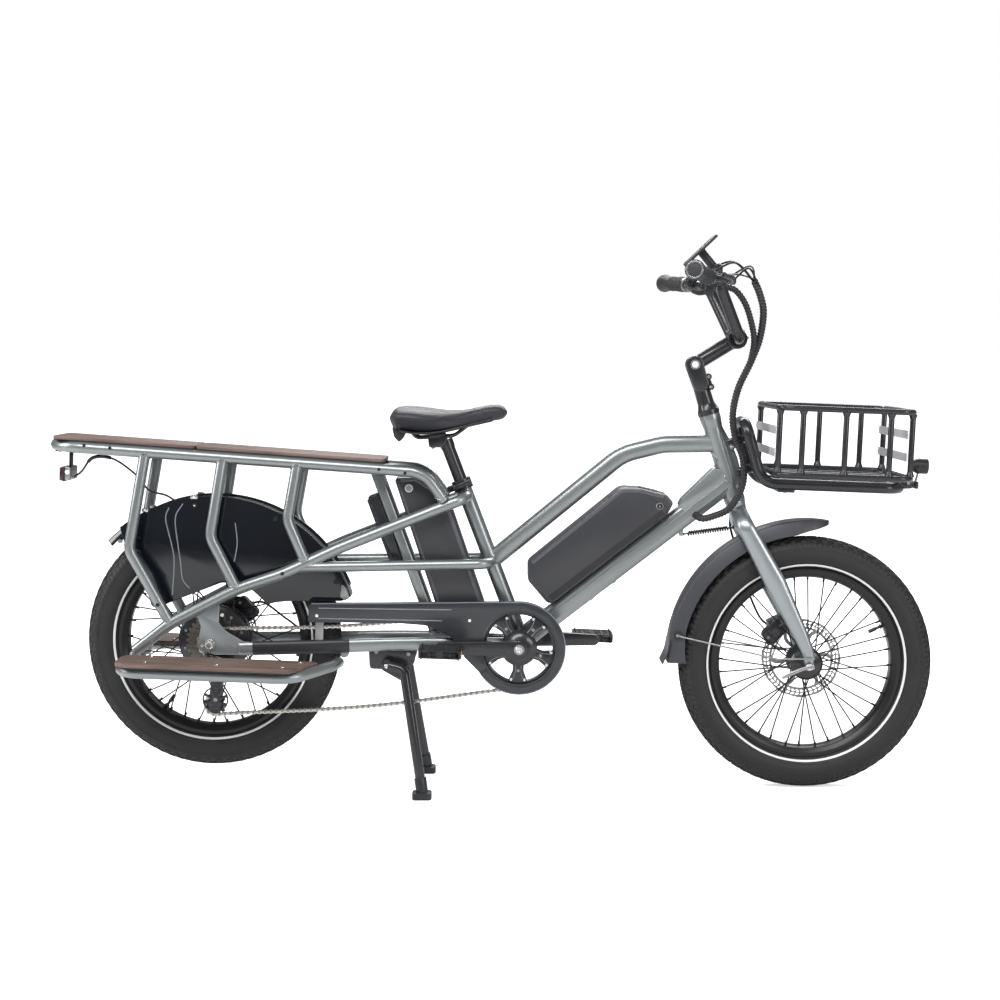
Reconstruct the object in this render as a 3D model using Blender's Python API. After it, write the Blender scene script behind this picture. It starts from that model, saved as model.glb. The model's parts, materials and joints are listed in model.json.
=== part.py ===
"""Longtail cargo bicycle with electric drive, drawn level and then pitched forward onto its centre stand.

x runs forward from the bottom bracket, y to the rider's left and z up from the level ground, all in
metres. The right side is the drive side. Each moving group hangs on an empty that stands on its joint.
"""

import math

import bmesh
import bpy
from mathutils import Matrix, Vector

# Clearances
GAP = 0.0003
RUN = 0.0006

# Wheels
WHEEL_RADIUS = 0.280
TYRE_HALF_WIDTH = 0.038
BEAD_RADIUS = 0.2035
RIM_INNER = 0.190
RIM_HALF_WIDTH = 0.0255
REAR_AXLE_BACK = 0.673
FRONT_AXLE_AHEAD = 0.635
SPOKE_RADIUS = 0.0012
SPOKES_A_FAMILY = 6
FRONT_HUB_RADIUS = 0.036
FRONT_HUB_HALF = 0.030
MOTOR_RADIUS = 0.078
MOTOR_LEFT = 0.040
MOTOR_RIGHT = -0.029
AXLE_RADIUS = 0.0058
ROTOR_RADIUS = 0.088
FRONT_ROTOR_Y = 0.041
REAR_ROTOR_Y = 0.051
ROTOR_THICKNESS = 0.0022

# Main frame
BRACKET_HEIGHT = 0.295
BRACKET_RADIUS = 0.021
BRACKET_HALF = 0.0365
SPINDLE_RADIUS = 0.0115
HEAD_TILT = math.radians(19.2)
HEAD_X = 0.4642
HEAD_Z = 0.6302
HEAD_LENGTH = 0.2005
HEAD_RADIUS = 0.0230
STEERER_RADIUS = 0.0143
STEERER_BORE = 0.0158
SEAT_TILT = math.radians(23.0)
SEAT_AHEAD = 0.010
SEAT_TUBE_LENGTH = 0.388
SEAT_TUBE_RADIUS = 0.0170
POST_RADIUS = 0.0145
TOP_TUBE_HALF = 0.0170
DOWN_TUBE_HALF = 0.0210

# Rear carrier
RACK_HALF = 0.0785
RAIL_RADIUS = 0.0125
RAIL_FRONT_Z = 0.6755
RAIL_FRONT_X = -0.3097
RAIL_REAR_X = -1.0310
RAIL_RISE = 0.0335
TAIL_LIGHT_RAIL_Z = 0.6990
STAY_RADIUS = 0.0130
STAY_HALF = 0.0850
MIDDLE_STAY_RADIUS = 0.0115
UPRIGHT_RADIUS = 0.0120
DECK_THICKNESS = 0.0090
DECK_HALF = 0.0780
DECK_REAR_X = -1.0170
DECK_JOINT_X = -0.7180
DECK_FRONT_X = -0.3075
MUDGUARD_RADIUS = 0.318
MUDGUARD_HALF = 0.0430
SKIRT_INNER_Y = MUDGUARD_HALF + GAP
SKIRT_THICKNESS = 0.0030
DROPOUT_INNER_Y = 0.0715
DROPOUT_THICKNESS = 0.0065
CHAINSTAY_HALF_HEIGHT = 0.0145
CHAINSTAY_HALF_WIDTH = 0.0088

# Foot boards
BOARD_INNER_Y = 0.1000
BOARD_OUTER_Y = 0.2200
BOARD_TOP_Z = 0.2545
BOARD_THICKNESS = 0.0120
BOARD_REAR_X = -0.8680
BOARD_FRONT_X = -0.4200
FOOTREST_RADIUS = 0.0118
FOOTREST_SIDES = 7
FOOTREST_Z = BOARD_TOP_Z - BOARD_THICKNESS - GAP - FOOTREST_RADIUS * math.cos(math.pi / FOOTREST_SIDES)

# Drive
CHAIN_Y = -0.0560
CHAIN_PITCH = 0.0127
RING_TEETH = 44
SPROCKET_TEETH = 14
PULLEY_TEETH = 11
CHAIN_HALF_HEIGHT = 0.0040
CHAIN_HALF_WIDTH = 0.0035
CHAIN_SAG = 0.0140
GUIDE_PULLEY = (0.016 - REAR_AXLE_BACK, WHEEL_RADIUS - 0.0670)
TENSION_PULLEY = (0.012 - REAR_AXLE_BACK, WHEEL_RADIUS - 0.1370)
CRANK_LENGTH = 0.170
CRANK_ANGLE = math.radians(1.0)
CRANK_INNER_Y = 0.0725
CRANK_OUTER_Y = 0.0870
PEDAL_INNER_Y = 0.0950
PEDAL_OUTER_Y = 0.1800
PEDAL_HALF_LENGTH = 0.0460
PEDAL_HALF_HEIGHT = 0.0130
GUARD_RADIUS = 0.1015
GUARD_OPENING = 0.0790
GUARD_FACE_Y = -0.0664
GUARD_THICKNESS = 0.0026

# Fork and steering
CROWN_RADIUS = 0.0195
LEG_Y = 0.0620
LEG_BOW = 0.0120
SKEWER_TAIL = 0.0130
DAMPER_REAR = Vector((0.3535, 0, 0.5530))
FENDER_RADIUS = 0.312
FENDER_HALF = 0.0425
STEM_PIVOT_HEIGHT = 0.3145
STEM_SLOT_RADIUS = 0.0275
CLAMP_AHEAD = 0.0892
CLAMP_RISE = 0.0590
BAR_RADIUS = 0.0125
BAR_HALF_WIDTH = 0.330
BAR_SWEEP_X = 0.318
BAR_TOP_Z = 1.104
RISER_TOP_X = 0.3935
RISER_TOP_Y = 0.100
GRIP_LENGTH = 0.128

# Front carrier and basket
CARRIER_HALF = 0.0600
CARRIER_RADIUS = 0.0125
CARRIER_Z = 0.6760
BASKET_REAR_X = 0.530
BASKET_FRONT_X = 0.8165
BASKET_HALF = 0.160
BASKET_FLOOR_Z = 0.7025
BASKET_TOP_Z = 0.8440
BASKET_WIRE = 0.0063
LAMP_HUB_HALF = 0.0085

# Centre stand
STAND_X = -0.287
STAND_Z = 0.2465
STAND_AHEAD = 0.0900
STAND_DROP = 0.2790
STAND_TOP_Y = 0.0790
STAND_FOOT_Y = 0.1250
STAND_LEG_RADIUS = 0.0110

# Seat
SADDLE_HOLLOW = 0.015

# Batteries
FRONT_BATTERY_HALF = 0.0440
REAR_BATTERY_HALF = 0.0420
FRONT_BATTERY_FOOT = Vector((0.0700, 0, 0.3930))
FRONT_BATTERY_NOSE = Vector((0.3120, 0, 0.5960))
REAR_BATTERY_TOP = Vector((-0.2874, 0, 0.6560))
REAR_BATTERY_HEEL = Vector((-0.1760, 0, 0.3520))

# Fineness of round shapes
BEND_STEP = math.radians(36)
SLIGHT_TURN = math.radians(9)
CORNER_STEP = math.radians(45)
CHAIN_STEP = math.radians(24)
WHEEL_SIDES = 24

UP = Vector((-math.sin(HEAD_TILT), 0, math.cos(HEAD_TILT)))
AHEAD = Vector((math.cos(HEAD_TILT), 0, math.sin(HEAD_TILT)))
LEFT = Vector((0, 1, 0))
SEAT_UP = Vector((-math.sin(SEAT_TILT), 0, math.cos(SEAT_TILT)))
SEAT_AHEAD_AXIS = Vector((math.cos(SEAT_TILT), 0, math.sin(SEAT_TILT)))
BRACKET = Vector((0, 0, BRACKET_HEIGHT))
REAR_AXLE = Vector((-REAR_AXLE_BACK, 0, WHEEL_RADIUS))
FRONT_AXLE = Vector((FRONT_AXLE_AHEAD, 0, WHEEL_RADIUS))
HEAD_FOOT = Vector((HEAD_X, 0, HEAD_Z))
STAND_PIVOT = Vector((STAND_X, 0, STAND_Z))
STEM_PIVOT = HEAD_FOOT + UP * STEM_PIVOT_HEIGHT
BAR_CLAMP = STEM_PIVOT + Vector((CLAMP_AHEAD, 0, CLAMP_RISE))


def steering(height, ahead=0.0, y=0.0):
    """A point this far up the steering axis from the foot of the head tube."""
    return HEAD_FOOT + UP * height + AHEAD * ahead + LEFT * y


def seat_axis(height, ahead=0.0, y=0.0):
    """A point this far up the seat tube's axis from the bottom bracket."""
    return BRACKET + Vector((SEAT_AHEAD, 0, 0)) + SEAT_UP * height + SEAT_AHEAD_AXIS * ahead + LEFT * y


def rail_z(x):
    """Height of the rack rail's centre line, which rises towards the rear."""
    return RAIL_FRONT_Z + (RAIL_FRONT_X - x) * RAIL_RISE


def pitch_radius(teeth):
    return CHAIN_PITCH / 2 / math.sin(math.pi / teeth)


def stand_pitch():
    """The nose-down angle at which the front tyre and both feet of the stand reach the ground."""
    along = FRONT_AXLE.x - (STAND_PIVOT.x + STAND_AHEAD)
    down = STAND_PIVOT.z - STAND_DROP - FRONT_AXLE.z
    return math.asin(-WHEEL_RADIUS / math.hypot(along, down)) - math.atan2(down, along)


# Paths and outlines


def bent(corners, radii, closed=False, step=BEND_STEP):
    """A path through the corners, each one rounded to its bend radius."""
    count = len(corners)
    points = []
    for i, corner in enumerate(corners):
        if not closed and i in (0, count - 1):
            points.append(corner.copy())
            continue
        before = corners[i - 1] - corner
        after = corners[(i + 1) % count] - corner
        come = -before.normalized()
        leave = after.normalized()
        turn = come.angle(leave)
        if turn < SLIGHT_TURN or radii[i] == 0:
            points.append(corner.copy())
            continue
        back = min(radii[i] * math.tan(turn / 2), 0.49 * before.length, 0.49 * after.length)
        radius = back / math.tan(turn / 2)
        inward = (leave - come * come.dot(leave)).normalized()
        start = corner - come * back
        steps = max(1, math.ceil(turn / step - 0.01))
        for k in range(steps + 1):
            a = turn * k / steps
            points.append(start + come * (radius * math.sin(a)) + inward * (radius * (1 - math.cos(a))))
    return points


def rounded(corners, radius):
    """A flat outline with every corner rounded to one radius."""
    flat = [Vector((u, v, 0)) for u, v in corners]
    return [(p.x, p.y) for p in bent(flat, [radius] * len(flat), True, CORNER_STEP)]


def through(points, per_span=3):
    """A smooth curve through the points (Catmull-Rom)."""
    ends = [points[0] * 2 - points[1]] + points + [points[-1] * 2 - points[-2]]
    curve = []
    for a, b, c, d in zip(ends, ends[1:], ends[2:], ends[3:]):
        for k in range(per_span):
            t = k / per_span
            curve.append(
                0.5
                * (2 * b + (c - a) * t + (2 * a - 5 * b + 4 * c - d) * t**2 + (3 * b - a - 3 * c + d) * t**3)
            )
    return curve + [points[-1].copy()]


def arc(centre, radius, first, last, steps):
    """Points (u, v) of an arc, in degrees from +u towards +v."""
    return [
        (centre[0] + radius * math.cos(math.radians(a)), centre[1] + radius * math.sin(math.radians(a)))
        for a in (first + (last - first) * k / steps for k in range(steps + 1))
    ]


def capsule(a, radius_a, b, radius_b, steps=4):
    """The outline of two circles and the straight sides that touch both."""
    along = math.degrees(math.atan2(b[1] - a[1], b[0] - a[0]))
    lean = math.degrees(math.acos((radius_a - radius_b) / math.hypot(b[0] - a[0], b[1] - a[1])))
    return arc(b, radius_b, along - lean, along + lean, steps) + arc(
        a, radius_a, along + lean, along + 360 - lean, steps
    )


def circle(centre, radius, sides):
    return arc(centre, radius, 0, 360 - 360 / sides, sides - 1)


# Solids, each returned as a bmesh


def finished(bm):
    bmesh.ops.remove_doubles(bm, verts=bm.verts, dist=1e-7)
    bmesh.ops.recalc_face_normals(bm, faces=bm.faces)
    if bm.calc_volume(signed=True) < 0:
        bmesh.ops.reverse_faces(bm, faces=bm.faces)
    return bm


def skin(rings, closed=False):
    """Faces between equal rings of points, with a cap on each end unless the rings close on themselves."""
    bm = bmesh.new()
    rows = [[bm.verts.new(p) for p in ring] for ring in rings]
    pairs = list(zip(rows, rows[1:])) + ([(rows[-1], rows[0])] if closed else [])
    for low, high in pairs:
        for k in range(len(low)):
            m = (k + 1) % len(low)
            bm.faces.new((low[k], low[m], high[m], high[k]))
    if not closed:
        bm.faces.new(rows[0])
        bm.faces.new(rows[-1])
    return finished(bm)


def frames(path, closed, first):
    """A tangent and a steady side direction at each point of the path."""
    side = first
    found = []
    for i, point in enumerate(path):
        before = path[i - 1] if i or closed else point
        after = path[(i + 1) % len(path)] if i + 1 < len(path) or closed else point
        tangent = (after - before).normalized()
        side = (side - tangent * side.dot(tangent)).normalized()
        found.append((tangent, side))
    return found


def sweep(path, half, sides=8, closed=False, power=2.0, side=LEFT):
    """A tube along a path. half is a radius, (side half, other half), or a function of the way along."""
    rings = []
    for i, (point, (tangent, across)) in enumerate(zip(path, frames(path, closed, side))):
        size = half(i / (len(path) - 1)) if callable(half) else half
        a, b = size if isinstance(size, tuple) else (size, size)
        other = tangent.cross(across)
        ring = []
        for k in range(sides):
            t = 2 * math.pi * (k + 0.5) / sides
            c, s = math.cos(t), math.sin(t)
            u = math.copysign(abs(c) ** (2 / power), c) * a
            v = math.copysign(abs(s) ** (2 / power), s) * b
            ring.append(point + across * u + other * v)
        rings.append(ring)
    return skin(rings, closed)


def rod(a, b, radius, sides=8):
    return sweep([a, b], radius, sides, side=LEFT if abs((b - a).normalized().y) < 0.9 else AHEAD)


def turned(profile, centre, axis=LEFT, sides=24, ring=False, first=0.0, sweep_angle=360.0):
    """The profile's (radius, height) points turned about an axis; a part turn is capped at both ends."""
    axis = axis.normalized()
    start = Vector((1, 0, 0)) if abs(axis.x) < 0.9 else Vector((0, 0, 1))
    u = (start - axis * start.dot(axis)).normalized()
    v = -axis.cross(u)
    whole = sweep_angle == 360.0
    steps = sides if whole else sides + 1
    bm = bmesh.new()
    columns = []
    poles = {}
    for k in range(steps):
        t = math.radians(first + sweep_angle * k / sides)
        out = u * math.cos(t) + v * math.sin(t)
        column = []
        for i, (radius, height) in enumerate(profile):
            if radius == 0:
                if i not in poles:
                    poles[i] = bm.verts.new(centre + axis * height)
                column.append(poles[i])
            else:
                column.append(bm.verts.new(centre + axis * height + out * radius))
        columns.append(column)
    pairs = list(zip(columns, columns[1:])) + ([(columns[-1], columns[0])] if whole else [])
    spans = len(profile) if ring else len(profile) - 1
    for left, right in pairs:
        for i in range(spans):
            j = (i + 1) % len(profile)
            corners = [left[i], left[j], right[j], right[i]]
            kept = [c for n, c in enumerate(corners) if c not in corners[:n]]
            if len(kept) > 2:
                bm.faces.new(kept)
    if not whole:
        bm.faces.new(columns[0])
        bm.faces.new(columns[-1])
    return finished(bm)


def disc(centre, radius, low, high, axis=LEFT, sides=16):
    return turned([(0, low), (radius, low), (radius, high), (0, high)], centre, axis, sides)


def prism(outline, low, high, plane="xz"):
    """An outline extruded from low to high, square to its plane."""
    place = {
        "xz": lambda u, v, w: Vector((u, w, v)),
        "xy": lambda u, v, w: Vector((u, v, w)),
        "yz": lambda u, v, w: Vector((w, u, v)),
    }[plane]
    return skin([[place(u, v, w) for u, v in outline] for w in (low, high)])


def slab(outline, origin, u_axis, v_axis, low, high):
    """An outline extruded along u cross v, anywhere in space."""
    n = u_axis.cross(v_axis).normalized()
    return skin([[origin + u_axis * u + v_axis * v + n * w for u, v in outline] for w in (low, high)])


def block(low, high):
    outline = [(low[0], low[1]), (high[0], low[1]), (high[0], high[1]), (low[0], high[1])]
    return prism(outline, low[2], high[2], "xy")


def softened(bm, width, segments=1):
    edges = [e for e in bm.edges if e.is_manifold and e.calc_face_angle(0) > math.radians(50)]
    bmesh.ops.bevel(bm, geom=edges, offset=width, segments=segments, affect="EDGES", clamp_overlap=True)
    return finished(bm)


def merged(parts):
    """Several separate closed shapes in one mesh, used as one Boolean operand."""
    whole = bmesh.new()
    for part in parts:
        mesh = bpy.data.meshes.new("part")
        part.to_mesh(mesh)
        whole.from_mesh(mesh)
        bpy.data.meshes.remove(mesh)
    return whole


# Objects and materials


def material(name, colour, roughness, metallic):
    made = bpy.data.materials.new(name)
    made.use_nodes = True
    shader = made.node_tree.nodes["Principled BSDF"]
    shader.inputs["Base Color"].default_value = (*colour, 1)
    shader.inputs["Roughness"].default_value = roughness
    shader.inputs["Metallic"].default_value = metallic
    return made


def object_of(name, bm):
    mesh = bpy.data.meshes.new(name)
    bm.to_mesh(mesh)
    bm.free()
    obj = bpy.data.objects.new(name, mesh)
    bpy.context.scene.collection.objects.link(obj)
    return obj


def welded(mesh):
    """Joins the twin vertices that a Boolean leaves a few nanometres apart."""
    bm = bmesh.new()
    bm.from_mesh(mesh)
    bmesh.ops.remove_doubles(bm, verts=bm.verts, dist=2e-6)
    bmesh.ops.dissolve_degenerate(bm, edges=bm.edges, dist=1e-6)
    bm.to_mesh(mesh)
    bm.free()


def combined(obj, add, cut):
    """Unites the added shapes with the object, then takes the cut shapes away."""
    for operation, shapes in (("UNION", add), ("DIFFERENCE", cut)):
        for shape in shapes:
            helper = object_of("helper", shape)
            helper.hide_render = True
            helper.display_type = "WIRE"
            step = obj.modifiers.new(operation.lower(), "BOOLEAN")
            step.operation = operation
            step.solver = "EXACT"
            step.object = helper
            bpy.context.view_layer.update()
            evaluated = obj.evaluated_get(bpy.context.evaluated_depsgraph_get())
            mesh = bpy.data.meshes.new_from_object(evaluated)
            welded(mesh)
            obj.modifiers.clear()
            plain, used = obj.data, helper.data
            obj.data = mesh
            bpy.data.objects.remove(helper)
            bpy.data.meshes.remove(plain)
            bpy.data.meshes.remove(used)


class Builder:
    """Places finished pieces under the empties that carry them."""

    def __init__(self):
        self.pivots = {}
        self.materials = {}

    def pivot(self, name, place, parent=None):
        empty = bpy.data.objects.new(name, None)
        empty.empty_display_size = 0.05
        bpy.context.scene.collection.objects.link(empty)
        origin = Vector((0, 0, 0))
        if parent:
            empty.parent = self.pivots[parent]["empty"]
            origin = self.pivots[parent]["place"]
        empty.location = place - origin
        self.pivots[name] = {"empty": empty, "place": place.copy()}

    def add(self, name, shape, pivot, finish, add=(), cut=()):
        obj = object_of(name, shape)
        if add or cut:
            combined(obj, add, cut)
        carrier = self.pivots[pivot]
        obj.data.transform(Matrix.Translation(-carrier["place"]))
        obj.parent = carrier["empty"]
        obj.data.materials.clear()
        obj.data.materials.append(self.materials[finish])
        obj.data.shade_smooth()
        obj.data.set_sharp_from_angle(angle=math.radians(35))
        return obj


# Main frame


def head_tube(grow=0.0):
    r = HEAD_RADIUS + grow
    waist = r - 0.0025
    profile = [
        (0, 0),
        (r, 0),
        (r, 0.012),
        (waist, 0.030),
        (waist, HEAD_LENGTH - 0.030),
        (r, HEAD_LENGTH - 0.012),
        (r, HEAD_LENGTH),
        (0, HEAD_LENGTH),
    ]
    return turned(profile, HEAD_FOOT, UP, 12)


def seat_tube(grow=0.0):
    return sweep([seat_axis(0.0), seat_axis(SEAT_TUBE_LENGTH)], SEAT_TUBE_RADIUS + grow, 12)


def bracket_shell(grow=0.0):
    return disc(BRACKET, BRACKET_RADIUS + grow, -BRACKET_HALF - grow, BRACKET_HALF + grow, LEFT, 14)


def down_tube(grow=0.0):
    low = BRACKET + Vector((0.004, 0, 0.008))
    high = steering(0.047)
    return sweep([low, high], (DOWN_TUBE_HALF - 0.001 + grow, DOWN_TUBE_HALF + grow), 12, power=3.0)


def top_tube(grow=0.0):
    corners = [
        seat_axis(0.198),
        Vector((0.212, 0, 0.7240)),
        Vector((0.300, 0, 0.7490)),
        steering(0.1325),
    ]
    half = TOP_TUBE_HALF + grow
    return sweep(bent(corners, [0, 0.12, 0.12, 0]), (half - 0.0020, half), 12, power=2.4)


def head_gusset():
    outline = [(0.345, 0.632), (0.4105, 0.7010), (0.430, 0.700), (0.425, 0.640), (0.380, 0.610)]
    return prism(outline, -0.013, 0.013)


def build_main_frame(b):
    bore = STEERER_BORE
    post_bore = POST_RADIUS + 0.0005
    bosses = [
        rod(Vector((x - 0.006, 0, z + 0.014)), Vector((x + 0.008, 0, z - 0.010)), 0.0045, 6)
        for x, z in ((0.159, 0.402), (0.206, 0.441))
    ]
    tab = block((DAMPER_REAR.x - 0.0095, -0.004, DAMPER_REAR.z - 0.004),
        (DAMPER_REAR.x - GAP, 0.004, DAMPER_REAR.z + 0.021))
    b.add(
        "main_frame",
        head_tube(),
        "bicycle",
        "frame_paint",
        add=[down_tube(), top_tube(), seat_tube(), bracket_shell(), head_gusset(), merged(bosses),
        front_dock(), tab],
        cut=[
            sweep([steering(-0.01), steering(HEAD_LENGTH + 0.01)], bore, 14),
            sweep([seat_axis(0.150), seat_axis(SEAT_TUBE_LENGTH + 0.02)], post_bore, 12),
            disc(BRACKET, SPINDLE_RADIUS + RUN, -0.06, 0.06, LEFT, 12),
        ],
    )


# Rear carrier


def long_stay(side, grow=0.0):
    """The stay that leaves the seat tube sideways and runs down to the foot board's rear end."""
    start = seat_axis(0.353)
    corners = [
        start,
        start + Vector((0, side * 0.062, 0)),
        Vector((-0.400, side * 0.0760, 0.5005)),
        Vector((-0.518, side * STAY_HALF, 0.4410)),
        Vector((-0.617, side * STAY_HALF, 0.4040)),
        Vector((-0.761, side * STAY_HALF, 0.3216)),
        Vector((-0.834, side * STAY_HALF, 0.2600)),
    ]
    return sweep(bent(corners, [0, 0.038, 0.25, 0.3, 0.3, 0.2, 0]), STAY_RADIUS + grow, 8, side=SEAT_UP)


def middle_stay(side, grow=0.0):
    start = seat_axis(0.1985)
    corners = [
        start,
        start + Vector((0, side * 0.066, 0)),
        Vector((-0.482, side * 0.0822, 0.4560)),
    ]
    return sweep(bent(corners, [0, 0.036, 0]), MIDDLE_STAY_RADIUS + grow, 7, side=SEAT_UP)


def top_tube_root():
    """The space beside the top tube's lower end, where the middle stays stop short of it."""
    half = TOP_TUBE_HALF - 0.0020 + GAP
    return slab([(-0.002, -half), (0.050, -half), (0.050, half), (-0.002, half)], seat_axis(0.1985),
        SEAT_AHEAD_AXIS,
                LEFT, -0.025, 0.025)


def upright(side, top_x, kink, foot):
    corners = [
        Vector((top_x, side * RACK_HALF, rail_z(top_x))),
        Vector((kink[0], side * (RACK_HALF + 0.002), kink[1])),
        Vector((foot[0], side * STAY_HALF, foot[1])),
    ]
    return sweep(bent(corners, [0, 0.045, 0]), UPRIGHT_RADIUS, 6)


def rack_rail(grow=0.0):
    """One tube: up from the long stay, back along the deck, round its rear end and back the same way."""
    half = []
    for side in (-1, 1):
        half.append(
            [
                Vector((-0.1745, side * 0.0700, 0.6115)),
                Vector((-0.222, side * 0.0750, 0.6725)),
                Vector((RAIL_REAR_X, side * RACK_HALF, rail_z(RAIL_REAR_X))),
            ]
        )
    corners = half[0] + half[1][::-1]
    radii = [0, 0.070, RACK_HALF - 0.0005, RACK_HALF - 0.0005, 0.070, 0]
    return sweep(bent(corners, radii), RAIL_RADIUS + grow, 8)


def skirt_stubs(side):
    """Short posts from the uprights in to the skirt guard's flat outer face."""
    face = SKIRT_INNER_Y + SKIRT_THICKNESS + GAP
    places = ((-0.8500, 0.5050), (-0.6745, 0.5450), (-0.4942, 0.5170))
    posts = []
    for x, z in places:
        posts.append(rod(Vector((x, side * face, z)), Vector((x, side * RACK_HALF, z)), 0.0050, 6))
    return merged(posts)


def build_rear_carrier(b):
    uprights = (
        (-0.8235, (-0.8538, 0.4810), (-0.7567, 0.3190)),
        (-0.6560, (-0.6785, 0.5146), (-0.6173, 0.4040)),
        (-0.4945, (-0.5123, 0.5585), (-0.4697, 0.4680)),
    )
    for side, word in ((-1, "right"), (1, "left")):
        b.add(
            f"side_truss_{word}",
            long_stay(side),
            "bicycle",
            "frame_paint",
            add=[middle_stay(side)] + [upright(side, *place) for place in uprights] + [skirt_stubs(side)],
            cut=[seat_tube(GAP), rack_rail(GAP), top_tube_root()],
        )
    b.add("rack_rail", rack_rail(), "bicycle", "frame_paint", cut=[long_stay(s, GAP) for s in (-1, 1)])


def deck_board(rear_x, front_x):
    """A wooden board that lies along the sloping rails."""
    outline = rounded([(rear_x, -DECK_HALF), (front_x, -DECK_HALF), (front_x, DECK_HALF),
        (rear_x, DECK_HALF)], 0.012)
    low = RAIL_RADIUS + GAP
    return skin(
        [[Vector((x, y, rail_z(x) + low + up)) for x, y in outline] for up in (0, DECK_THICKNESS)]
    )


def build_deck(b):
    b.add("deck_board_rear", deck_board(DECK_REAR_X, DECK_JOINT_X - 0.001), "bicycle", "wood")
    b.add("deck_board_front", deck_board(DECK_JOINT_X + 0.001, DECK_FRONT_X), "bicycle", "wood")


def guard_shell(centre, radius, half, lip, wall, first, last, sides):
    """A mudguard: a shallow channel turned part of the way round a wheel."""
    outer = [
        (radius - lip, -half),
        (radius, -half + 0.010),
        (radius, half - 0.010),
        (radius - lip, half),
    ]
    inner = [
        (radius - lip, half - wall),
        (radius - wall, half - 0.0112),
        (radius - wall, -half + 0.0112),
        (radius - lip, -half + wall),
    ]
    return turned(outer + inner, centre, LEFT, sides, ring=True, first=first, sweep_angle=last - first)


def skirt_outline():
    rim = arc((REAR_AXLE.x, REAR_AXLE.z), MUDGUARD_RADIUS + 0.003, 24, 137, 13)
    lower = rounded(
        [(-0.824, 0.3390), (-0.7665, 0.3640), (-0.6523, 0.4130), (-0.5884, 0.3970), (-0.5558, 0.3690),
         (-0.5136, 0.3758), (-0.3728, 0.3813), (-0.378, 0.4400), (-0.60, 0.52), (-0.80, 0.48)],
        0.014,
    )
    keep = [p for p in lower if p[1] < 0.4435 and not (p[0] < -0.7 and p[1] > 0.42)]
    lowest_rear = min(range(len(keep)), key=lambda i: keep[i][0])
    ordered = keep[lowest_rear:] + keep[:lowest_rear]
    return rim + ordered


def build_mudguard(b):
    b.add(
        "rear_mudguard",
        guard_shell(REAR_AXLE, MUDGUARD_RADIUS, MUDGUARD_HALF, 0.016, 0.002, 20, 138, 12),
        "bicycle",
        "guard_plastic",
    )
    for side, word in ((-1, "right"), (1, "left")):
        faces = sorted((side * SKIRT_INNER_Y, side * (SKIRT_INNER_Y + SKIRT_THICKNESS)))
        b.add(f"skirt_guard_{word}", prism(skirt_outline(), *faces), "bicycle", "guard_plastic")


# Chainstays and dropouts


def chainstay_tube(side, grow=0.0):
    path = through(
        [
            Vector((-0.006, side * 0.022, 0.2970)),
            Vector((-0.100, side * 0.0400, 0.2965)),
            Vector((-0.250, side * 0.0550, 0.2925)),
            Vector((-0.450, side * 0.0665, 0.2810)),
            Vector((-0.612, side * (DROPOUT_INNER_Y + DROPOUT_THICKNESS / 2), 0.2720)),
        ],
        2,
    )
    return sweep(path, (CHAINSTAY_HALF_WIDTH + grow, CHAINSTAY_HALF_HEIGHT + grow), 7)


def dropout(side):
    outline = rounded(
        [(-0.560, 0.2600), (-0.560, 0.2860), (-0.610, 0.2900), (-0.640, 0.3150), (-0.640, 0.3960),
         (-0.700, 0.3620), (-0.672, 0.3200), (-0.698, 0.2980), (-0.698, 0.2640), (-0.660, 0.2560)],
        0.007,
    )
    low, high = sorted((side * DROPOUT_INNER_Y, side * (DROPOUT_INNER_Y + DROPOUT_THICKNESS)))
    return prism(outline, low, high)


def build_chainstays(b):
    for side, word in ((-1, "right"), (1, "left")):
        b.add(
            f"chainstay_{word}",
            chainstay_tube(side),
            "bicycle",
            "frame_paint",
            add=[dropout(side)],
            cut=[
                bracket_shell(GAP),
                seat_tube(GAP),
                long_stay(side, GAP),
                disc(REAR_AXLE, AXLE_RADIUS + GAP, -0.1, 0.1, LEFT, 12),
            ],
        )


# Foot boards


def footrest_path(side):
    corners = [
        Vector((-0.392, side * 0.0650, 0.2490)),
        Vector((-0.400, side * 0.1050, 0.2480)),
        Vector((-0.480, side * 0.1960, FOOTREST_Z)),
        Vector((-0.850, side * 0.1960, FOOTREST_Z)),
        Vector((-0.850, side * 0.0850, FOOTREST_Z)),
    ]
    return bent(corners, [0, 0.030, 0.070, 0.050, 0])


def build_footrests(b):
    for side, word in ((-1, "right"), (1, "left")):
        tube = sweep(footrest_path(side), FOOTREST_RADIUS, FOOTREST_SIDES, side=Vector((0, 0, 1)))
        foot = Vector((-0.846, side * STAY_HALF, FOOTREST_Z))
        b.add(
            f"footrest_tube_{word}",
            tube,
            "bicycle",
            "frame_paint",
            add=[rod(foot + Vector((0.003, 0, -0.004)), Vector((-0.834, side * 0.0850, 0.2570)), 0.0105)],
            cut=[long_stay(side, GAP), chainstay_tube(side, GAP)],
        )
        inner, outer = side * BOARD_INNER_Y, side * BOARD_OUTER_Y
        outline = rounded(
            [(BOARD_REAR_X, inner), (BOARD_REAR_X, outer), (BOARD_FRONT_X - 0.065, outer),
            (BOARD_FRONT_X, inner)],
            0.030,
        )
        b.add(
            f"footboard_{word}",
            prism(outline, BOARD_TOP_Z - BOARD_THICKNESS, BOARD_TOP_Z, "xy"),
            "bicycle",
            "wood",
            cut=[sweep(footrest_path(side), FOOTREST_RADIUS + GAP, FOOTREST_SIDES, side=Vector((0, 0, 1)))],
        )


# Wheels


def ground_angle():
    """Turns the wheels so that a vertex, not a flat, stands on the ground once the bicycle is pitched."""
    return -90 - math.degrees(stand_pitch())


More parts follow.
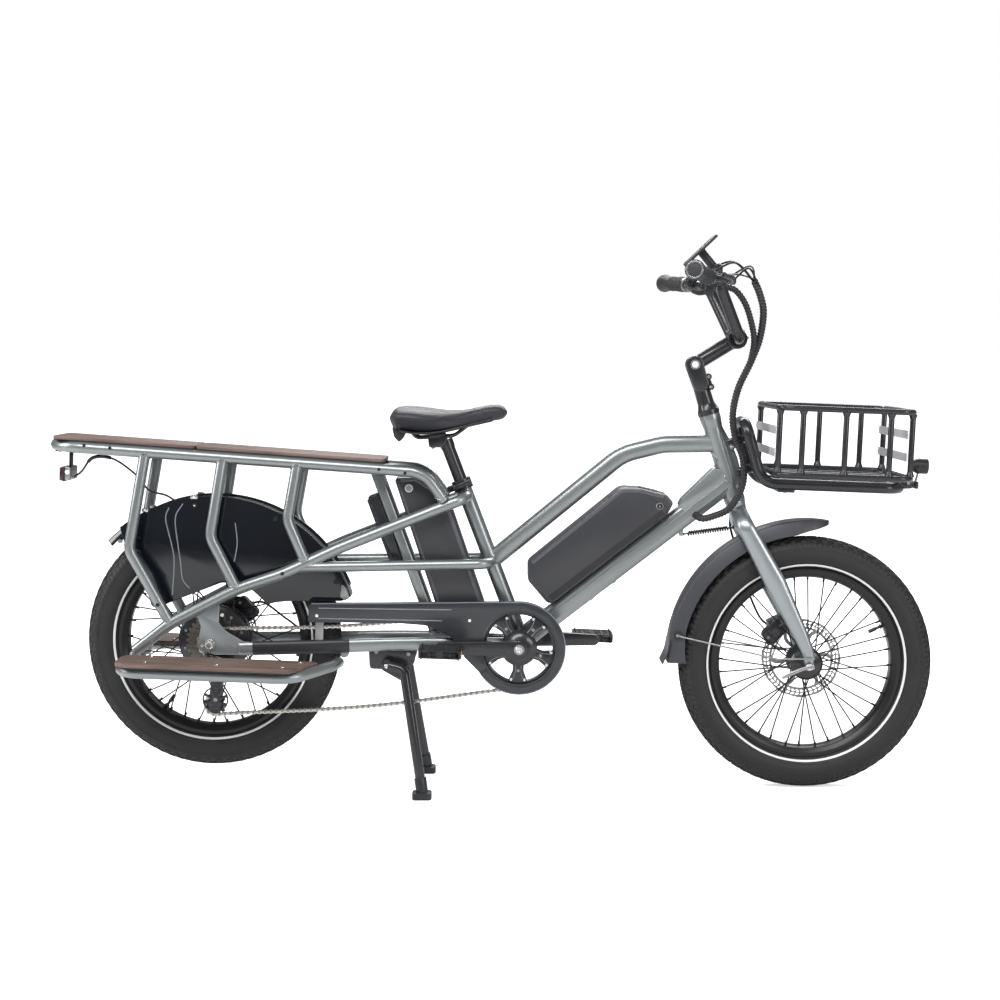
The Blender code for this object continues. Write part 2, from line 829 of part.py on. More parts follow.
def tyre(centre):
    half = [
        (BEAD_RADIUS, 0.0215),
        (0.2110, 0.0228),
        (0.2330, TYRE_HALF_WIDTH - 0.0005),
        (0.2600, 0.0345),
        (WHEEL_RADIUS, 0.0110),
    ]
    profile = half + [(r, -y) for r, y in half[::-1]]
    return turned(profile, centre, LEFT, WHEEL_SIDES, ring=True, first=ground_angle())


def rim(centre):
    half = [
        (BEAD_RADIUS - GAP, 0.0222),
        (0.2098, RIM_HALF_WIDTH),
        (RIM_INNER, 0.0185),
    ]
    profile = half + [(r, -y) for r, y in half[::-1]]
    return turned(profile, centre, LEFT, WHEEL_SIDES, ring=True, first=ground_angle())


def spokes(centre, hub_radius, left_y, right_y):
    """Two families of spokes a side, leaning opposite ways, none of which meet between hub and rim."""
    made = []
    step = 2 * math.pi / (2 * SPOKES_A_FAMILY)
    for flange_y, shift in ((left_y, 0.0), (right_y, 0.5)):
        for family, lean in ((0, 0.42), (1, -0.42)):
            for k in range(SPOKES_A_FAMILY):
                out = step * (2 * k + family + shift)
                root = out - lean
                y = flange_y + (0.0022 if family else -0.0022)
                inner = centre + Vector(
                    ((hub_radius - 0.004) * math.cos(root), y, (hub_radius - 0.004) * math.sin(root))
                )
                rim_y = math.copysign(0.0095, y) if (y > 0) == (family == 1) else math.copysign(0.0045, y)
                outer = centre + Vector(
                    ((RIM_INNER + 0.003) * math.cos(out), rim_y, (RIM_INNER + 0.003) * math.sin(out))
                )
                made.append(rod(inner, outer, SPOKE_RADIUS, 3))
    return merged(made)


def rotor(centre, y, inner):
    """A brake disc with its carrier, as a ring joined to the hub by six arms."""
    low, high = y - ROTOR_THICKNESS / 2, y + ROTOR_THICKNESS / 2
    face = [(inner, low), (ROTOR_RADIUS, low), (ROTOR_RADIUS, high), (inner, high)]
    return turned(face, centre, LEFT, 18, ring=True)


def rotor_windows(centre, y, count=4):
    holes = []
    for k in range(count):
        first = 360 / count * k
        outline = arc((centre.x, centre.z), 0.074, first + 5, first + 75, 2)
        outline += arc((centre.x, centre.z), 0.044, first + 66, first + 14, 1)
        holes.append(prism(outline, y - 0.01, y + 0.01))
    return merged(holes)


def build_front_wheel(b):
    b.add("front_tyre", tyre(FRONT_AXLE), "front_wheel_axis", "rubber")
    bore = AXLE_RADIUS + RUN
    hub = turned(
        [
            (bore, -0.050),
            (0.014, -0.050),
            (FRONT_HUB_RADIUS, -FRONT_HUB_HALF - 0.0045),
            (FRONT_HUB_RADIUS, -FRONT_HUB_HALF + 0.0045),
            (0.019, -FRONT_HUB_HALF + 0.0080),
            (0.019, FRONT_HUB_HALF - 0.0080),
            (FRONT_HUB_RADIUS, FRONT_HUB_HALF - 0.0045),
            (FRONT_HUB_RADIUS, FRONT_HUB_HALF + 0.0045),
            (0.026, FRONT_ROTOR_Y + 0.0040),
            (0.014, 0.050),
            (bore, 0.050),
        ],
        FRONT_AXLE,
        LEFT,
        10,
        ring=True,
    )
    b.add(
        "front_wheel",
        rim(FRONT_AXLE),
        "front_wheel_axis",
        "black_metal",
        add=[
            spokes(FRONT_AXLE, FRONT_HUB_RADIUS, FRONT_HUB_HALF, -FRONT_HUB_HALF),
            hub,
            rotor(FRONT_AXLE, FRONT_ROTOR_Y, 0.022),
        ],
        cut=[rotor_windows(FRONT_AXLE, FRONT_ROTOR_Y)],
    )


def build_rear_wheel(b):
    b.add("rear_tyre", tyre(REAR_AXLE), "rear_wheel_axis", "rubber")
    bore = AXLE_RADIUS + RUN
    hub = turned(
        [
            (bore, MOTOR_RIGHT - 0.002),
            (0.056, MOTOR_RIGHT - 0.002),
            (MOTOR_RADIUS, MOTOR_RIGHT + 0.006),
            (MOTOR_RADIUS, MOTOR_LEFT - 0.006),
            (0.040, MOTOR_LEFT + 0.003),
            (0.030, REAR_ROTOR_Y + 0.003),
            (0.016, DROPOUT_INNER_Y - RUN - 0.012),
            (bore, DROPOUT_INNER_Y - RUN - 0.012),
        ],
        REAR_AXLE,
        LEFT,
        14,
        ring=True,
    )
    b.add(
        "rear_wheel",
        rim(REAR_AXLE),
        "rear_wheel_axis",
        "black_metal",
        add=[
            spokes(REAR_AXLE, MOTOR_RADIUS, MOTOR_LEFT - 0.011, MOTOR_RIGHT + 0.011),
            hub,
            rotor(REAR_AXLE, REAR_ROTOR_Y, 0.026),
        ],
        cut=[rotor_windows(REAR_AXLE, REAR_ROTOR_Y)],
    )
    outer = DROPOUT_INNER_Y + DROPOUT_THICKNESS + GAP
    nut = [(0, -outer - 0.015), (0.0065, -outer - 0.015), (0.0065, -outer - 0.010), (0.011, -outer - 0.010),
           (0.011, -outer), (AXLE_RADIUS, -outer)]
    profile = nut + [(r, -y) for r, y in nut[::-1]]
    b.add("rear_axle", turned(profile, REAR_AXLE, LEFT, 8), "bicycle", "steel")


# Drive


def belt(circles, sags):
    """A closed path round circles (x, z, radius, turn), where each straight run may sag."""
    count = len(circles)
    heading = []
    for i in range(count):
        ax, az, ar, at = circles[i]
        bx, bz, br, bt = circles[(i + 1) % count]
        far = math.hypot(bx - ax, bz - az)
        heading.append(math.atan2(bz - az, bx - ax) - math.asin((bt * br - at * ar) / far))
    path = []
    for i in range(count):
        x, z, radius, turn = circles[i]
        come, leave = heading[i - 1], heading[i]
        sweep_angle = turn * ((turn * (leave - come)) % (2 * math.pi))
        steps = max(2, math.ceil(abs(sweep_angle) / CHAIN_STEP))
        reach = radius / math.cos(sweep_angle / steps / 2)
        for k in range(steps):
            a = come + sweep_angle * (k + 0.5) / steps
            path.append(Vector((x + turn * reach * math.sin(a), 0, z - turn * reach * math.cos(a))))
        nx, nz, nr, nt = circles[(i + 1) % count]
        start = Vector((x + turn * radius * math.sin(leave), 0, z - turn * radius * math.cos(leave)))
        end = Vector((nx + nt * nr * math.sin(leave), 0, nz - nt * nr * math.cos(leave)))
        for k in range(1, sags[i][1]):
            t = k / sags[i][1]
            path.append(start.lerp(end, t) - Vector((0, 0, 16 * sags[i][0] * (t * (1 - t)) ** 2)))
    return path


def chain_path():
    ring = (BRACKET.x, BRACKET.z, pitch_radius(RING_TEETH), 1)
    sprocket = (REAR_AXLE.x, REAR_AXLE.z, pitch_radius(SPROCKET_TEETH), 1)
    guide = (*GUIDE_PULLEY, pitch_radius(PULLEY_TEETH), -1)
    tension = (*TENSION_PULLEY, pitch_radius(PULLEY_TEETH), 1)
    path = belt([ring, sprocket, guide, tension], [(CHAIN_SAG, 8), (0, 1), (0, 1), (CHAIN_SAG * 0.8, 8)])
    return [p + Vector((0, CHAIN_Y, 0)) for p in path]


def toothed(centre, teeth, low, high, sides, bore=None):
    """A sprocket's solid up to the inside of the chain; the teeth stand between its links."""
    radius = pitch_radius(teeth) - CHAIN_HALF_HEIGHT - 2 * GAP
    profile = [(bore or 0, low), (radius, low), (radius, high), (bore or 0, high)]
    return turned(profile, centre, LEFT, sides, ring=bool(bore))


def spider_windows(count=5):
    holes = []
    for k in range(count):
        middle = 360 / count * k + 90
        outline = arc((0, BRACKET.z), 0.073, middle - 25, middle + 25, 3)
        outline += arc((0, BRACKET.z), 0.036, middle + 13, middle - 13, 1)
        holes.append(prism(outline, CHAIN_Y - 0.010, CHAIN_Y + 0.010))
    return merged(holes)


def crank_arm(side):
    """An arm from the spindle to its pedal; the right arm points to the rear."""
    turn = CRANK_ANGLE + (math.pi if side < 0 else 0)
    end = (CRANK_LENGTH * math.cos(turn), BRACKET.z + CRANK_LENGTH * math.sin(turn))
    low, high = sorted((side * CRANK_INNER_Y, side * CRANK_OUTER_Y))
    arm = prism(capsule((0, BRACKET.z), 0.0190, end, 0.0130, 3), low, high)
    spindle_end = Vector((end[0], side * (CRANK_INNER_Y + 0.004), end[1]))
    pin = rod(spindle_end, Vector((end[0], side * (PEDAL_OUTER_Y - 0.012), end[1])), 0.0050, 6)
    return arm, pin


def pedal_centre(side):
    turn = CRANK_ANGLE + (math.pi if side < 0 else 0)
    return BRACKET + Vector((CRANK_LENGTH * math.cos(turn), 0, CRANK_LENGTH * math.sin(turn)))


def build_crankset(b):
    ring = 0.0012
    rim_radius = pitch_radius(RING_TEETH) - CHAIN_HALF_HEIGHT - 2 * GAP
    wheel = turned(
        [(0, CHAIN_Y - 0.020), (0.0185, CHAIN_Y - 0.020), (0.030, CHAIN_Y - 0.0085),
        (0.0765, CHAIN_Y - 0.0050),
         (0.0765, CHAIN_Y - ring), (rim_radius, CHAIN_Y - ring), (rim_radius, CHAIN_Y + ring),
         (0.026, CHAIN_Y + ring), (0, CHAIN_Y + 0.0060)],
        BRACKET, LEFT, 24,
    )
    spindle = disc(BRACKET, SPINDLE_RADIUS, -CRANK_OUTER_Y + 0.002, CRANK_OUTER_Y - 0.002, LEFT, 12)
    right, right_pin = crank_arm(-1)
    left, left_pin = crank_arm(1)
    b.add(
        "crankset",
        wheel,
        "crank_axis",
        "black_metal",
        add=[spindle, right, left, right_pin, left_pin],
        cut=[spider_windows()],
    )


def build_pedals(b):
    for side, word in ((-1, "right"), (1, "left")):
        centre = pedal_centre(side)
        low, high = sorted((side * PEDAL_INNER_Y, side * PEDAL_OUTER_Y))
        x, z = centre.x, centre.z
        long, tall = PEDAL_HALF_LENGTH, PEDAL_HALF_HEIGHT
        outline = [(x - long, z - tall * 0.7), (x - long + 0.006, z - tall), (x + long - 0.006, z - tall),
                   (x + long, z - tall * 0.7), (x + long, z + tall * 0.7), (x + long - 0.006, z + tall),
                   (x - long + 0.006, z + tall), (x - long, z + tall * 0.7)]
        gap_y = sorted((side * (PEDAL_INNER_Y + 0.010), side * (PEDAL_OUTER_Y - 0.010)))
        windows = merged(
            [block((x + a - 0.0115, gap_y[0], z - 0.05), (x + a + 0.0115, gap_y[1], z + 0.05)) for a in (-0.0225, 0.0225)]
        )
        bore = rod(Vector((x, side * (PEDAL_INNER_Y - 0.01), z)),
            Vector((x, side * (PEDAL_OUTER_Y - 0.011), z)), 0.0056, 8)
        b.add(f"pedal_{word}", prism(outline, low, high), f"pedal_{word}_axis", "black_plastic",
            cut=[windows, bore])


def build_chain(b):
    b.add(
        "chain",
        sweep(chain_path(), (CHAIN_HALF_WIDTH * math.sqrt(2), CHAIN_HALF_HEIGHT * math.sqrt(2)), 4,
        closed=True),
        "bicycle",
        "steel",
    )


def build_cassette(b):
    """Six sprockets on one carrier, the smallest outermost, where the chain runs."""
    teeth = [SPROCKET_TEETH, 18, 22, 28]
    core = 0.0190
    profile = [(0.0085, CHAIN_Y - 0.0075), (core, CHAIN_Y - 0.0075), (core, CHAIN_Y - 0.0011)]
    spacing = 0.0068
    for i, count in enumerate(teeth):
        y = CHAIN_Y + spacing * i + (0.0007 if i else 0)
        radius = pitch_radius(count) - (CHAIN_HALF_HEIGHT + 2 * GAP if i == 0 else 0.0015)
        profile += [(radius, y - 0.0009), (radius, y + 0.0009)]
        if i + 1 < len(teeth):
            profile += [(core, y + 0.0010), (core, y + spacing - 0.0010 + (0.0007 if i == 0 else 0))]
    last = CHAIN_Y + spacing * (len(teeth) - 1) + 0.0007
    profile += [(core, last + 0.0010), (0.0085, last + 0.0010)]
    b.add("cassette", turned(profile, REAR_AXLE, LEFT, 10, ring=True), "cassette_axis", "steel")


def build_derailleur(b):
    for name, place in (("guide_pulley", GUIDE_PULLEY), ("tension_pulley", TENSION_PULLEY)):
        centre = Vector((place[0], 0, place[1]))
        b.add(
            name,
            toothed(centre, PULLEY_TEETH, CHAIN_Y - 0.0012, CHAIN_Y + 0.0012, 11, bore=0.0050),
            f"{name}_axis",
            "black_plastic",
        )
    plates = []
    for y in (CHAIN_Y - 0.0075, CHAIN_Y + 0.0055):
        plates.append(prism(capsule(GUIDE_PULLEY, 0.014, TENSION_PULLEY, 0.014), y, y + 0.0020))
    bolts = [
        rod(Vector((x, CHAIN_Y - 0.0090, z)), Vector((x, CHAIN_Y + 0.0080, z)), 0.0042, 6)
        for x, z in (GUIDE_PULLEY, TENSION_PULLEY)
    ]
    arm = sweep(
        bent(
            [
                Vector((GUIDE_PULLEY[0], CHAIN_Y - 0.0120, GUIDE_PULLEY[1])),
                Vector((GUIDE_PULLEY[0] + 0.030, CHAIN_Y - 0.0140, GUIDE_PULLEY[1] + 0.018)),
                Vector((-0.668, -DROPOUT_INNER_Y + 0.0045, 0.2475)),
                Vector((-0.684, -DROPOUT_INNER_Y - DROPOUT_THICKNESS - 0.006, 0.2470)),
            ],
            [0, 0.02, 0.012, 0],
        ),
        (0.0070, 0.0100),
        6,
    )
    b.add(
        "derailleur",
        plates[0],
        "bicycle",
        "black_plastic",
        add=[bolts[0], bolts[1], plates[1], arm],
        cut=[dropout_grown()],
    )


def dropout_grown():
    """The right dropout with the fitting gap round it."""
    low, high = -DROPOUT_INNER_Y - DROPOUT_THICKNESS - GAP, -DROPOUT_INNER_Y + GAP
    return prism(rounded([(-0.55, 0.2557), (-0.55, 0.30), (-0.705, 0.42), (-0.705, 0.2557)], 0.006),
        low, high)


def guard_outline():
    """The chain case's face: a long arm that widens into a ring round the chain wheel."""
    centre = (BRACKET.x, BRACKET.z)
    front = arc(centre, GUARD_RADIUS, 90, -146, 12)
    lower = rounded(
        [(-0.1178, 0.2700), (-0.1475, 0.3146), (-0.2048, 0.3377), (-0.2581, 0.3398), (-0.3626, 0.3377),
         (-0.4624, 0.3345), (-0.4624, 0.3790), (-0.30, 0.45), (-0.05, 0.45), (-0.06, 0.24)],
        0.016,
    )
    keep = [p for p in lower if p[1] < 0.3700 and p[0] < -0.112 and p[1] > 0.262]
    first = max(range(len(keep)), key=lambda i: keep[i][0])
    ordered = keep[first:] + keep[:first]
    return front + ordered + [(-0.4620, 0.3700), (-0.4560, 0.3760), (-0.3000, 0.3825)]


def build_chain_guard(b):
    face = prism(guard_outline(), GUARD_FACE_Y - GUARD_THICKNESS, GUARD_FACE_Y)
    centre = (BRACKET.x, BRACKET.z)
    opening = prism(circle(centre, GUARD_OPENING, 22), GUARD_FACE_Y - 0.01, GUARD_FACE_Y + 0.01)
    outer = arc(centre, GUARD_RADIUS - 0.0004, 100, -60, 9)
    inner = arc(centre, GUARD_RADIUS - 0.0026, -60, 100, 9)
    hood = prism(outer + inner + [(-0.45, 0.3742), (-0.45, 0.3765), (-0.30, 0.3825)],
        GUARD_FACE_Y - 0.001, -0.0470)
    strap = block((-0.446, GUARD_FACE_Y - 0.0020, 0.2850), (-0.428, GUARD_FACE_Y + 0.0024, 0.3480))
    b.add(
        "chain_guard",
        face,
        "bicycle",
        "black_plastic",
        add=[hood, strap],
        cut=[opening, chainstay_tube(-1, GAP)],
    )


# Fork and front end


def caliper_mount():
    """The two ends of the fork's mount for the caliper."""
    return [FRONT_AXLE + Vector((-0.035, 0.0640, 0.092)), FRONT_AXLE + Vector((-0.075, 0.0640, 0.070))]


def leg_path(side):
    crown = steering(-0.050)
    start = steering(-0.020)
    across = FRONT_AXLE - crown
    bow = Vector((-across.z, 0, across.x)).normalized() * LEG_BOW
    corners = [start + LEFT * (side * 0.010), crown + LEFT * (side * 0.056)]
    for share, out in ((0.43, 0.75), (0.80, 1.0), (0.93, 0.9)):
        corners.append(crown + across * share + bow * out + LEFT * (side * (0.056 + 0.006 * share)))
    return bent(corners, [0, 0.030, 0.3, 0.3, 0])


def leg_half(t):
    """Half sizes (sideways, fore and aft) from the crown down to the dropout."""
    stations = [(0.0, 0.0130, 0.0180), (0.25, 0.0130, 0.0205), (0.55, 0.0125, 0.0225),
        (0.85, 0.0100, 0.0140),
                (1.0, 0.0075, 0.0110)]
    for (t0, a0, b0), (t1, a1, b1) in zip(stations, stations[1:]):
        if t <= t1:
            k = (t - t0) / (t1 - t0)
            return a0 + (a1 - a0) * k, b0 + (b1 - b0) * k
    return stations[-1][1:]


def build_fork(b):
    steerer = sweep([steering(-0.030), steering(HEAD_LENGTH + 0.004)], STEERER_RADIUS, 12)
    crown = turned(
        [(0, -0.062), (0.015, -0.062), (CROWN_RADIUS + 0.001, -0.050), (CROWN_RADIUS, -0.020),
        (0.0220, -0.004),
         (0.0220, -GAP), (0, -GAP)],
        HEAD_FOOT, UP, 10,
    )
    ends = []
    for side in (-1, 1):
        tip = leg_path(side)[-1]
        low, high = side * LEG_Y - 0.0035, side * LEG_Y + 0.0035
        ends.append(prism(capsule((tip.x, tip.z + 0.012), 0.0100, (FRONT_AXLE.x, FRONT_AXLE.z), 0.0130),
            low, high))
    end = LEG_Y + SKEWER_TAIL
    skewer = turned(
        [(0, -end), (0.0080, -end), (0.0085, -LEG_Y - 0.004), (AXLE_RADIUS, -LEG_Y - 0.003),
         (AXLE_RADIUS, LEG_Y + 0.003), (0.0095, LEG_Y + 0.003), (0.0085, end), (0, end)],
        FRONT_AXLE, LEFT, 8,
    )
    mount = sweep(caliper_mount(), (0.004, 0.012), 6)
    b.add(
        "fork",
        crown,
        "steering_axis",
        "fork_paint",
        add=[steerer, sweep(leg_path(-1), leg_half, 8), sweep(leg_path(1), leg_half, 8), ends[0],
        ends[1], skewer,
             mount],
    )


def axle_lever_root():
    """The front end of the cam lever's inner face, about which it swings open."""
    return FRONT_AXLE + Vector((0.0100, -LEG_Y - SKEWER_TAIL - GAP, 0.0010))


def build_axle_lever(b):
    """The cam lever that lies along the near fork end."""
    thick = 0.0028
    y = -LEG_Y - SKEWER_TAIL - GAP - thick
    path = bent(
        [
            FRONT_AXLE + Vector((0.010, y, 0.001)),
            FRONT_AXLE + Vector((-0.012, y, -0.004)),
            FRONT_AXLE + Vector((-0.060, y - 0.004, -0.026)),
        ],
        [0, 0.02, 0],
    )
    b.add("axle_lever", sweep(path, lambda t: (thick, 0.0085 - 0.003 * t), 8), "axle_lever_axis", "steel")


def build_fender(b):
    shell = guard_shell(FRONT_AXLE, FENDER_RADIUS, FENDER_HALF, 0.018, 0.002, 84, 183, 10)
    stays = []
    for side in (-1, 1):
        path = bent(
            [
                FRONT_AXLE + Vector((-0.289, side * (FENDER_HALF - 0.0040), 0.054)),
                FRONT_AXLE + Vector((-0.283, side * 0.0490, 0.052)),
                FRONT_AXLE + Vector((-0.070, side * 0.0745, 0.014)),
                FRONT_AXLE + Vector((0.016, side * 0.0745, 0.026)),
            ],
            [0, 0.01, 0.03, 0],
        )
        stays.append(sweep(path, 0.0020, 4))
    foot = steering(-0.055, -0.004)
    towards = (FRONT_AXLE - foot).normalized()
    strap = slab(
        [(0.0045, -0.010), (0.032, -0.010), (0.032, 0.010), (0.0045, 0.010)],
        foot + towards * 0.004, towards, LEFT, -0.0015, 0.0015,
    )
    cut = [merged([prism(capsule((leg_path(s)[-1].x, leg_path(s)[-1].z + 0.012), 0.0103,
                                 (FRONT_AXLE.x, FRONT_AXLE.z), 0.0133), s * LEG_Y - 0.0038,
                                 s * LEG_Y + 0.0038)
                   for s in (-1, 1)])]
    b.add("front_fender", shell, "steering_axis", "guard_plastic", add=[merged(stays), strap], cut=cut)


def spring(start, end, coil_radius, wire, turns, straight, points=8):
    """A coil spring as one unbroken wire: a straight hook, the turns, and a straight hook."""
    axis = (end - start).normalized()
    u = LEFT
    v = axis.cross(u).normalized()
    first = start + axis * straight
    length = (end - start).length - 2 * straight
    path = [start, start + axis * (straight * 0.6)]
    total = turns * points
    for k in range(total + 1):
        angle = 2 * math.pi * k / points
        ease = min(1.0, k / 3, (total - k) / 3)
        out = u * math.cos(angle) + v * math.sin(angle)
        path.append(first + axis * (length * k / total) + out * (coil_radius * ease))
    path += [end - axis * (straight * 0.6), end]
    pitch = length / turns
    print(f"spring of {turns} turns: least gap between turns {1000 * (pitch - 2 * wire):.2f} mm")
    return sweep(path, wire, 4, side=v)


def build_damper(b):
    front = steering(-0.0500, -CROWN_RADIUS - 0.001 - GAP)
    b.add("damper_spring", spring(DAMPER_REAR, front, 0.0046, 0.0016, 7, 0.009), "bicycle", "black_metal")


def build_stem(b):
    cheek = 0.0188
    base = turned(
        [(0, HEAD_LENGTH + GAP), (0.0240, HEAD_LENGTH + GAP), (0.0240, HEAD_LENGTH + 0.010),
         (0.0180, HEAD_LENGTH + 0.024), (0.0172, STEM_PIVOT_HEIGHT - 0.030),
         (0, STEM_PIVOT_HEIGHT - 0.026)],
        HEAD_FOOT, UP, 14,
    )
    pivot = (STEM_PIVOT.x, STEM_PIVOT.z)
    below = steering(STEM_PIVOT_HEIGHT - 0.045)
    cheeks = prism(capsule(pivot, cheek, (below.x, below.z), 0.0165, 5), -0.0185, 0.0185)
    bolt = turned(
        [(0, -0.0215), (0.0095, -0.0215), (0.0095, 0.0215), (0, 0.0215)],
        STEM_PIVOT, LEFT, 10,
    )
    above = steering(STEM_PIVOT_HEIGHT + 0.05)
    slot = prism(capsule(pivot, STEM_SLOT_RADIUS, (above.x, above.z), 0.030, 7), -0.0125, 0.0125)
    cut = [slot, sweep([steering(0.1), steering(HEAD_LENGTH + 0.0045)], STEERER_RADIUS + GAP, 12)]
    b.add("stem_post", base, "steering_axis", "black_metal", add=[cheeks, bolt], cut=cut)
    build_stem_arm(b)


def build_stem_arm(b):
    to_clamp = Vector((CLAMP_AHEAD, 0, CLAMP_RISE)).normalized()
    up = Vector((-to_clamp.z, 0, to_clamp.x))
    pivot = (STEM_PIVOT.x, STEM_PIVOT.z)
    neck_end = STEM_PIVOT + to_clamp * 0.032
    boss = prism(capsule(pivot, 0.0180, (neck_end.x, neck_end.z), 0.0150, 5), -0.0121, 0.0121)
    tube = sweep([STEM_PIVOT + to_clamp * 0.0245, BAR_CLAMP], 0.0158, 9)
    clamp = disc(BAR_CLAMP, 0.0215, -0.0230, 0.0230, LEFT, 14)
    ear = slab([(-0.004, -0.020), (0.0170, -0.020), (0.0170, 0.020), (-0.004, 0.020)],
               BAR_CLAMP + to_clamp * 0.010 - up * 0.012, to_clamp, LEFT, -0.004, 0.004)
    b.add(
        "stem_arm",
        boss,
        "stem_pivot",
        "black_metal",
        add=[tube, clamp, ear],
        cut=[sweep([BAR_CLAMP - LEFT * 0.05, BAR_CLAMP + LEFT * 0.05],
        (BAR_RADIUS + GAP) / math.cos(math.pi / 12), 12,
                   side=AHEAD)],
    )


def bar_path():
    """From the right bar end over the risers and the clamp to the left bar end."""
    half = []
    for side in (-1, 1):
        half.append(
            [
                Vector((BAR_SWEEP_X, side * BAR_HALF_WIDTH, BAR_TOP_Z + 0.012)),
                Vector((RISER_TOP_X, side * RISER_TOP_Y, BAR_TOP_Z)),
                Vector((BAR_CLAMP.x, side * 0.058, BAR_CLAMP.z)),
            ]
        )
    return bent(half[0] + half[1][::-1], [0, 0.045, 0.032, 0.032, 0.045, 0])


def bar_point(side, from_end, ahead=0.0, up=0.0):
    """A point on the grip part of the bar, measured in from its end."""
    end = Vector((BAR_SWEEP_X, side * BAR_HALF_WIDTH, BAR_TOP_Z + 0.012))
    knee = Vector((RISER_TOP_X, side * RISER_TOP_Y, BAR_TOP_Z))
    along = (knee - end).normalized()
    forward = Vector((along.y, -along.x, 0)).normalized() * (-side)
    return end + along * from_end + forward * ahead + Vector((0, 0, up))


def build_handlebar(b):
    parts = []
    for side in (-1, 1):
        parts.append(sweep([bar_point(side, GRIP_LENGTH + 0.012), bar_point(side, GRIP_LENGTH + 0.062)],
            0.0165, 8,
                           side=Vector((0, 0, 1))))
        perch = sweep(
            [bar_point(side, GRIP_LENGTH + 0.026, 0.004), bar_point(side, GRIP_LENGTH + 0.026, 0.034)],
            (0.0085, 0.0120), 6, side=Vector((0, 0, 1)),
        )
        parts.append(perch)
        parts.append(
            sweep([bar_point(side, GRIP_LENGTH + 0.030, 0.030),
            bar_point(side, GRIP_LENGTH + 0.085, 0.036)], 0.0082, 6,
                  side=Vector((0, 0, 1)))
        )
        parts.append(sweep([bar_point(side, GRIP_LENGTH + 0.054, -0.004, -0.010),
                            bar_point(side, GRIP_LENGTH + 0.054, -0.010, -0.034)], (0.0110, 0.0140), 6))
    bar = sweep(bar_path(), BAR_RADIUS, 8, side=Vector((0, 0, 1)))
    b.add("handlebar", bar, "stem_pivot", "black_metal", add=parts)


def build_grips(b):
    for side, word in ((-1, "right"), (1, "left")):
        start = bar_point(side, GRIP_LENGTH)
        end = bar_point(side, 0)
        axis = (end - start).normalized()
        bore = (BAR_RADIUS + GAP) / math.cos(math.pi / 12)
        long = GRIP_LENGTH
        profile = [
            (0, long + GAP),
            (bore, long + GAP),
            (bore, 0),
            (0.0175, 0),
            (0.0165, 0.080),
            (0.0225, 0.118),
            (0.0235, long + 0.002),
            (0.0215, long + 0.007),
            (0, long + 0.007),
        ]
        b.add(f"grip_{word}", turned(profile, start, axis, 12), "stem_pivot", "rubber")


def lever_pivot(side):
    return bar_point(side, GRIP_LENGTH + 0.028, 0.046)


def build_levers(b):
    for side, word in ((-1, "right"), (1, "left")):
        path = bent(
            [
                lever_pivot(side) + (bar_point(side, 1) - bar_point(side, 0)) * 0.004,
                bar_point(side, GRIP_LENGTH + 0.004, 0.048),
                bar_point(side, GRIP_LENGTH - 0.050, 0.047, -0.003),
                bar_point(side, GRIP_LENGTH - 0.105, 0.054, -0.006),
            ],
            [0, 0.03, 0.08, 0],
        )
        blade = sweep(path, lambda t: (0.0065 - 0.001 * t, 0.0045), 8, side=Vector((0, 0, 1)))
        b.add(f"brake_lever_{word}", blade, f"brake_lever_{word}_axis", "black_metal")


def shift_pivot():
    return bar_point(-1, GRIP_LENGTH + 0.054, -0.010, -0.022)


def build_shifter(b):
    """The thumb lever of the gear shifter, under the right side of the bar."""
    root = shift_pivot() + Vector((0, 0, -0.002))
    along = (bar_point(-1, 0.0) - bar_point(-1, 0.1)).normalized()
    path = [root + along * 0.0155 + Vector((-0.004, 0, 0)),
        root + along * 0.0175 + Vector((-0.022, 0, -0.003)),
            root + along * 0.022 + Vector((-0.038, 0, 0.002))]
    b.add("shift_lever", sweep(path, (0.0025, 0.0065), 8, side=along.cross(Vector((0, 0, 1)))),
        "shift_lever_axis",
          "black_plastic")


def build_display(b):
    """A flat screen that leans back over the stem, on a rod between the risers."""
    lean = math.radians(45.8)
    u = Vector((math.cos(lean), 0, math.sin(lean)))
    centre = Vector((0.362, 0, 1.176))
    outline = rounded([(-0.046, -0.036), (0.046, -0.036), (0.046, 0.036), (-0.046, 0.036)], 0.010)
    case = slab(outline, centre, u, LEFT, -0.0045, 0.0045)
    down = Vector((math.sin(lean), 0, -math.cos(lean)))
    foot = centre + down * 0.050 - u * 0.004
    stalk = sweep([centre + down * 0.003, foot], (0.012, 0.009), 8)
    cross = sweep([foot - LEFT * 0.100, foot + LEFT * 0.100], 0.0075, 8, side=AHEAD)
    posts = [
        sweep([foot + LEFT * (side * 0.092), Vector((RISER_TOP_X, side * 0.096, BAR_TOP_Z))], 0.0070, 6,
        side=AHEAD)
        for side in (-1, 1)
    ]
    grown_bar = sweep(bar_path(), BAR_RADIUS + GAP, 8, side=Vector((0, 0, 1)))
    b.add("display", case, "stem_pivot", "black_plastic", add=[stalk, cross] + posts, cut=[grown_bar])


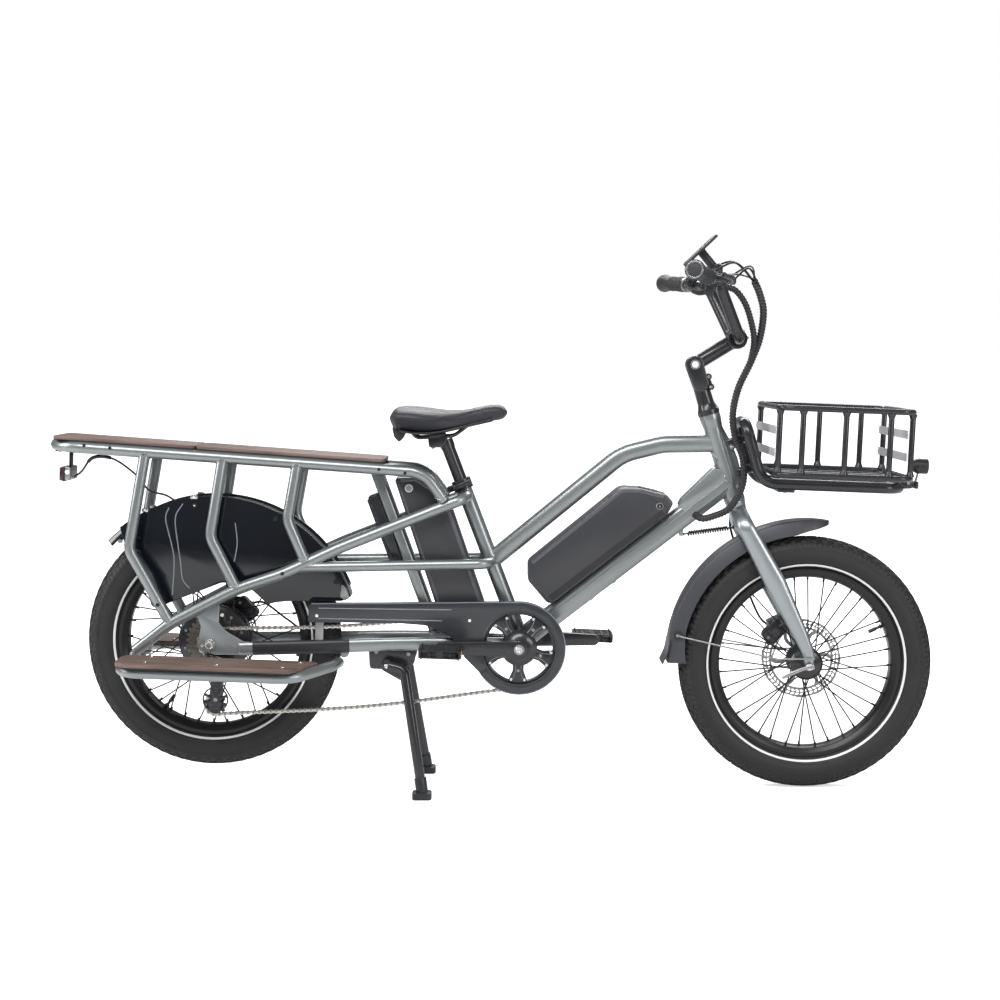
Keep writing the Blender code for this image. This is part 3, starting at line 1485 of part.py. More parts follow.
def build_loom(b):
    """The wrapped cables: two bundles from the bar that join, then one to the down tube."""
    waist = Vector((0.4788, -0.030, 0.9348))
    outer = through(
        [
            Vector((0.4480, -0.105, 1.0980)),
            Vector((0.4780, -0.075, 1.0880)),
            Vector((0.4998, -0.045, 1.0439)),
            Vector((0.4957, -0.032, 0.9860)),
            waist,
        ],
    )
    inner = through(
        [
            Vector((0.4340, -0.062, 1.0930)),
            Vector((0.4600, -0.052, 1.0600)),
            Vector((0.4775, -0.044, 1.0134)),
            Vector((0.4835, -0.039, 0.9800)),
            Vector((0.4800, -0.032, 0.9420)),
        ],
    )
    b.add("loom_upper", sweep(outer, 0.0080, 5), "stem_pivot", "black_plastic",
        add=[sweep(inner, 0.0070, 5)])
    lower = through(
        [
            waist + Vector((-0.0004, 0, -0.0010)),
            Vector((0.4550, -0.030, 0.8774)),
            Vector((0.4460, -0.032, 0.8203)),
            Vector((0.4540, -0.035, 0.7700)),
            Vector((0.4720, -0.037, 0.7259)),
            Vector((0.4740, -0.038, 0.6689)),
            Vector((0.4490, -0.036, 0.6150)),
            Vector((0.4130, -0.034, 0.5960)),
            Vector((0.3820, -0.028, 0.5820)),
        ],
    )
    b.add("loom_lower", sweep(lower, 0.0085, 5), "steering_axis", "black_plastic")


def caliper(centre, y, turn_deg, hose):
    """A brake caliper over the disc's edge, with its hose."""
    turn = math.radians(turn_deg)
    u = Vector((math.cos(turn), 0, math.sin(turn)))
    v = Vector((-math.sin(turn), 0, math.cos(turn)))
    place = centre + u * ROTOR_RADIUS + LEFT * y
    body = slab(rounded([(-0.020, -0.028), (0.016, -0.028), (0.016, 0.028), (-0.020, 0.028)], 0.007),
        place, u, v,
                -0.0150, 0.0130)
    slot = slab([(-0.030, -0.060), (0.004, -0.060), (0.004, 0.060), (-0.030, 0.060)], place, u, v,
                -ROTOR_THICKNESS / 2 - 0.0008, ROTOR_THICKNESS / 2 + 0.0008)
    return body, slot, sweep(through([Vector(p) for p in hose]), 0.0027, 4)


def build_calipers(b):
    front_hose = [
        FRONT_AXLE + Vector((-0.0710, 0.0470, 0.0680)),
        FRONT_AXLE + Vector((-0.0970, 0.0520, 0.0900)),
        FRONT_AXLE + Vector((-0.1290, 0.0620, 0.1600)),
        (0.4810, 0.0700, 0.5200),
        (0.4640, 0.0600, 0.5700),
        (0.4620, 0.0400, 0.6060),
    ]
    body, slot, hose = caliper(FRONT_AXLE, FRONT_ROTOR_Y, 137, front_hose)
    leg = sweep(leg_path(1), lambda t: tuple(h + GAP for h in leg_half(t)), 8)
    fore, back = caliper_mount()
    past = Vector((0.0015, 0, 0.0010))
    mount = sweep([fore + past, back - past], (0.0043, 0.0123), 6)
    b.add("front_caliper", body, "steering_axis", "black_metal", add=[hose], cut=[slot, leg, mount])
    rear_hose = [
        (-0.6080, 0.0560, 0.3520),
        (-0.5750, 0.0600, 0.3560),
        (-0.5200, 0.0650, 0.3180),
        (-0.4800, 0.0660, 0.3010),
        (-0.3600, 0.0600, 0.3150),
        (-0.2200, 0.0520, 0.3360),
        (-0.0900, 0.0350, 0.3300),
        (-0.0380, 0.0120, 0.3290),
    ]
    body, slot, hose = caliper(REAR_AXLE, REAR_ROTOR_Y, 46, rear_hose)
    adapter = block((-0.6640, 0.0580, 0.3470), (-0.6260, DROPOUT_INNER_Y - GAP, 0.3670))
    b.add(
        "rear_caliper",
        body,
        "bicycle",
        "black_metal",
        add=[hose, adapter],
        cut=[slot, seat_tube(GAP), bracket_shell(GAP), chainstay_tube(1, GAP)],
    )


# Front carrier, basket and lights


def carrier_path():
    """A closed loop: up in front of the head tube, forward under the basket and back."""
    corners = [
        Vector((0.4720, -CARRIER_HALF, 0.8050)),
        Vector((0.5120, -CARRIER_HALF, CARRIER_Z)),
        Vector((0.8170, -CARRIER_HALF, CARRIER_Z)),
        Vector((0.8170, CARRIER_HALF, CARRIER_Z)),
        Vector((0.5120, CARRIER_HALF, CARRIER_Z)),
        Vector((0.4720, CARRIER_HALF, 0.8050)),
    ]
    return bent(corners, [0.030, 0.044, 0.040, 0.040, 0.044, 0.030], closed=True)


def build_carrier(b):
    loop = sweep(carrier_path(), CARRIER_RADIUS, 6, closed=True)
    bars = []
    for height, reach in ((0.128, 0.038), (0.060, 0.036)):
        root = steering(height, HEAD_RADIUS - 0.004)
        bars.append(
            slab([(0.000, -CARRIER_HALF), (0.012, -CARRIER_HALF), (0.012, CARRIER_HALF),
            (0.000, CARRIER_HALF)],
                 root + AHEAD * (reach - 0.002), AHEAD, LEFT, -0.009, 0.009)
        )
        bars.append(slab([(-0.004, -0.014), (reach + 0.004, -0.014), (reach + 0.004, 0.014),
            (-0.004, 0.014)],
                         root, AHEAD, LEFT, -0.008, 0.008))
    plate = block((0.548, -CARRIER_HALF - 0.004, CARRIER_Z - 0.0180),
        (0.585, CARRIER_HALF + 0.004, CARRIER_Z - 0.0080))
    front = block((0.740, -CARRIER_HALF - 0.002, CARRIER_Z - 0.0040),
        (0.765, CARRIER_HALF + 0.002, CARRIER_Z + 0.0040))
    pin = lamp_pivot()
    ears = []
    for side in (-1, 1):
        low, high = sorted((side * (LAMP_HUB_HALF + GAP), side * (LAMP_HUB_HALF + 0.0035)))
        ears.append(block((pin.x - 0.022, low, pin.z - 0.007), (pin.x + 0.007, high, pin.z + 0.007)))
    b.add("front_carrier", loop, "bicycle", "black_metal", add=bars + [plate, front] + ears,
        cut=[head_tube(GAP),
          sweep([steering(-0.01), steering(HEAD_LENGTH + 0.01)], STEERER_BORE + 0.002, 16)])


def build_basket(b):
    rear, front, half = BASKET_REAR_X, BASKET_FRONT_X, BASKET_HALF
    corner = 0.028

    def frame(z):
        corners = [Vector((rear, -half, z)), Vector((front, -half, z)), Vector((front, half, z)),
            Vector((rear, half, z))]
        return sweep(bent(corners, [corner] * 4, True, CORNER_STEP), BASKET_WIRE, 5, closed=True)

    posts = []
    for side in (-1, 1):
        for x in (rear + 0.030, rear + 0.145, front - 0.030):
            posts.append(rod(Vector((x, side * half, BASKET_FLOOR_Z)),
                Vector((x, side * half, BASKET_TOP_Z)),
                             BASKET_WIRE * 0.95, 4))
    for x in (rear, front):
        for y in (-0.110, 0.110):
            posts.append(rod(Vector((x, y, BASKET_FLOOR_Z)), Vector((x, y, BASKET_TOP_Z)),
                BASKET_WIRE * 0.95, 4))
    slats = []
    for x in (rear, front):
        for z in (0.7480, 0.7960):
            slats.append(block((x - 0.0015, -half + 0.020, z - 0.009),
                (x + 0.0015, half - 0.020, z + 0.009)))
    for k in range(4):
        x = rear + (front - rear) * (k + 0.5) / 4
        slats.append(block((x - 0.009, -half, BASKET_FLOOR_Z - 0.0020),
            (x + 0.009, half, BASKET_FLOOR_Z + 0.0015)))
    feet = []
    for k in (0.5, 3.5):
        x = rear + (front - rear) * k / 4
        for y in (-CARRIER_HALF, CARRIER_HALF):
            feet.append(block((x - 0.007, y - 0.008, CARRIER_Z + CARRIER_RADIUS + GAP),
                              (x + 0.007, y + 0.008, BASKET_FLOOR_Z)))
    b.add("basket", frame(BASKET_FLOOR_Z), "bicycle", "black_metal",
          add=[merged(posts), frame(BASKET_TOP_Z), merged(slats), merged(feet)])


def lamp_pivot():
    return Vector((0.8420, 0, 0.6860))


def build_headlight(b):
    """The lamp on its bracket, which nods on a bolt at the carrier's front end."""
    centre = Vector((0.8680, 0, 0.7235))
    shell = turned(
        [(0, -0.0180), (0.0120, -0.0160), (0.0165, -0.0080), (0.0170, 0.0150), (0.0155, 0.0165),
        (0, 0.0165)],
        centre, Vector((1, 0, 0)), 10,
    )
    strap = sweep(
        bent([Vector((0.8420, 0, 0.6800)), Vector((0.8600, 0, 0.6900)), Vector((0.8660, 0, 0.7160))],
        [0, 0.008, 0]),
        (0.0060, 0.0030), 6,
    )
    hub = disc(lamp_pivot(), 0.0070, -LAMP_HUB_HALF, LAMP_HUB_HALF, LEFT, 10)
    reflector = block((0.8560, -0.018, 0.6740), (0.8640, 0.018, 0.6900))
    b.add("headlight", shell, "headlight_axis", "black_plastic", add=[strap, hub, reflector],
          cut=[sweep(carrier_path(), CARRIER_RADIUS + GAP, 6, closed=True)])


def build_tail_light(b):
    """The rear lamp under the rack's end, its bracket and its lead to the mudguard."""
    seat = TAIL_LIGHT_RAIL_Z - RAIL_RADIUS
    lamp = softened(block((-1.0190, -0.036, seat - 0.0675), (-0.9900, 0.036, seat - 0.0345)), 0.005)
    arm = block((-1.0040, -0.0080, seat - 0.0385), (-0.9980, 0.0080, seat - 0.0005))
    top = block((-1.0340, -0.0120, seat - 0.0035), (-0.9990, 0.0120, seat))
    lead = sweep(
        through(
            [
                Vector((-0.9920, -0.010, 0.6280)),
                Vector((-0.9730, -0.020, 0.6420)),
                Vector((-0.9450, -0.035, 0.6740)),
                Vector((-0.8980, -0.045, 0.6730)),
                Vector((-0.8450, -0.047, 0.6380)),
                Vector((-0.8200, -0.044, 0.6080)),
                Vector((-0.7800, -0.030, 0.5980)),
            ],
            2,
        ),
        0.0020,
        4,
    )
    b.add(
        "tail_light",
        lamp,
        "bicycle",
        "black_plastic",
        add=[arm, top, lead],
        cut=[
            rack_rail(GAP),
            turned([(0.10, -0.06), (MUDGUARD_RADIUS + GAP, -0.06), (MUDGUARD_RADIUS + GAP, 0.06),
            (0.10, 0.06)],
                   REAR_AXLE, LEFT, 48, ring=True),
        ],
    )


# Batteries


def battery(outline, half, soften):
    return softened(prism(outline, -half, half), soften)


def build_batteries(b):
    foot = (FRONT_BATTERY_FOOT.x, FRONT_BATTERY_FOOT.z)
    nose = (FRONT_BATTERY_NOSE.x, FRONT_BATTERY_NOSE.z)
    front = rounded(
        [(0.0123, 0.4800), (0.0138, 0.4412), (0.0580, 0.3930), foot, nose,
         (0.3260, 0.6240), (0.3092, 0.6419), (0.2528, 0.6529), (0.2100, 0.6540)],
        0.008,
    )
    b.add("front_battery", battery(front, FRONT_BATTERY_HALF, 0.006), "bicycle_front_battery",
        "battery_plastic")
    top = (REAR_BATTERY_TOP.x, REAR_BATTERY_TOP.z)
    heel = (REAR_BATTERY_HEEL.x, REAR_BATTERY_HEEL.z)
    rear = rounded(
        [top, (-0.2400, 0.6600), (-0.2050, 0.6400), (-0.1750, 0.6150), (-0.1560, 0.5840),
         (-0.0710, 0.3620), (-0.1000, 0.3520), heel],
        0.010,
    )
    b.add("rear_battery", battery(rear, REAR_BATTERY_HALF, 0.006), "bicycle_rear_battery",
        "battery_plastic",
          cut=[merged([middle_stay(s, GAP) for s in (-1, 1)]),
          merged([long_stay(s, GAP) for s in (-1, 1)])])


def front_dock():
    """The rail on the down tube that the front battery's flat underside slides along."""
    along = (FRONT_BATTERY_NOSE - FRONT_BATTERY_FOOT).normalized()
    up = Vector((-along.z, 0, along.x))
    outline = [(0.020, -0.012), (0.280, -0.012), (0.280, -GAP), (0.020, -GAP)]
    return slab(outline, FRONT_BATTERY_FOOT, along, up, -0.016, 0.016)


def rear_dock():
    """The wedge between the battery post and the rear battery's flat back, which the battery slides along."""
    along = (REAR_BATTERY_HEEL - REAR_BATTERY_TOP).normalized()
    ahead = Vector((-along.z, 0, along.x))
    outline = [(0.050, -0.023), (0.270, -0.016), (0.270, -GAP), (0.050, -GAP)]
    return slab(outline, REAR_BATTERY_TOP, along, ahead, -0.018, 0.018)


def build_battery_post(b):
    """The bar between rack and chainstays, with the controller case behind it."""
    top = Vector((-0.3290, 0, 0.6700))
    foot = Vector((-0.1830, 0, 0.3130))
    along = (foot - top).normalized()
    ahead = Vector((-along.z, 0, along.x))
    long = (foot - top).length
    bar = slab([(0, -0.013), (long, -0.013), (long, 0.013), (0, 0.013)], top, along, ahead, -0.034, 0.034)
    case = slab(rounded([(0.050, -0.040), (0.215, -0.040), (0.215, -0.010), (0.050, -0.010)], 0.008),
        top, along, ahead,
                -0.030, 0.030)
    cross = sweep([Vector((-0.3270, -RACK_HALF, 0.6740)), Vector((-0.3270, RACK_HALF, 0.6740))], 0.0090,
        8, side=AHEAD)
    foot_bar = sweep([Vector((-0.188, -0.052, 0.3160)), Vector((-0.188, 0.052, 0.3160))], 0.0080, 8,
        side=AHEAD)
    b.add("battery_post", bar, "bicycle", "frame_paint", add=[case, cross, foot_bar, rear_dock()],
          cut=[rack_rail(GAP), chainstay_tube(-1, GAP), chainstay_tube(1, GAP)])


# Seat


def saddle_station(t):
    """Width, top, crown edge and underside of the saddle from its tail (0) to its nose (1)."""
    stations = [
        (0.00, 0.060, 0.7960, 0.0100, 0.7720),
        (0.06, 0.094, 0.8080, 0.0180, 0.7560),
        (0.20, 0.112, 0.8120, 0.0230, 0.7470),
        (0.36, 0.100, 0.8090, 0.0240, 0.7480),
        (0.50, 0.066, 0.8060, 0.0200, 0.7600),
        (0.64, 0.040, 0.8110, 0.0150, 0.7760),
        (0.80, 0.031, 0.8220, 0.0130, 0.7860),
        (0.93, 0.027, 0.8260, 0.0120, 0.7960),
        (1.00, 0.014, 0.8170, 0.0080, 0.8040),
    ]
    for low, high in zip(stations, stations[1:]):
        if t <= high[0]:
            k = (t - low[0]) / (high[0] - low[0])
            k = k * k * (3 - 2 * k)
            return [a + (c - a) * k for a, c in zip(low[1:], high[1:])]
    return list(stations[-1][1:])


def build_saddle(b):
    """A crowned pad whose sides draw in below its widest line."""
    tail, nose = -0.3020, -0.0450
    rings = []
    sections = 12
    for i in range(sections):
        t = i / (sections - 1)
        half, top, drop, under = saddle_station(t)
        x = tail + (nose - tail) * t
        middle = top - drop
        ring = []
        for k in range(12):
            a = 2 * math.pi * k / 12
            c, s = math.cos(a), math.sin(a)
            y = half * math.copysign(abs(c) ** 0.8, c)
            if s >= 0:
                z = middle + (top - middle) * s**0.9
            else:
                z = middle + (under - middle) * (-s) ** 0.8
                if abs(c) < 0.4:
                    z += SADDLE_HOLLOW * min(1.0, max(0.0, (0.62 - t) / 0.2))
                y *= 1 - 0.25 * (-s)
            ring.append(Vector((x, y, z)))
        rings.append(ring)
    b.add("saddle", skin(rings), "seat_height", "leather", cut=[saddle_rails(GAP)])


def rail_path(side):
    return bent(
        [
            Vector((-0.2620, side * 0.030, 0.7720)),
            Vector((-0.2440, side * 0.024, 0.7440)),
            Vector((-0.1450, side * 0.020, 0.7600)),
            Vector((-0.1050, side * 0.014, 0.7960)),
        ],
        [0, 0.02, 0.03, 0],
    )


def saddle_rails(grow=0.0):
    return merged([sweep(rail_path(side), 0.0036 + grow, 4) for side in (-1, 1)])


def build_seat(b):
    post_top = seat_axis(0.484)
    post = sweep([seat_axis(0.205), post_top], POST_RADIUS, 12)
    head_place = Vector((-0.1960, 0, 0.7470))
    lean = math.radians(9)
    u = Vector((math.cos(lean), 0, math.sin(lean)))
    v = Vector((-math.sin(lean), 0, math.cos(lean)))
    head = slab(rounded([(-0.021, -0.020), (0.010, -0.024), (0.022, -0.004), (0.022, 0.007),
        (-0.021, 0.007)], 0.005),
                head_place, u, v, -0.028, 0.028)
    b.add("seatpost", head, "seat_height", "black_metal", add=[post, saddle_rails()])
    build_saddle(b)
    tube_bore = (SEAT_TUBE_RADIUS + GAP) / math.cos(math.pi / 12)
    post_bore = (POST_RADIUS + RUN) / math.cos(math.pi / 12)
    ring = turned(
        [(tube_bore, -0.020), (0.0216, -0.020), (0.0216, 0.003), (post_bore, 0.003), (post_bore, GAP),
         (tube_bore, GAP)],
        seat_axis(SEAT_TUBE_LENGTH), SEAT_UP, 12, ring=True,
    )
    ear = slab([(-0.034, -0.016), (-0.018, -0.016), (-0.018, -0.002), (-0.034, -0.002)],
               seat_axis(SEAT_TUBE_LENGTH), SEAT_AHEAD_AXIS, SEAT_UP, -0.008, 0.008)
    knob = rod(seat_axis(SEAT_TUBE_LENGTH - 0.009, -0.028, -0.008),
        seat_axis(SEAT_TUBE_LENGTH - 0.009, -0.028, 0.024),
               0.0055)
    b.add("seat_collar", ring, "bicycle", "black_metal", add=[ear, knob])
    build_seat_lever(b)


def seat_lever_pivot():
    return seat_axis(SEAT_TUBE_LENGTH - 0.009, -0.028, -0.013)


def build_seat_lever(b):
    """The cam lever of the seat clamp, closed along the right side."""
    root = seat_lever_pivot()
    path = bent(
        [
            root,
            root + SEAT_AHEAD_AXIS * 0.002 - LEFT * 0.014,
            root + SEAT_AHEAD_AXIS * 0.048 - LEFT * 0.019 + SEAT_UP * 0.002,
        ],
        [0, 0.008, 0],
    )
    b.add("seat_lever", sweep(path, (0.0042, 0.0060), 8, side=SEAT_UP), "seat_lever_axis", "black_metal")


# Centre stand


def stand_foot(side):
    return STAND_PIVOT + Vector((STAND_AHEAD, side * STAND_FOOT_Y, -STAND_DROP))


def build_stand(b):
    """Two splayed legs on one pivot tube; each foot ends flat on the ground once the bicycle leans on it."""
    lean = stand_pitch()
    floor_up = Vector((-math.sin(lean), 0, math.cos(lean)))
    floor_ahead = Vector((math.cos(lean), 0, math.sin(lean)))
    parts = []
    for side in (-1, 1):
        foot = stand_foot(side)
        corners = [
            STAND_PIVOT + Vector((0.004, side * 0.0740, 0)),
            STAND_PIVOT + Vector((0.038, side * STAND_TOP_Y, -0.006)),
            foot + floor_up * 0.012,
        ]
        parts.append(sweep(bent(corners, [0, 0.020, 0]), STAND_LEG_RADIUS, 6))
        outline = rounded([(-0.022, -0.018), (0.020, -0.018), (0.020, 0.018), (-0.022, 0.018)], 0.008)
        parts.append(slab(outline, foot, floor_ahead, -LEFT, -0.016, 0.0))
    tube = sweep([STAND_PIVOT - LEFT * STAND_TOP_Y, STAND_PIVOT + LEFT * STAND_TOP_Y], 0.0105, 10,
        side=AHEAD)
    bore = disc(STAND_PIVOT, 0.0056, -0.12, 0.12, LEFT, 10)
    b.add("centre_stand", tube, "stand_axis", "black_metal", add=parts, cut=[bore])
    plates = []
    for side in (-1, 1):
        low, high = sorted((side * 0.0440, side * 0.0485))
        outline = rounded([(-0.326, 0.2340), (-0.262, 0.2340), (-0.228, 0.2500), (-0.222, 0.2850),
            (-0.330, 0.2850)], 0.008)
        plates.append(prism(outline, low, high))
    bridge = block((-0.322, -0.0460, 0.2680), (-0.232, 0.0460, 0.2760))
    top = Vector((-0.2530, -0.0568, 0.2425))
    pin = rod(Vector((top.x, -0.0465, top.z)), Vector((top.x, top.y + 0.0018, top.z)), 0.0025, 6)
    hole = disc(STAND_PIVOT, 0.0105 + RUN, -0.12, 0.12, LEFT, 12)
    b.add("stand_bracket", plates[0], "bicycle", "black_metal", add=[plates[1], bridge, pin],
          cut=[hole, chainstay_tube(-1, GAP), chainstay_tube(1, GAP)])
    low = Vector((-0.2330, -0.0768, 0.1650))
    b.add("stand_spring", spring(top, low, 0.0050, 0.0014, 5, 0.008), "stand_axis", "steel")


# Whole


def place_on_ground():
    """Pitches the bicycle onto its stand and centres its box over the origin."""
    root = bpy.data.objects["bicycle"]
    root.rotation_euler = (0, stand_pitch(), 0)
    bpy.context.view_layer.update()
    corners = [
        obj.matrix_world @ vertex.co
        for obj in bpy.context.scene.objects
        if obj.type == "MESH"
        for vertex in obj.data.vertices
    ]
    low = [min(c[i] for c in corners) for i in range(3)]
    high = [max(c[i] for c in corners) for i in range(3)]
    root.location = (-(low[0] + high[0]) / 2, -(low[1] + high[1]) / 2, -low[2])


def add_pivots(b):
    b.pivot("bicycle", Vector((0, 0, 0)))
    b.pivot("steering_axis", HEAD_FOOT, "bicycle")
    b.pivot("stem_pivot", STEM_PIVOT, "steering_axis")
    b.pivot("front_wheel_axis", FRONT_AXLE, "steering_axis")
    b.pivot("axle_lever_axis", axle_lever_root(), "steering_axis")
    b.pivot("rear_wheel_axis", REAR_AXLE, "bicycle")
    b.pivot("cassette_axis", REAR_AXLE, "bicycle")
    b.pivot("crank_axis", BRACKET, "bicycle")
    b.pivot("guide_pulley_axis", Vector((GUIDE_PULLEY[0], CHAIN_Y, GUIDE_PULLEY[1])), "bicycle")
    b.pivot("tension_pulley_axis", Vector((TENSION_PULLEY[0], CHAIN_Y, TENSION_PULLEY[1])), "bicycle")
    b.pivot("stand_axis", STAND_PIVOT, "bicycle")
    b.pivot("seat_height", seat_axis(SEAT_TUBE_LENGTH), "bicycle")
    b.pivot("seat_lever_axis", seat_lever_pivot(), "bicycle")
    b.pivot("headlight_axis", lamp_pivot(), "bicycle")
    b.pivot("bicycle_front_battery", Vector((0.170, 0, 0.520)), "bicycle")
    b.pivot("bicycle_rear_battery", Vector((-0.180, 0, 0.500)), "bicycle")
    b.pivot("shift_lever_axis", shift_pivot(), "stem_pivot")
    for side, word in ((-1, "right"), (1, "left")):
        b.pivot(f"pedal_{word}_axis", pedal_centre(side), "crank_axis")
        b.pivot(f"brake_lever_{word}_axis", lever_pivot(side), "stem_pivot")


def add_materials(b):
    b.materials = {
        "frame_paint": material("frame_paint", (0.30, 0.33, 0.32), 0.32, 0.85),
        "fork_paint": material("fork_paint", (0.40, 0.43, 0.42), 0.30, 0.85),
        "black_metal": material("black_metal", (0.030, 0.032, 0.036), 0.42, 0.6),
        "steel": material("steel", (0.55, 0.55, 0.54), 0.30, 1.0),
        "rubber": material("rubber", (0.035, 0.036, 0.038), 0.85, 0.0),
        "black_plastic": material("black_plastic", (0.035, 0.037, 0.040), 0.55, 0.0),
        "guard_plastic": material("guard_plastic", (0.020, 0.024, 0.030), 0.22, 0.0),
        "battery_plastic": material("battery_plastic", (0.060, 0.064, 0.070), 0.50, 0.0),
        "wood": material("wood", (0.19, 0.12, 0.09), 0.55, 0.0),
        "leather": material("leather", (0.055, 0.056, 0.062), 0.60, 0.0),
    }


def main():
    for obj in list(bpy.data.objects):
        bpy.data.objects.remove(obj)
    b = Builder()
    add_materials(b)
    add_pivots(b)
    build_main_frame(b)
    build_rear_carrier(b)
    build_deck(b)
    build_mudguard(b)
    build_chainstays(b)
    build_footrests(b)
    build_front_wheel(b)
    build_rear_wheel(b)
    build_crankset(b)
    build_pedals(b)
    build_chain(b)
    build_cassette(b)
    build_derailleur(b)
    build_chain_guard(b)
    build_fork(b)
    build_axle_lever(b)
    build_fender(b)
    build_damper(b)
    build_stem(b)
    build_handlebar(b)
    build_grips(b)
    build_levers(b)
    build_shifter(b)
    build_display(b)
    build_loom(b)
    build_calipers(b)
    build_carrier(b)
    build_basket(b)
    build_headlight(b)
    build_tail_light(b)
    build_batteries(b)
    build_battery_post(b)
    build_seat(b)
    build_stand(b)
    place_on_ground()


main()
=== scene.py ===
import json
import math

import bpy
import numpy as np
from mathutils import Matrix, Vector


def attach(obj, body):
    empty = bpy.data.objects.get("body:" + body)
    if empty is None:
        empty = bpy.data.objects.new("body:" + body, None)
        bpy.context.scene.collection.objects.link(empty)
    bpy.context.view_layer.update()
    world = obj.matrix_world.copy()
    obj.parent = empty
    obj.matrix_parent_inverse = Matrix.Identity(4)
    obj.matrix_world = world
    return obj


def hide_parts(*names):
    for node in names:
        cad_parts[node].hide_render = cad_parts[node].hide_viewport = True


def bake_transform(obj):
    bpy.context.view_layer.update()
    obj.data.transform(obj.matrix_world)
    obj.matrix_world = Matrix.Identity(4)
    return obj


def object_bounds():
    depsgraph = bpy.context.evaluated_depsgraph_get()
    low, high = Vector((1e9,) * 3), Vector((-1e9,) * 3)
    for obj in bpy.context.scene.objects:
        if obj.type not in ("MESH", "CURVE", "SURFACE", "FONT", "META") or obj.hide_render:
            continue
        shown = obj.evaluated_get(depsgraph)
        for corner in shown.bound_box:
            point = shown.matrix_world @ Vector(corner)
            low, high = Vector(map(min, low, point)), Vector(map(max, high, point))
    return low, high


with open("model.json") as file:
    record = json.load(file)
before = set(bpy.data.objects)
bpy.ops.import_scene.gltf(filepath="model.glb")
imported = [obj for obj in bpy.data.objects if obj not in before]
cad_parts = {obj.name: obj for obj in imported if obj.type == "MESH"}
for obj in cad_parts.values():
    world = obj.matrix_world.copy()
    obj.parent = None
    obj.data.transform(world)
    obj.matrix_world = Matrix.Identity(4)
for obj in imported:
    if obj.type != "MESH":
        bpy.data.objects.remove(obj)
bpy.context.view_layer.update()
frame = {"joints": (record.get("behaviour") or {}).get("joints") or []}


def at(x, y, z):
    """A point or a direction."""
    return np.array((x, y, z), float)


def turned(angle):
    """Two directions in the side view: one this angle above ahead, and the one a quarter turn on."""
    return at(math.cos(angle), 0, math.sin(angle)), at(-math.sin(angle), 0, math.cos(angle))


# Sizes in millimetres, in the level drawing of the bicycle: x ahead of the bottom bracket, y left, z up.
# A point's place in the side view is point[::2], its x and z.

WHEEL_RADIUS = 280
HEAD_TILT = math.radians(19.2)
SEAT_TILT = math.radians(23.0)
RACK_HALF = 78.5
RAIL_RADIUS = 12.5
STAY_HALF = 85
RAIL_SLOPE = 0.0335
CHAIN_Y = -56
CHAIN_PITCH = 12.7
CRANK_LENGTH = 170
RING_TEETH = 44
COG_TEETH = (14, 18, 22, 28)
PULLEY_TEETH = 11
STAY_RADIUS = 13
MIDDLE_STAY_RADIUS = 11.5
BAR_RADIUS = 12.5
BAR_LEVEL = 1104

X, Y, Z = np.eye(3)
AHEAD, UP = turned(HEAD_TILT)
SEAT_AHEAD, SEAT_UP = turned(SEAT_TILT)
BRACKET = at(0, 0, 295)
REAR_AXLE = at(-673, 0, WHEEL_RADIUS)
FRONT_AXLE = at(635, 0, WHEEL_RADIUS)
HEAD_FOOT = at(464.2, 0, 630.2)
STAND_PIVOT = at(-287, 0, 246.5)
STEM_PIVOT = HEAD_FOOT + UP * 314.5
BAR_CLAMP = STEM_PIVOT + (89.2, 0, 59)
GUIDE_PULLEY = at(-657, CHAIN_Y, 213)
TENSION_PULLEY = at(-661, CHAIN_Y, 143)


def joint_place(name):
    """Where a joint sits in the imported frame."""
    return np.array(next(j["pos_m"] for j in frame["joints"] if j["name"] == name), float)


def grounded():
    """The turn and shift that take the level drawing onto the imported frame, from two of its joints."""
    rear, front = joint_place("rear_wheel_spin"), joint_place("front_wheel_spin")
    ahead, up = turned(math.atan2(rear[2] - front[2], front[0] - rear[0]))
    turn = np.stack([ahead, Y, up])
    return turn, rear - turn @ REAR_AXLE / 1000


TURN, SHIFT = grounded()


def to_world(points):
    """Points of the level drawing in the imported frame: each is turned nose down and shifted."""
    return np.asarray(points, float) / 1000 @ TURN.T + SHIFT


def to_level(point):
    """The other way round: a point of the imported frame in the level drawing."""
    return (point - SHIFT) @ TURN * 1000


def steering(height, ahead=0.0, y=0.0):
    """A point this far up the steering axis from the foot of the head tube."""
    return HEAD_FOOT + UP * height + AHEAD * ahead + Y * y


def seat_axis(height, ahead=0.0, y=0.0):
    """A point this far up the seat tube's axis from the bottom bracket."""
    return BRACKET + (10, 0, 0) + SEAT_UP * height + SEAT_AHEAD * ahead + Y * y


def rail_z(x):
    """Height of the rack rail's centre line, which rises towards the rear."""
    return 675.5 + (-309.7 - x) * RAIL_SLOPE


def unit(v):
    """The same direction with length 1."""
    v = np.asarray(v, float)
    return v / np.linalg.norm(v, axis=-1, keepdims=True)


# Curves


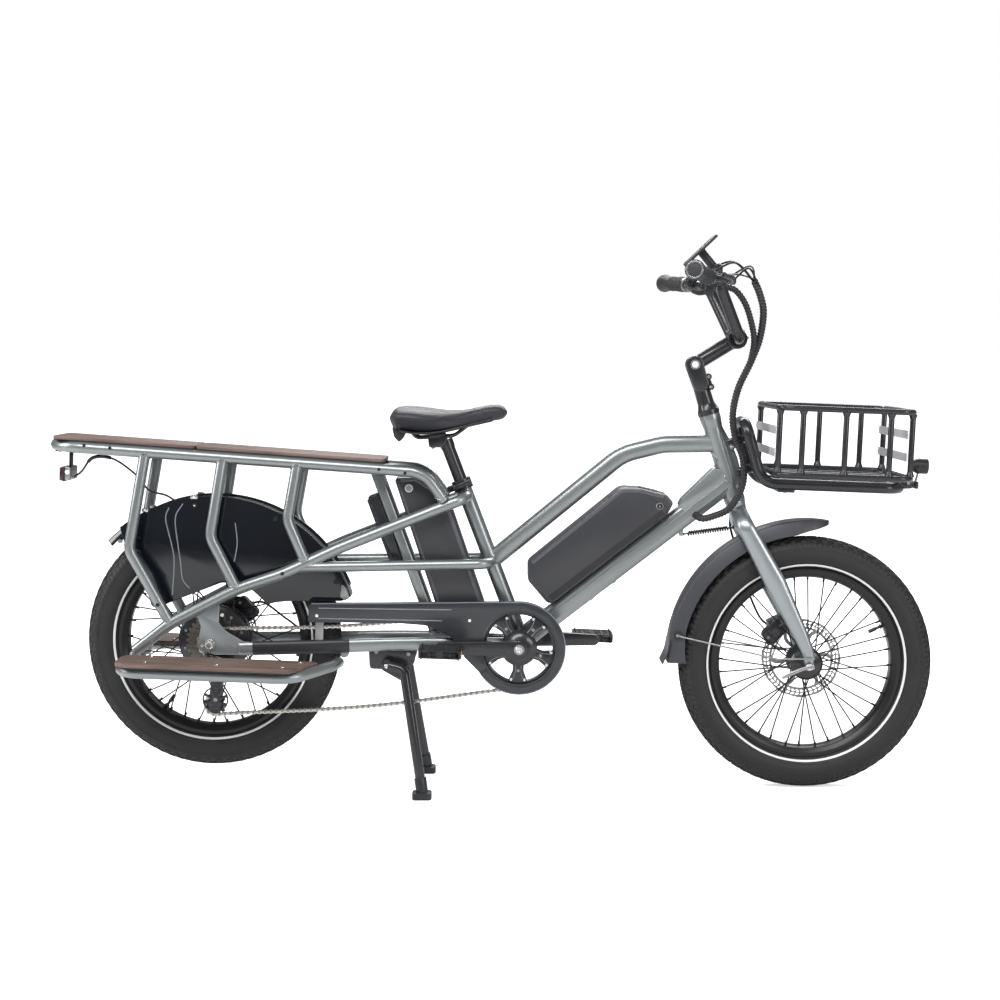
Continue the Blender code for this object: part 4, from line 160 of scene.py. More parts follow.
def bent(corners, radii, step=7.0, closed=False):
    """Straight runs joined by arcs.

    An arc of radius r starts r tan(turn / 2) before its corner and turns from one run's way to the next.
    """
    corners = np.asarray(corners, float)
    count = len(corners)
    radii = np.broadcast_to(radii, count)
    rows = []
    for i in range(count):
        corner = corners[i]
        before, after = corners[i - 1] - corner, corners[(i + 1) % count] - corner
        come, leave = -unit(before), unit(after)
        turn = math.acos(float(np.clip(come @ leave, -1, 1)))
        if not closed and i in (0, count - 1) or radii[i] == 0 or turn < 0.01:
            rows.append(corner[None])
            continue
        back = min(radii[i] * math.tan(turn / 2), 0.49 * np.linalg.norm(before),
            0.49 * np.linalg.norm(after))
        radius = back / math.tan(turn / 2)
        inward = unit(leave - come * (come @ leave))
        a = np.linspace(0, turn, max(2, round(math.degrees(turn) / step)) + 1)[:, None]
        rows.append(corner - come * back + come * (radius * np.sin(a)) + inward
            * (radius * (1 - np.cos(a))))
    return np.concatenate(rows)


def through(points, per_span=8):
    """A smooth curve through the points: each span is a cubic along the chords of its neighbours."""
    p = np.asarray(points, float)
    p = np.concatenate([2 * p[:1] - p[1:2], p, 2 * p[-1:] - p[-2:-1]])
    a, b, c, d = (p[i:len(p) - 3 + i, None] for i in range(4))
    t = (np.arange(per_span) / per_span)[None, :, None]
    cubic = (2 * b + (c - a) * t + (2 * a - 5 * b + 4 * c - d) * t**2 + (3 * b - a - 3 * c + d) * t**3) / 2
    return np.concatenate([cubic.reshape(-1, p.shape[1]), p[-2:-1]])


def oblong(x0, y0, x1, y1):
    """The four corners of a rectangle."""
    return [(x0, y0), (x1, y0), (x1, y1), (x0, y1)]


def rounded(outline, radius, step=15.0):
    """A closed flat outline with its corners rounded."""
    flat = np.asarray(outline, float)
    return bent(flat, radius, step, closed=True)


def circle(radius, sides, centre=(0, 0)):
    """centre + radius (cos a, sin a) at evenly spaced angles."""
    a = 2 * np.pi * np.arange(sides) / sides
    return np.stack([centre[0] + radius * np.cos(a), centre[1] + radius * np.sin(a)], 1)


def arc(centre, radius, first, last, steps):
    """centre + radius (cos a, sin a) from the first angle to the last, in degrees."""
    a = np.radians(np.linspace(first, last, steps + 1))
    return np.stack([centre[0] + radius * np.cos(a), centre[1] + radius * np.sin(a)], 1)


def capsule(a, radius_a, b, radius_b, steps=12):
    """The outline of two circles and the straight sides that touch both."""
    along = math.degrees(math.atan2(b[1] - a[1], b[0] - a[0]))
    lean = math.degrees(math.acos((radius_a - radius_b) / math.hypot(b[0] - a[0], b[1] - a[1])))
    return np.concatenate([arc(b, radius_b, along - lean, along + lean, steps),
        arc(a, radius_a, along + lean, along + 360 - lean, steps)])


def inset(outline, depth):
    """Each point moves inwards along the mean of its two edge normals, so that every edge moves by depth."""
    come, leave = outline - np.roll(outline, 1, 0), np.roll(outline, -1, 0) - outline
    n0, n1 = (unit(np.stack([e[:, 1], -e[:, 0]], 1)) for e in (come, leave))
    area = np.sum(outline[:, 0] * np.roll(outline[:, 1], -1) - np.roll(outline[:, 0], -1) * outline[:, 1])
    miter = (n0 + n1) / np.maximum(1 + np.sum(n0 * n1, 1, keepdims=True), 0.3)
    return outline - miter * (depth * math.copysign(1, area))


# Surfaces, each a pair: points (n, 3) and lists of faces (m, corners)


def outward(points, faces):
    """The same closed surface with its faces turned outwards, by the sign of the volume they enclose."""
    middle = points.mean(0)
    volume = 0.0
    for group in faces:
        p = points[group] - middle
        for k in range(1, group.shape[1] - 1):
            volume += np.einsum("ij,ij->", p[:, 0], np.cross(p[:, k], p[:, k + 1]))
    if volume < 0:
        faces = [group[:, ::-1] for group in faces]
    return points, faces


def sheet_of(rows, close_rows=False):
    """A closed surface through rows of points (rows, columns, 3), whose columns close.

    A row whose points coincide becomes a pole. An open end row becomes a flat cap.
    """
    rows = np.asarray(rows, float)
    count, width = rows.shape[:2]
    flat = rows.reshape(-1, 3)
    index = np.arange(count * width).reshape(count, width)
    low, high = (index[:-1], index[1:]) if not close_rows else (index, np.roll(index, -1, 0))
    quads = np.stack([low, np.roll(low, -1, 1), np.roll(high, -1, 1), high], -1)
    faces, kept = [], quads
    if not close_rows:
        for end, first in ((0, True), (count - 1, False)):
            if np.ptp(rows[end], axis=0).max() < 1e-09:
                ring = index[1] if first else index[-2]
                pole = np.full(width, index[end, 0])
                nxt = np.roll(ring, -1)
                faces.append(np.stack([pole, nxt, ring] if first else [ring, nxt, pole], -1))
                kept = kept[1:] if first else kept[:-1]
            else:
                faces.append(index[end][None, ::-1] if first else index[end][None])
    return outward(flat, [kept.reshape(-1, 4), *faces])


def directions(path, closed, side):
    """A tangent at each point of a path, and the fixed side direction made square to it."""
    if closed:
        along = np.roll(path, -1, 0) - np.roll(path, 1, 0)
    else:
        along = np.gradient(path, axis=0)
    tangent = unit(along)
    across = side - tangent * (tangent @ side)[:, None]
    return tangent, unit(across)


def section(sides, power=2.0):
    """Points of the curve |u|^power + |v|^power = 1, which is a circle for power 2 and squarer above it."""
    t = 2 * np.pi * (np.arange(sides) + 0.5) / sides
    c, s = np.cos(t), np.sin(t)
    return np.stack([np.sign(c) * np.abs(c)**(2 / power), np.sign(s) * np.abs(s)**(2 / power)], 1)


def tube(path, half, sides=20, closed=False, side=Y, power=2.0, fillet=0.8, shape=None):
    """A section swept along a path: point(s, t) = path(s) + a(s) u(t) side + b(s) v(t) (tangent x side).

    half is one radius, (a, b), or one row of them for each path point. The end edges are rounded by fillet.
    """
    path, side = np.asarray(path, float), np.asarray(side, float)
    tangent, across = directions(path, closed, side)
    size = np.asarray(half, float)
    if size.ndim == 0:
        size = np.broadcast_to(size, (len(path), 2))
    elif size.ndim == 1:
        size = np.broadcast_to(size, (len(path), 2)) if size.shape == (2,) else np.stack([size, size], 1)
    if not closed:
        phi = np.radians((90, 60, 30))
        back, shrink = fillet * (1 - np.sin(phi)), fillet * (1 - np.cos(phi))
        least = size.min()
        shrink = np.minimum(shrink, least * 0.999)[:, None]
        start = path[0] + tangent[0] * back[:, None]
        end = path[-1] - tangent[-1] * back[::-1, None]
        inner = path.copy()
        inner[0] = path[0] + tangent[0] * fillet
        inner[-1] = path[-1] - tangent[-1] * fillet
        path = np.concatenate([path[:1], start, inner, end, path[-1:]])
        zero = np.zeros((1, 2))
        size = np.concatenate([zero, size[:1] - shrink, size, size[-1:] - shrink[::-1], zero])
        tangent = np.concatenate([np.repeat(tangent[:1], 4, 0), tangent, np.repeat(tangent[-1:], 4, 0)])
        across = np.concatenate([np.repeat(across[:1], 4, 0), across, np.repeat(across[-1:], 4, 0)])
    other = np.cross(tangent, across)
    uv = section(sides, power) if shape is None else np.asarray(shape, float)
    rows = path[:, None] + across[:, None] * (size[:, :1] * uv[:, 0])[..., None]
    rows = rows + other[:, None] * (size[:, 1:] * uv[:, 1])[..., None]
    return sheet_of(rows, closed)


def rod(a, b, radius, sides=14, fillet=0.6):
    """A round bar from a to b."""
    a, b = np.asarray(a, float), np.asarray(b, float)
    side = Y if abs(unit(b - a)[1]) < 0.9 else X
    return tube([a, b], radius, sides, side=side, fillet=fillet)


def basis(axis):
    """A unit axis and two directions square to it and to each other."""
    axis = unit(axis)
    start = X if abs(axis[0]) < 0.9 else Z
    u = unit(start - axis * (start @ axis))
    return axis, u, np.cross(axis, u)


def lathe(profile, centre, axis=Y, sides=48, ring=False, soft=0.0):
    """point(t, s) = centre + height(s) axis + radius(s) (cos t u + sin t v), profile (radius, height)."""
    profile = np.asarray(profile, float)
    if soft:
        radii = np.full(len(profile), soft)
        if not ring:
            radii[[0, -1]] = 0
        profile = bent(profile, radii, 30.0, closed=ring)
    axis, u, v = basis(axis)
    a = (2 * np.pi * np.arange(sides) / sides)[:, None]
    out = np.cos(a) * u - np.sin(a) * v
    rows = centre + profile[:, 1, None, None] * axis + profile[:, 0, None, None] * out
    return sheet_of(rows, ring)


def disc(centre, radius, low, high, axis=Y, sides=32, fillet=0.6):
    """A round plate with rounded rims, from low to high along its axis."""
    f = min(fillet, radius * 0.4, abs(high - low) * 0.4)
    profile = [(0, low), (radius - f, low), (radius, low + f), (radius, high - f), (radius - f, high),
        (0, high)]
    return lathe(profile, centre, axis, sides)


LEVEL = (np.zeros(3), X, Y)


def slab(place, low, high, bevel):
    """Origin, axes and normal of a plate's plane, the two heights in order, and the edge's radius.

    Without a place, which is an origin and two axes, the plate lies in the side view and rises along Y.
    """
    origin, u, v = place or (np.zeros(3), X, Z)
    low, high = sorted((low, high))
    return origin, u, v, unit(np.cross(u, v)) if place else Y, low, high, min(bevel, (high - low) * 0.45)


def plate(outline, low, high, bevel=0.8, place=None):
    """An outline extruded square to its plane, its edges rounded by a quarter circle of radius bevel."""
    outline = np.asarray(outline, float)
    origin, u, v, n, low, high, b = slab(place, low, high, bevel)
    steps = [(b * (1 - math.sin(a)), low + b * (1 - math.cos(a))) for a in (0, math.pi / 4, math.pi / 2)]
    steps += [(d, high - (h - low)) for d, h in steps[::-1]]
    rows = []
    for depth, height in steps:
        flat = inset(outline, depth) if depth > 1e-09 else outline
        rows.append(origin + flat[:, :1] * u + flat[:, 1:] * v + n * height)
    return sheet_of(np.stack(rows))


def washer(outer, inner, low, high, bevel=0.5, place=None):
    """A plate between two outlines of as many points each, with all four of its edges bevelled."""
    outer, inner = np.asarray(outer, float), np.asarray(inner, float)
    origin, u, v, n, low, high, b = slab(place, low, high, bevel)
    hole, face = inset(inner, -b), inset(outer, b)
    steps = [(face, low), (outer, low + b), (outer, high - b), (face, high), (hole, high),
        (inner, high - b), (inner, low + b), (hole, low)]
    rows = np.stack([origin + p[:, :1] * u + p[:, 1:] * v + n * h for p, h in steps])
    return sheet_of(rows, True)


def box(low, high, bevel=1, corner=None):
    """A block between two opposite corners, its upright edges and its rims rounded."""
    low, high = np.minimum(low, high), np.maximum(low, high)
    outline = oblong(*low[:2], *high[:2])
    corner = bevel if corner is None else corner
    return plate(rounded(outline, corner, 30.0), low[2], high[2], bevel, LEVEL)


def ball(centre, radii, rings=8, sides=12):
    """An ellipsoid: centre + radii * (cos a cos t, cos a sin t, sin a)."""
    a = np.linspace(-np.pi / 2, np.pi / 2, rings + 1)[:, None]
    t = (2 * np.pi * np.arange(sides) / sides)[None]
    rows = np.stack([np.cos(a) * np.cos(t), np.cos(a) * np.sin(t), np.sin(a) * np.ones_like(t)], -1)
    rows[[0, -1]] = rows[[0, -1], :1]
    return sheet_of(centre + rows * np.asarray(radii, float))


def bolt(place, axis, radius, height, sides=24):
    """A round screw head with a sunken six-sided socket."""
    f = radius * 0.18
    head = [(0, -height), (radius, -height), (radius, height - f), (radius - f, height),
        (radius * 0.52, height), (radius * 0.44, height * 0.35), (0, height * 0.3)]
    return lathe(head, place, axis, sides)


def nut(place, axis, radius, height):
    """A six-sided head with rounded corners."""
    _, u, v = basis(axis)
    return plate(rounded(circle(radius, 6), radius * 0.12, 30.0), -height, height, bevel=radius * 0.1,
        place=(np.asarray(place, float), u, v))


def joined(surfaces):
    """Several surfaces as one."""
    points, faces, count = [], [], 0
    for p, groups in surfaces:
        points.append(p)
        faces += [group + count for group in groups]
        count += len(p)
    return np.concatenate(points), faces


def copies(surface, turns, shifts):
    """The surface once for each 3x3 turn and shift: point = turn @ point + shift."""
    points, faces = surface
    turns, shifts = np.asarray(turns, float), np.asarray(shifts, float)
    made = np.einsum("mij,nj->mni", turns, points) + shifts[:, None]
    steps = (np.arange(len(turns)) * len(points))[:, None, None]
    return made.reshape(-1, 3), [(group[None] + steps).reshape(-1, group.shape[1]) for group in faces]


def about(axis, degrees):
    """Rotation matrices about a unit axis, one for each angle."""
    a = np.radians(np.atleast_1d(degrees).astype(float))[:, None, None]
    x, y, z = unit(axis)
    k = np.array(((0, -z, y), (z, 0, -x), (-y, x, 0)))
    return np.eye(3) + np.sin(a) * k + (1 - np.cos(a)) * (k @ k)


def ringed(surface, centre, degrees):
    """Copies of a surface, turned about a cross axis through the centre."""
    turns = about(Y, degrees)
    centre = np.asarray(centre, float)
    return copies((surface[0] - centre, surface[1]), turns, np.broadcast_to(centre, (len(turns), 3)))


def mirrored(surface):
    """The same surface on the other side of the bicycle's middle plane."""
    points, faces = surface
    return points * np.array((1, -1, 1)), [group[:, ::-1] for group in faces]


def bead(start, along, radius, other, other_along, other_radius, wire=1.7):
    """A weld bead where a round tube from start meets another: a rippled tube along the seam of the two.

    The seam point at angle t is start + radius (cos t u + sin t v) + s along, with the smaller root s of
    |that point - the other axis| = other radius.
    """
    along, other_along = unit(along), unit(other_along)
    _, u, v = basis(along)
    t = 2 * np.pi * np.arange(72) / 72
    base = start + radius * (np.cos(t)[:, None] * u + np.sin(t)[:, None] * v) - other
    flat = base - (base @ other_along)[:, None] * other_along
    lean = along - along @ other_along * other_along
    a, b, c = lean @ lean, 2 * flat @ lean, np.sum(flat * flat, 1) - other_radius**2
    s = (-b - np.sqrt(np.maximum(b * b - 4 * a * c, 0))) / (2 * a)
    path = other + base + s[:, None] * along
    ripple = wire * (1 + 0.22 * np.sin(24 * t))
    return tube(path, ripple, 8, closed=True, side=along)


def spring_wire(start, end, coil, wire, turns, straight):
    """A coil: start + length s axis + coil (cos 2 pi n s, sin 2 pi n s), drawn in at both ends."""
    start, end = np.asarray(start, float), np.asarray(end, float)
    axis, u, v = basis(end - start)
    length = np.linalg.norm(end - start) - 2 * straight
    s = np.linspace(0, 1, turns * 18 + 1)[:, None]
    ease = np.clip(np.minimum(s, 1 - s) * turns * 2.2, 0, 1)
    a = 2 * np.pi * turns * s
    middle = start + axis * (straight + length * s) + coil * ease * (np.cos(a) * u + np.sin(a) * v)
    path = np.concatenate([start[None], start[None] + axis * straight * 0.5, middle,
        end[None] - axis * straight * 0.5, end[None]])
    tangent = unit(np.gradient(path, axis=0))
    across = unit(np.cross(tangent, axis) + 1e-06 * u)
    other = np.cross(tangent, across)
    uv = section(8) * wire
    return sheet_of(path[:, None] + across[:, None] * uv[:, :1] + other[:, None] * uv[:, 1:])


def gear(radius, tip, teeth):
    """The outline of a toothed wheel: four points a tooth, on the root circle and the tip circle."""
    pitch = 2 * np.pi / teeth
    shares = np.array((-0.42, -0.13, 0.13, 0.42))
    a = (pitch * (np.arange(teeth)[:, None] + shares)).ravel()
    r = np.tile((radius, tip, tip, radius), teeth)
    return np.stack([r * np.cos(a), r * np.sin(a)], 1)


def placed(name, data):
    """An object with this data, in the scene."""
    obj = bpy.data.objects.new(name, data)
    bpy.context.scene.collection.objects.link(obj)
    return obj


class Form:
    """Closed surfaces gathered into one piece, each with its own finish."""

    def __init__(self):
        self.parts = []

    def add(self, finish, *surfaces):
        """Surfaces with one finish."""
        self.parts += [(finish, surface) for surface in surfaces]
        return self

    def both(self, finish, *surfaces):
        """The surfaces and their mirror images."""
        return self.add(finish, *surfaces, *[mirrored(s) for s in surfaces])

    def make(self, name, body, nodes, slot):
        """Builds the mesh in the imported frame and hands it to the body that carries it, if there is one."""
        points, groups, finishes, slots, count = [], [], [], [], 0
        for finish, (p, faces) in self.parts:
            if finish not in finishes:
                finishes.append(finish)
            points.append(p)
            for group in faces:
                groups.append(group + count)
                slots.append(np.full(len(group), finishes.index(finish)))
            count += len(p)
        mesh = bpy.data.meshes.new(name)
        corners = np.concatenate([group.ravel() for group in groups])
        sizes = np.concatenate([np.full(len(group), group.shape[1]) for group in groups])
        mesh.vertices.add(count)
        mesh.vertices.foreach_set("co", to_world(np.concatenate(points)).ravel())
        mesh.loops.add(len(corners))
        mesh.loops.foreach_set("vertex_index", corners)
        mesh.polygons.add(len(sizes))
        mesh.polygons.foreach_set("loop_start", np.concatenate([[0], np.cumsum(sizes)[:-1]]))
        for finish in finishes:
            mesh.materials.append(FINISHES[finish])
        mesh.polygons.foreach_set("material_index", np.concatenate(slots))
        mesh.update(calc_edges=True)
        mesh.validate()
        mesh.shade_smooth()
        mesh.set_sharp_from_angle(angle=math.radians(38))
        obj = placed(name, mesh)
        if body:
            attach(obj, body)
        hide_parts(*nodes)
        return obj


# Finishes


class Nodes:
    """Adds nodes to a tree and links them in one call."""

    def __init__(self, tree):
        self.tree = tree

    def new(self, kind, settings=None, **inputs):
        """A node with its settings, and its inputs given by name."""
        node = self.tree.nodes.new(kind)
        for key, value in (settings or {}).items():
            setattr(node, key, value)
        for key, value in inputs.items():
            self.feed(node.inputs[key.replace("_", " ")], value)
        return node

    def feed(self, socket, value):
        """A socket is linked, and a value is set."""
        if isinstance(value, bpy.types.NodeSocket):
            self.tree.links.new(value, socket)
        else:
            socket.default_value = value

    def maths(self, operation, a, b=0.0, clamp=False):
        """The outcome of a sum of two values."""
        node = self.new("ShaderNodeMath", {"operation": operation, "use_clamp": clamp})
        self.feed(node.inputs[0], a)
        self.feed(node.inputs[1], b)
        return node.outputs[0]

    def mix(self, share, a, b):
        """A colour this share of the way from the first to the second."""
        node = self.new("ShaderNodeMix", {"data_type": "RGBA"})
        self.feed(node.inputs["Factor"], share)
        self.feed(node.inputs["A"], a)
        self.feed(node.inputs["B"], b)
        return node.outputs["Result"]

    def place(self):
        """Where a point lies in its object."""
        return self.new("ShaderNodeTexCoord").outputs["Object"]

    def noise(self, place, scale, detail):
        """Soft noise at a place."""
        return self.new("ShaderNodeTexNoise", Vector=place, Scale=scale, Detail=detail).outputs["Fac"]

    def group(self, name, **inputs):
        """One of the node groups, with its inputs."""
        return self.new("ShaderNodeGroup", {"node_tree": GROUPS[name]}, **inputs)


def group_tree(name, inputs, outputs):
    """A node group with these sockets, each given as (name, kind, default)."""
    tree = bpy.data.node_groups.new(name, "ShaderNodeTree")
    for label, kind, value in inputs:
        socket = tree.interface.new_socket(label, in_out="INPUT", socket_type=kind)
        socket.default_value = value
    for label, kind in outputs:
        tree.interface.new_socket(label, in_out="OUTPUT", socket_type=kind)
    made = Nodes(tree)
    return made, made.new("NodeGroupInput"), made.new("NodeGroupOutput")


FLOAT, COLOUR = "NodeSocketFloat", "NodeSocketColor"


def speckle_group():
    """Fine grain: a colour that varies by a share, a roughness that varies with it, and a height."""
    n, come, leave = group_tree("speckle", [("Base", COLOUR, (0.5, 0.5, 0.5, 1)), ("Scale", FLOAT, 900.0),
        ("Amount", FLOAT, 0.1), ("Rough", FLOAT, 0.4), ("Spread", FLOAT, 0.05)],
        [("Colour", COLOUR), ("Roughness", FLOAT), ("Height", FLOAT)])
    place = n.place()
    fine = n.noise(place, come.outputs["Scale"], 2.0)
    broad = n.noise(place, 14.0, 3.0)
    share = n.maths("MULTIPLY", n.maths("SUBTRACT", fine, 0.5), come.outputs["Amount"])
    less = n.maths("MULTIPLY", come.outputs["Amount"], 0.6)
    slow = n.maths("MULTIPLY", n.maths("SUBTRACT", broad, 0.5), less)
    gain = n.maths("ADD", n.maths("ADD", share, slow), 1.0)
    scaled = n.new("ShaderNodeVectorMath", {"operation": "SCALE"})
    n.feed(scaled.inputs[0], come.outputs["Base"])
    n.feed(scaled.inputs["Scale"], gain)
    n.feed(leave.inputs["Colour"], scaled.outputs[0])
    rough = n.maths("MULTIPLY", n.maths("SUBTRACT", broad, 0.5), come.outputs["Spread"])
    n.feed(leave.inputs["Roughness"], n.maths("ADD", rough, come.outputs["Rough"], True))
    n.feed(leave.inputs["Height"], fine)
    return n.tree


def wear_group():
    """A mask of convex edges: the normal rounded over a small radius leaves the true normal there."""
    n, come, leave = group_tree("edge_wear", [("Radius", FLOAT, 0.0015), ("Amount", FLOAT, 0.4)],
        [("Mask", FLOAT)])
    soft = n.new("ShaderNodeBevel", {"samples": 4}, Radius=come.outputs["Radius"]).outputs["Normal"]
    true = n.new("ShaderNodeNewGeometry").outputs["True Normal"]
    dot = n.new("ShaderNodeVectorMath", {"operation": "DOT_PRODUCT"})
    n.feed(dot.inputs[0], soft)
    n.feed(dot.inputs[1], true)
    edge = n.maths("MULTIPLY", n.maths("SUBTRACT", 1.0, dot.outputs["Value"]), 6.0, True)
    place = n.place()
    patchy = n.noise(place, 60.0, 3.0)
    n.feed(leave.inputs["Mask"], n.maths("MULTIPLY", n.maths("MULTIPLY", edge, patchy),
        come.outputs["Amount"], True))
    return n.tree


def dust_group():
    """A thin veil of dust: it lies on faces that look up, and thins out with a slow noise."""
    n, come, leave = group_tree("dust", [("Base", COLOUR, (0.1, 0.1, 0.1, 1)), ("Amount", FLOAT, 0.1)],
        [("Colour", COLOUR), ("Mask", FLOAT)])
    normal = n.new("ShaderNodeNewGeometry").outputs["Normal"]
    up = n.new("ShaderNodeSeparateXYZ", Vector=normal).outputs["Z"]
    place = n.place()
    cloud = n.noise(place, 22.0, 5.0)
    facing = n.maths("MULTIPLY", n.maths("ADD", up, 0.35), 0.74, True)
    mask = n.maths("MULTIPLY", n.maths("MULTIPLY", facing, cloud), come.outputs["Amount"], True)
    n.feed(leave.inputs["Mask"], mask)
    n.feed(leave.inputs["Colour"], n.mix(mask, come.outputs["Base"], (0.33, 0.31, 0.29, 1)))
    return n.tree


def wood_group():
    """Planks cut along x: stretched noise bends fine bands, and plywood layers show on the edges."""
    n, come, leave = group_tree("wood_grain", [("Scale", FLOAT, 1.0)],
        [("Colour", COLOUR), ("Height", FLOAT)])
    place = n.place()
    squeezed = n.new("ShaderNodeMapping", Vector=place, Scale=(3.0, 46.0, 46.0))
    drift = n.new("ShaderNodeTexNoise", Vector=squeezed.outputs[0], Scale=come.outputs["Scale"], Detail=6.0)
    fine = n.new("ShaderNodeMapping", Vector=place, Scale=(14.0, 420.0, 420.0))
    pores = n.new("ShaderNodeTexNoise", Vector=fine.outputs[0], Scale=come.outputs["Scale"], Detail=3.0)
    band = n.maths("FRACT", n.maths("MULTIPLY", drift.outputs["Fac"], 5.0))
    wave = n.maths("MULTIPLY", n.maths("ABSOLUTE", n.maths("SUBTRACT", band, 0.5)), 2.0)
    tone = n.maths("ADD", n.maths("MULTIPLY", wave, 0.5), n.maths("MULTIPLY", pores.outputs["Fac"], 0.5))
    dark, light = (0.066, 0.038, 0.029, 1), (0.215, 0.14, 0.115, 1)
    n.feed(leave.inputs["Colour"], n.mix(tone, dark, light))
    n.feed(leave.inputs["Height"], pores.outputs["Fac"])
    return n.tree


def hide_group():
    """Leather grain: small cells with soft borders."""
    n, come, leave = group_tree("hide_grain", [("Scale", FLOAT, 420.0)], [("Height", FLOAT)])
    place = n.place()
    cells = n.new("ShaderNodeTexVoronoi", {"feature": "DISTANCE_TO_EDGE"}, Vector=place,
        Scale=come.outputs["Scale"]).outputs["Distance"]
    n.feed(leave.inputs["Height"], n.maths("MINIMUM", n.maths("MULTIPLY", cells, 5.0), 1.0))
    return n.tree


GROUPS = {"speckle": speckle_group(), "wear": wear_group(), "dust": dust_group(), "wood": wood_group(),
          "hide": hide_group()}


def blank(name):
    """A new material with its nodes and its shader."""
    material = bpy.data.materials.new(name)
    material.use_nodes = True
    return material, Nodes(material.node_tree), material.node_tree.nodes["Principled BSDF"]


def finish(name, colour, rough, metallic=0.0, coat=0.0, grain=900.0, amount=0.1, spread=0.08, bump=0.0,
        wear=None, worn=(0.45, 0.45, 0.44), dust=0.0, specular=0.5):
    """A painted, moulded or bare finish: grain in the colour, worn edges, dust above, and a fine bump."""
    material, n, shader = blank(name)
    speck = n.group("speckle", Base=(*colour, 1), Scale=grain, Amount=amount, Rough=rough, Spread=spread)
    tone = speck.outputs["Colour"]
    if wear:
        mask = n.group("wear", Amount=wear).outputs["Mask"]
        tone = n.mix(mask, tone, (*worn, 1))
    if dust:
        veil = n.group("dust", Base=tone, Amount=dust)
        tone = veil.outputs["Colour"]
    n.feed(shader.inputs["Base Color"], tone)
    n.feed(shader.inputs["Roughness"], speck.outputs["Roughness"])
    shader.inputs["Metallic"].default_value = metallic
    shader.inputs["Coat Weight"].default_value = coat
    shader.inputs["Coat Roughness"].default_value = 0.12
    shader.inputs["Specular IOR Level"].default_value = specular
    if bump:
        height = n.new("ShaderNodeBump", Strength=bump, Distance=0.0004, Height=speck.outputs["Height"])
        n.feed(shader.inputs["Normal"], height.outputs[0])
    return material


def wood_finish(name):
    """Oiled planks with a little dust."""
    material, n, shader = blank(name)
    grain = n.group("wood")
    veil = n.group("dust", Base=grain.outputs["Colour"], Amount=0.12)
    n.feed(shader.inputs["Base Color"], veil.outputs["Colour"])
    n.feed(shader.inputs["Normal"], n.new("ShaderNodeBump", Strength=0.25, Distance=0.0005,
        Height=grain.outputs["Height"]).outputs[0])
    shader.inputs["Roughness"].default_value = 0.55
    return material


def hide_finish(name, colour, rough):
    """Leather with fine grain in its colour and soft cells in its height."""
    material, n, shader = blank(name)
    speck = n.group("speckle", Base=(*colour, 1), Scale=300.0, Amount=0.12, Rough=rough, Spread=0.12)
    cells = n.group("hide")
    n.feed(shader.inputs["Base Color"], speck.outputs["Colour"])
    n.feed(shader.inputs["Roughness"], speck.outputs["Roughness"])
    n.feed(shader.inputs["Normal"], n.new("ShaderNodeBump", Strength=0.35, Distance=0.0006,
        Height=cells.outputs["Height"]).outputs[0])
    return material


def painted_glow(name, colour, strength):
    """A lens with a faint emission: a painted glow that stands in for light caught inside it."""
    material = finish(name, colour, 0.15, coat=0.8, amount=0.05)
    shader = material.node_tree.nodes["Principled BSDF"]
    shader.inputs["Emission Color"].default_value = (*colour, 1)
    shader.inputs["Emission Strength"].default_value = strength
    return material


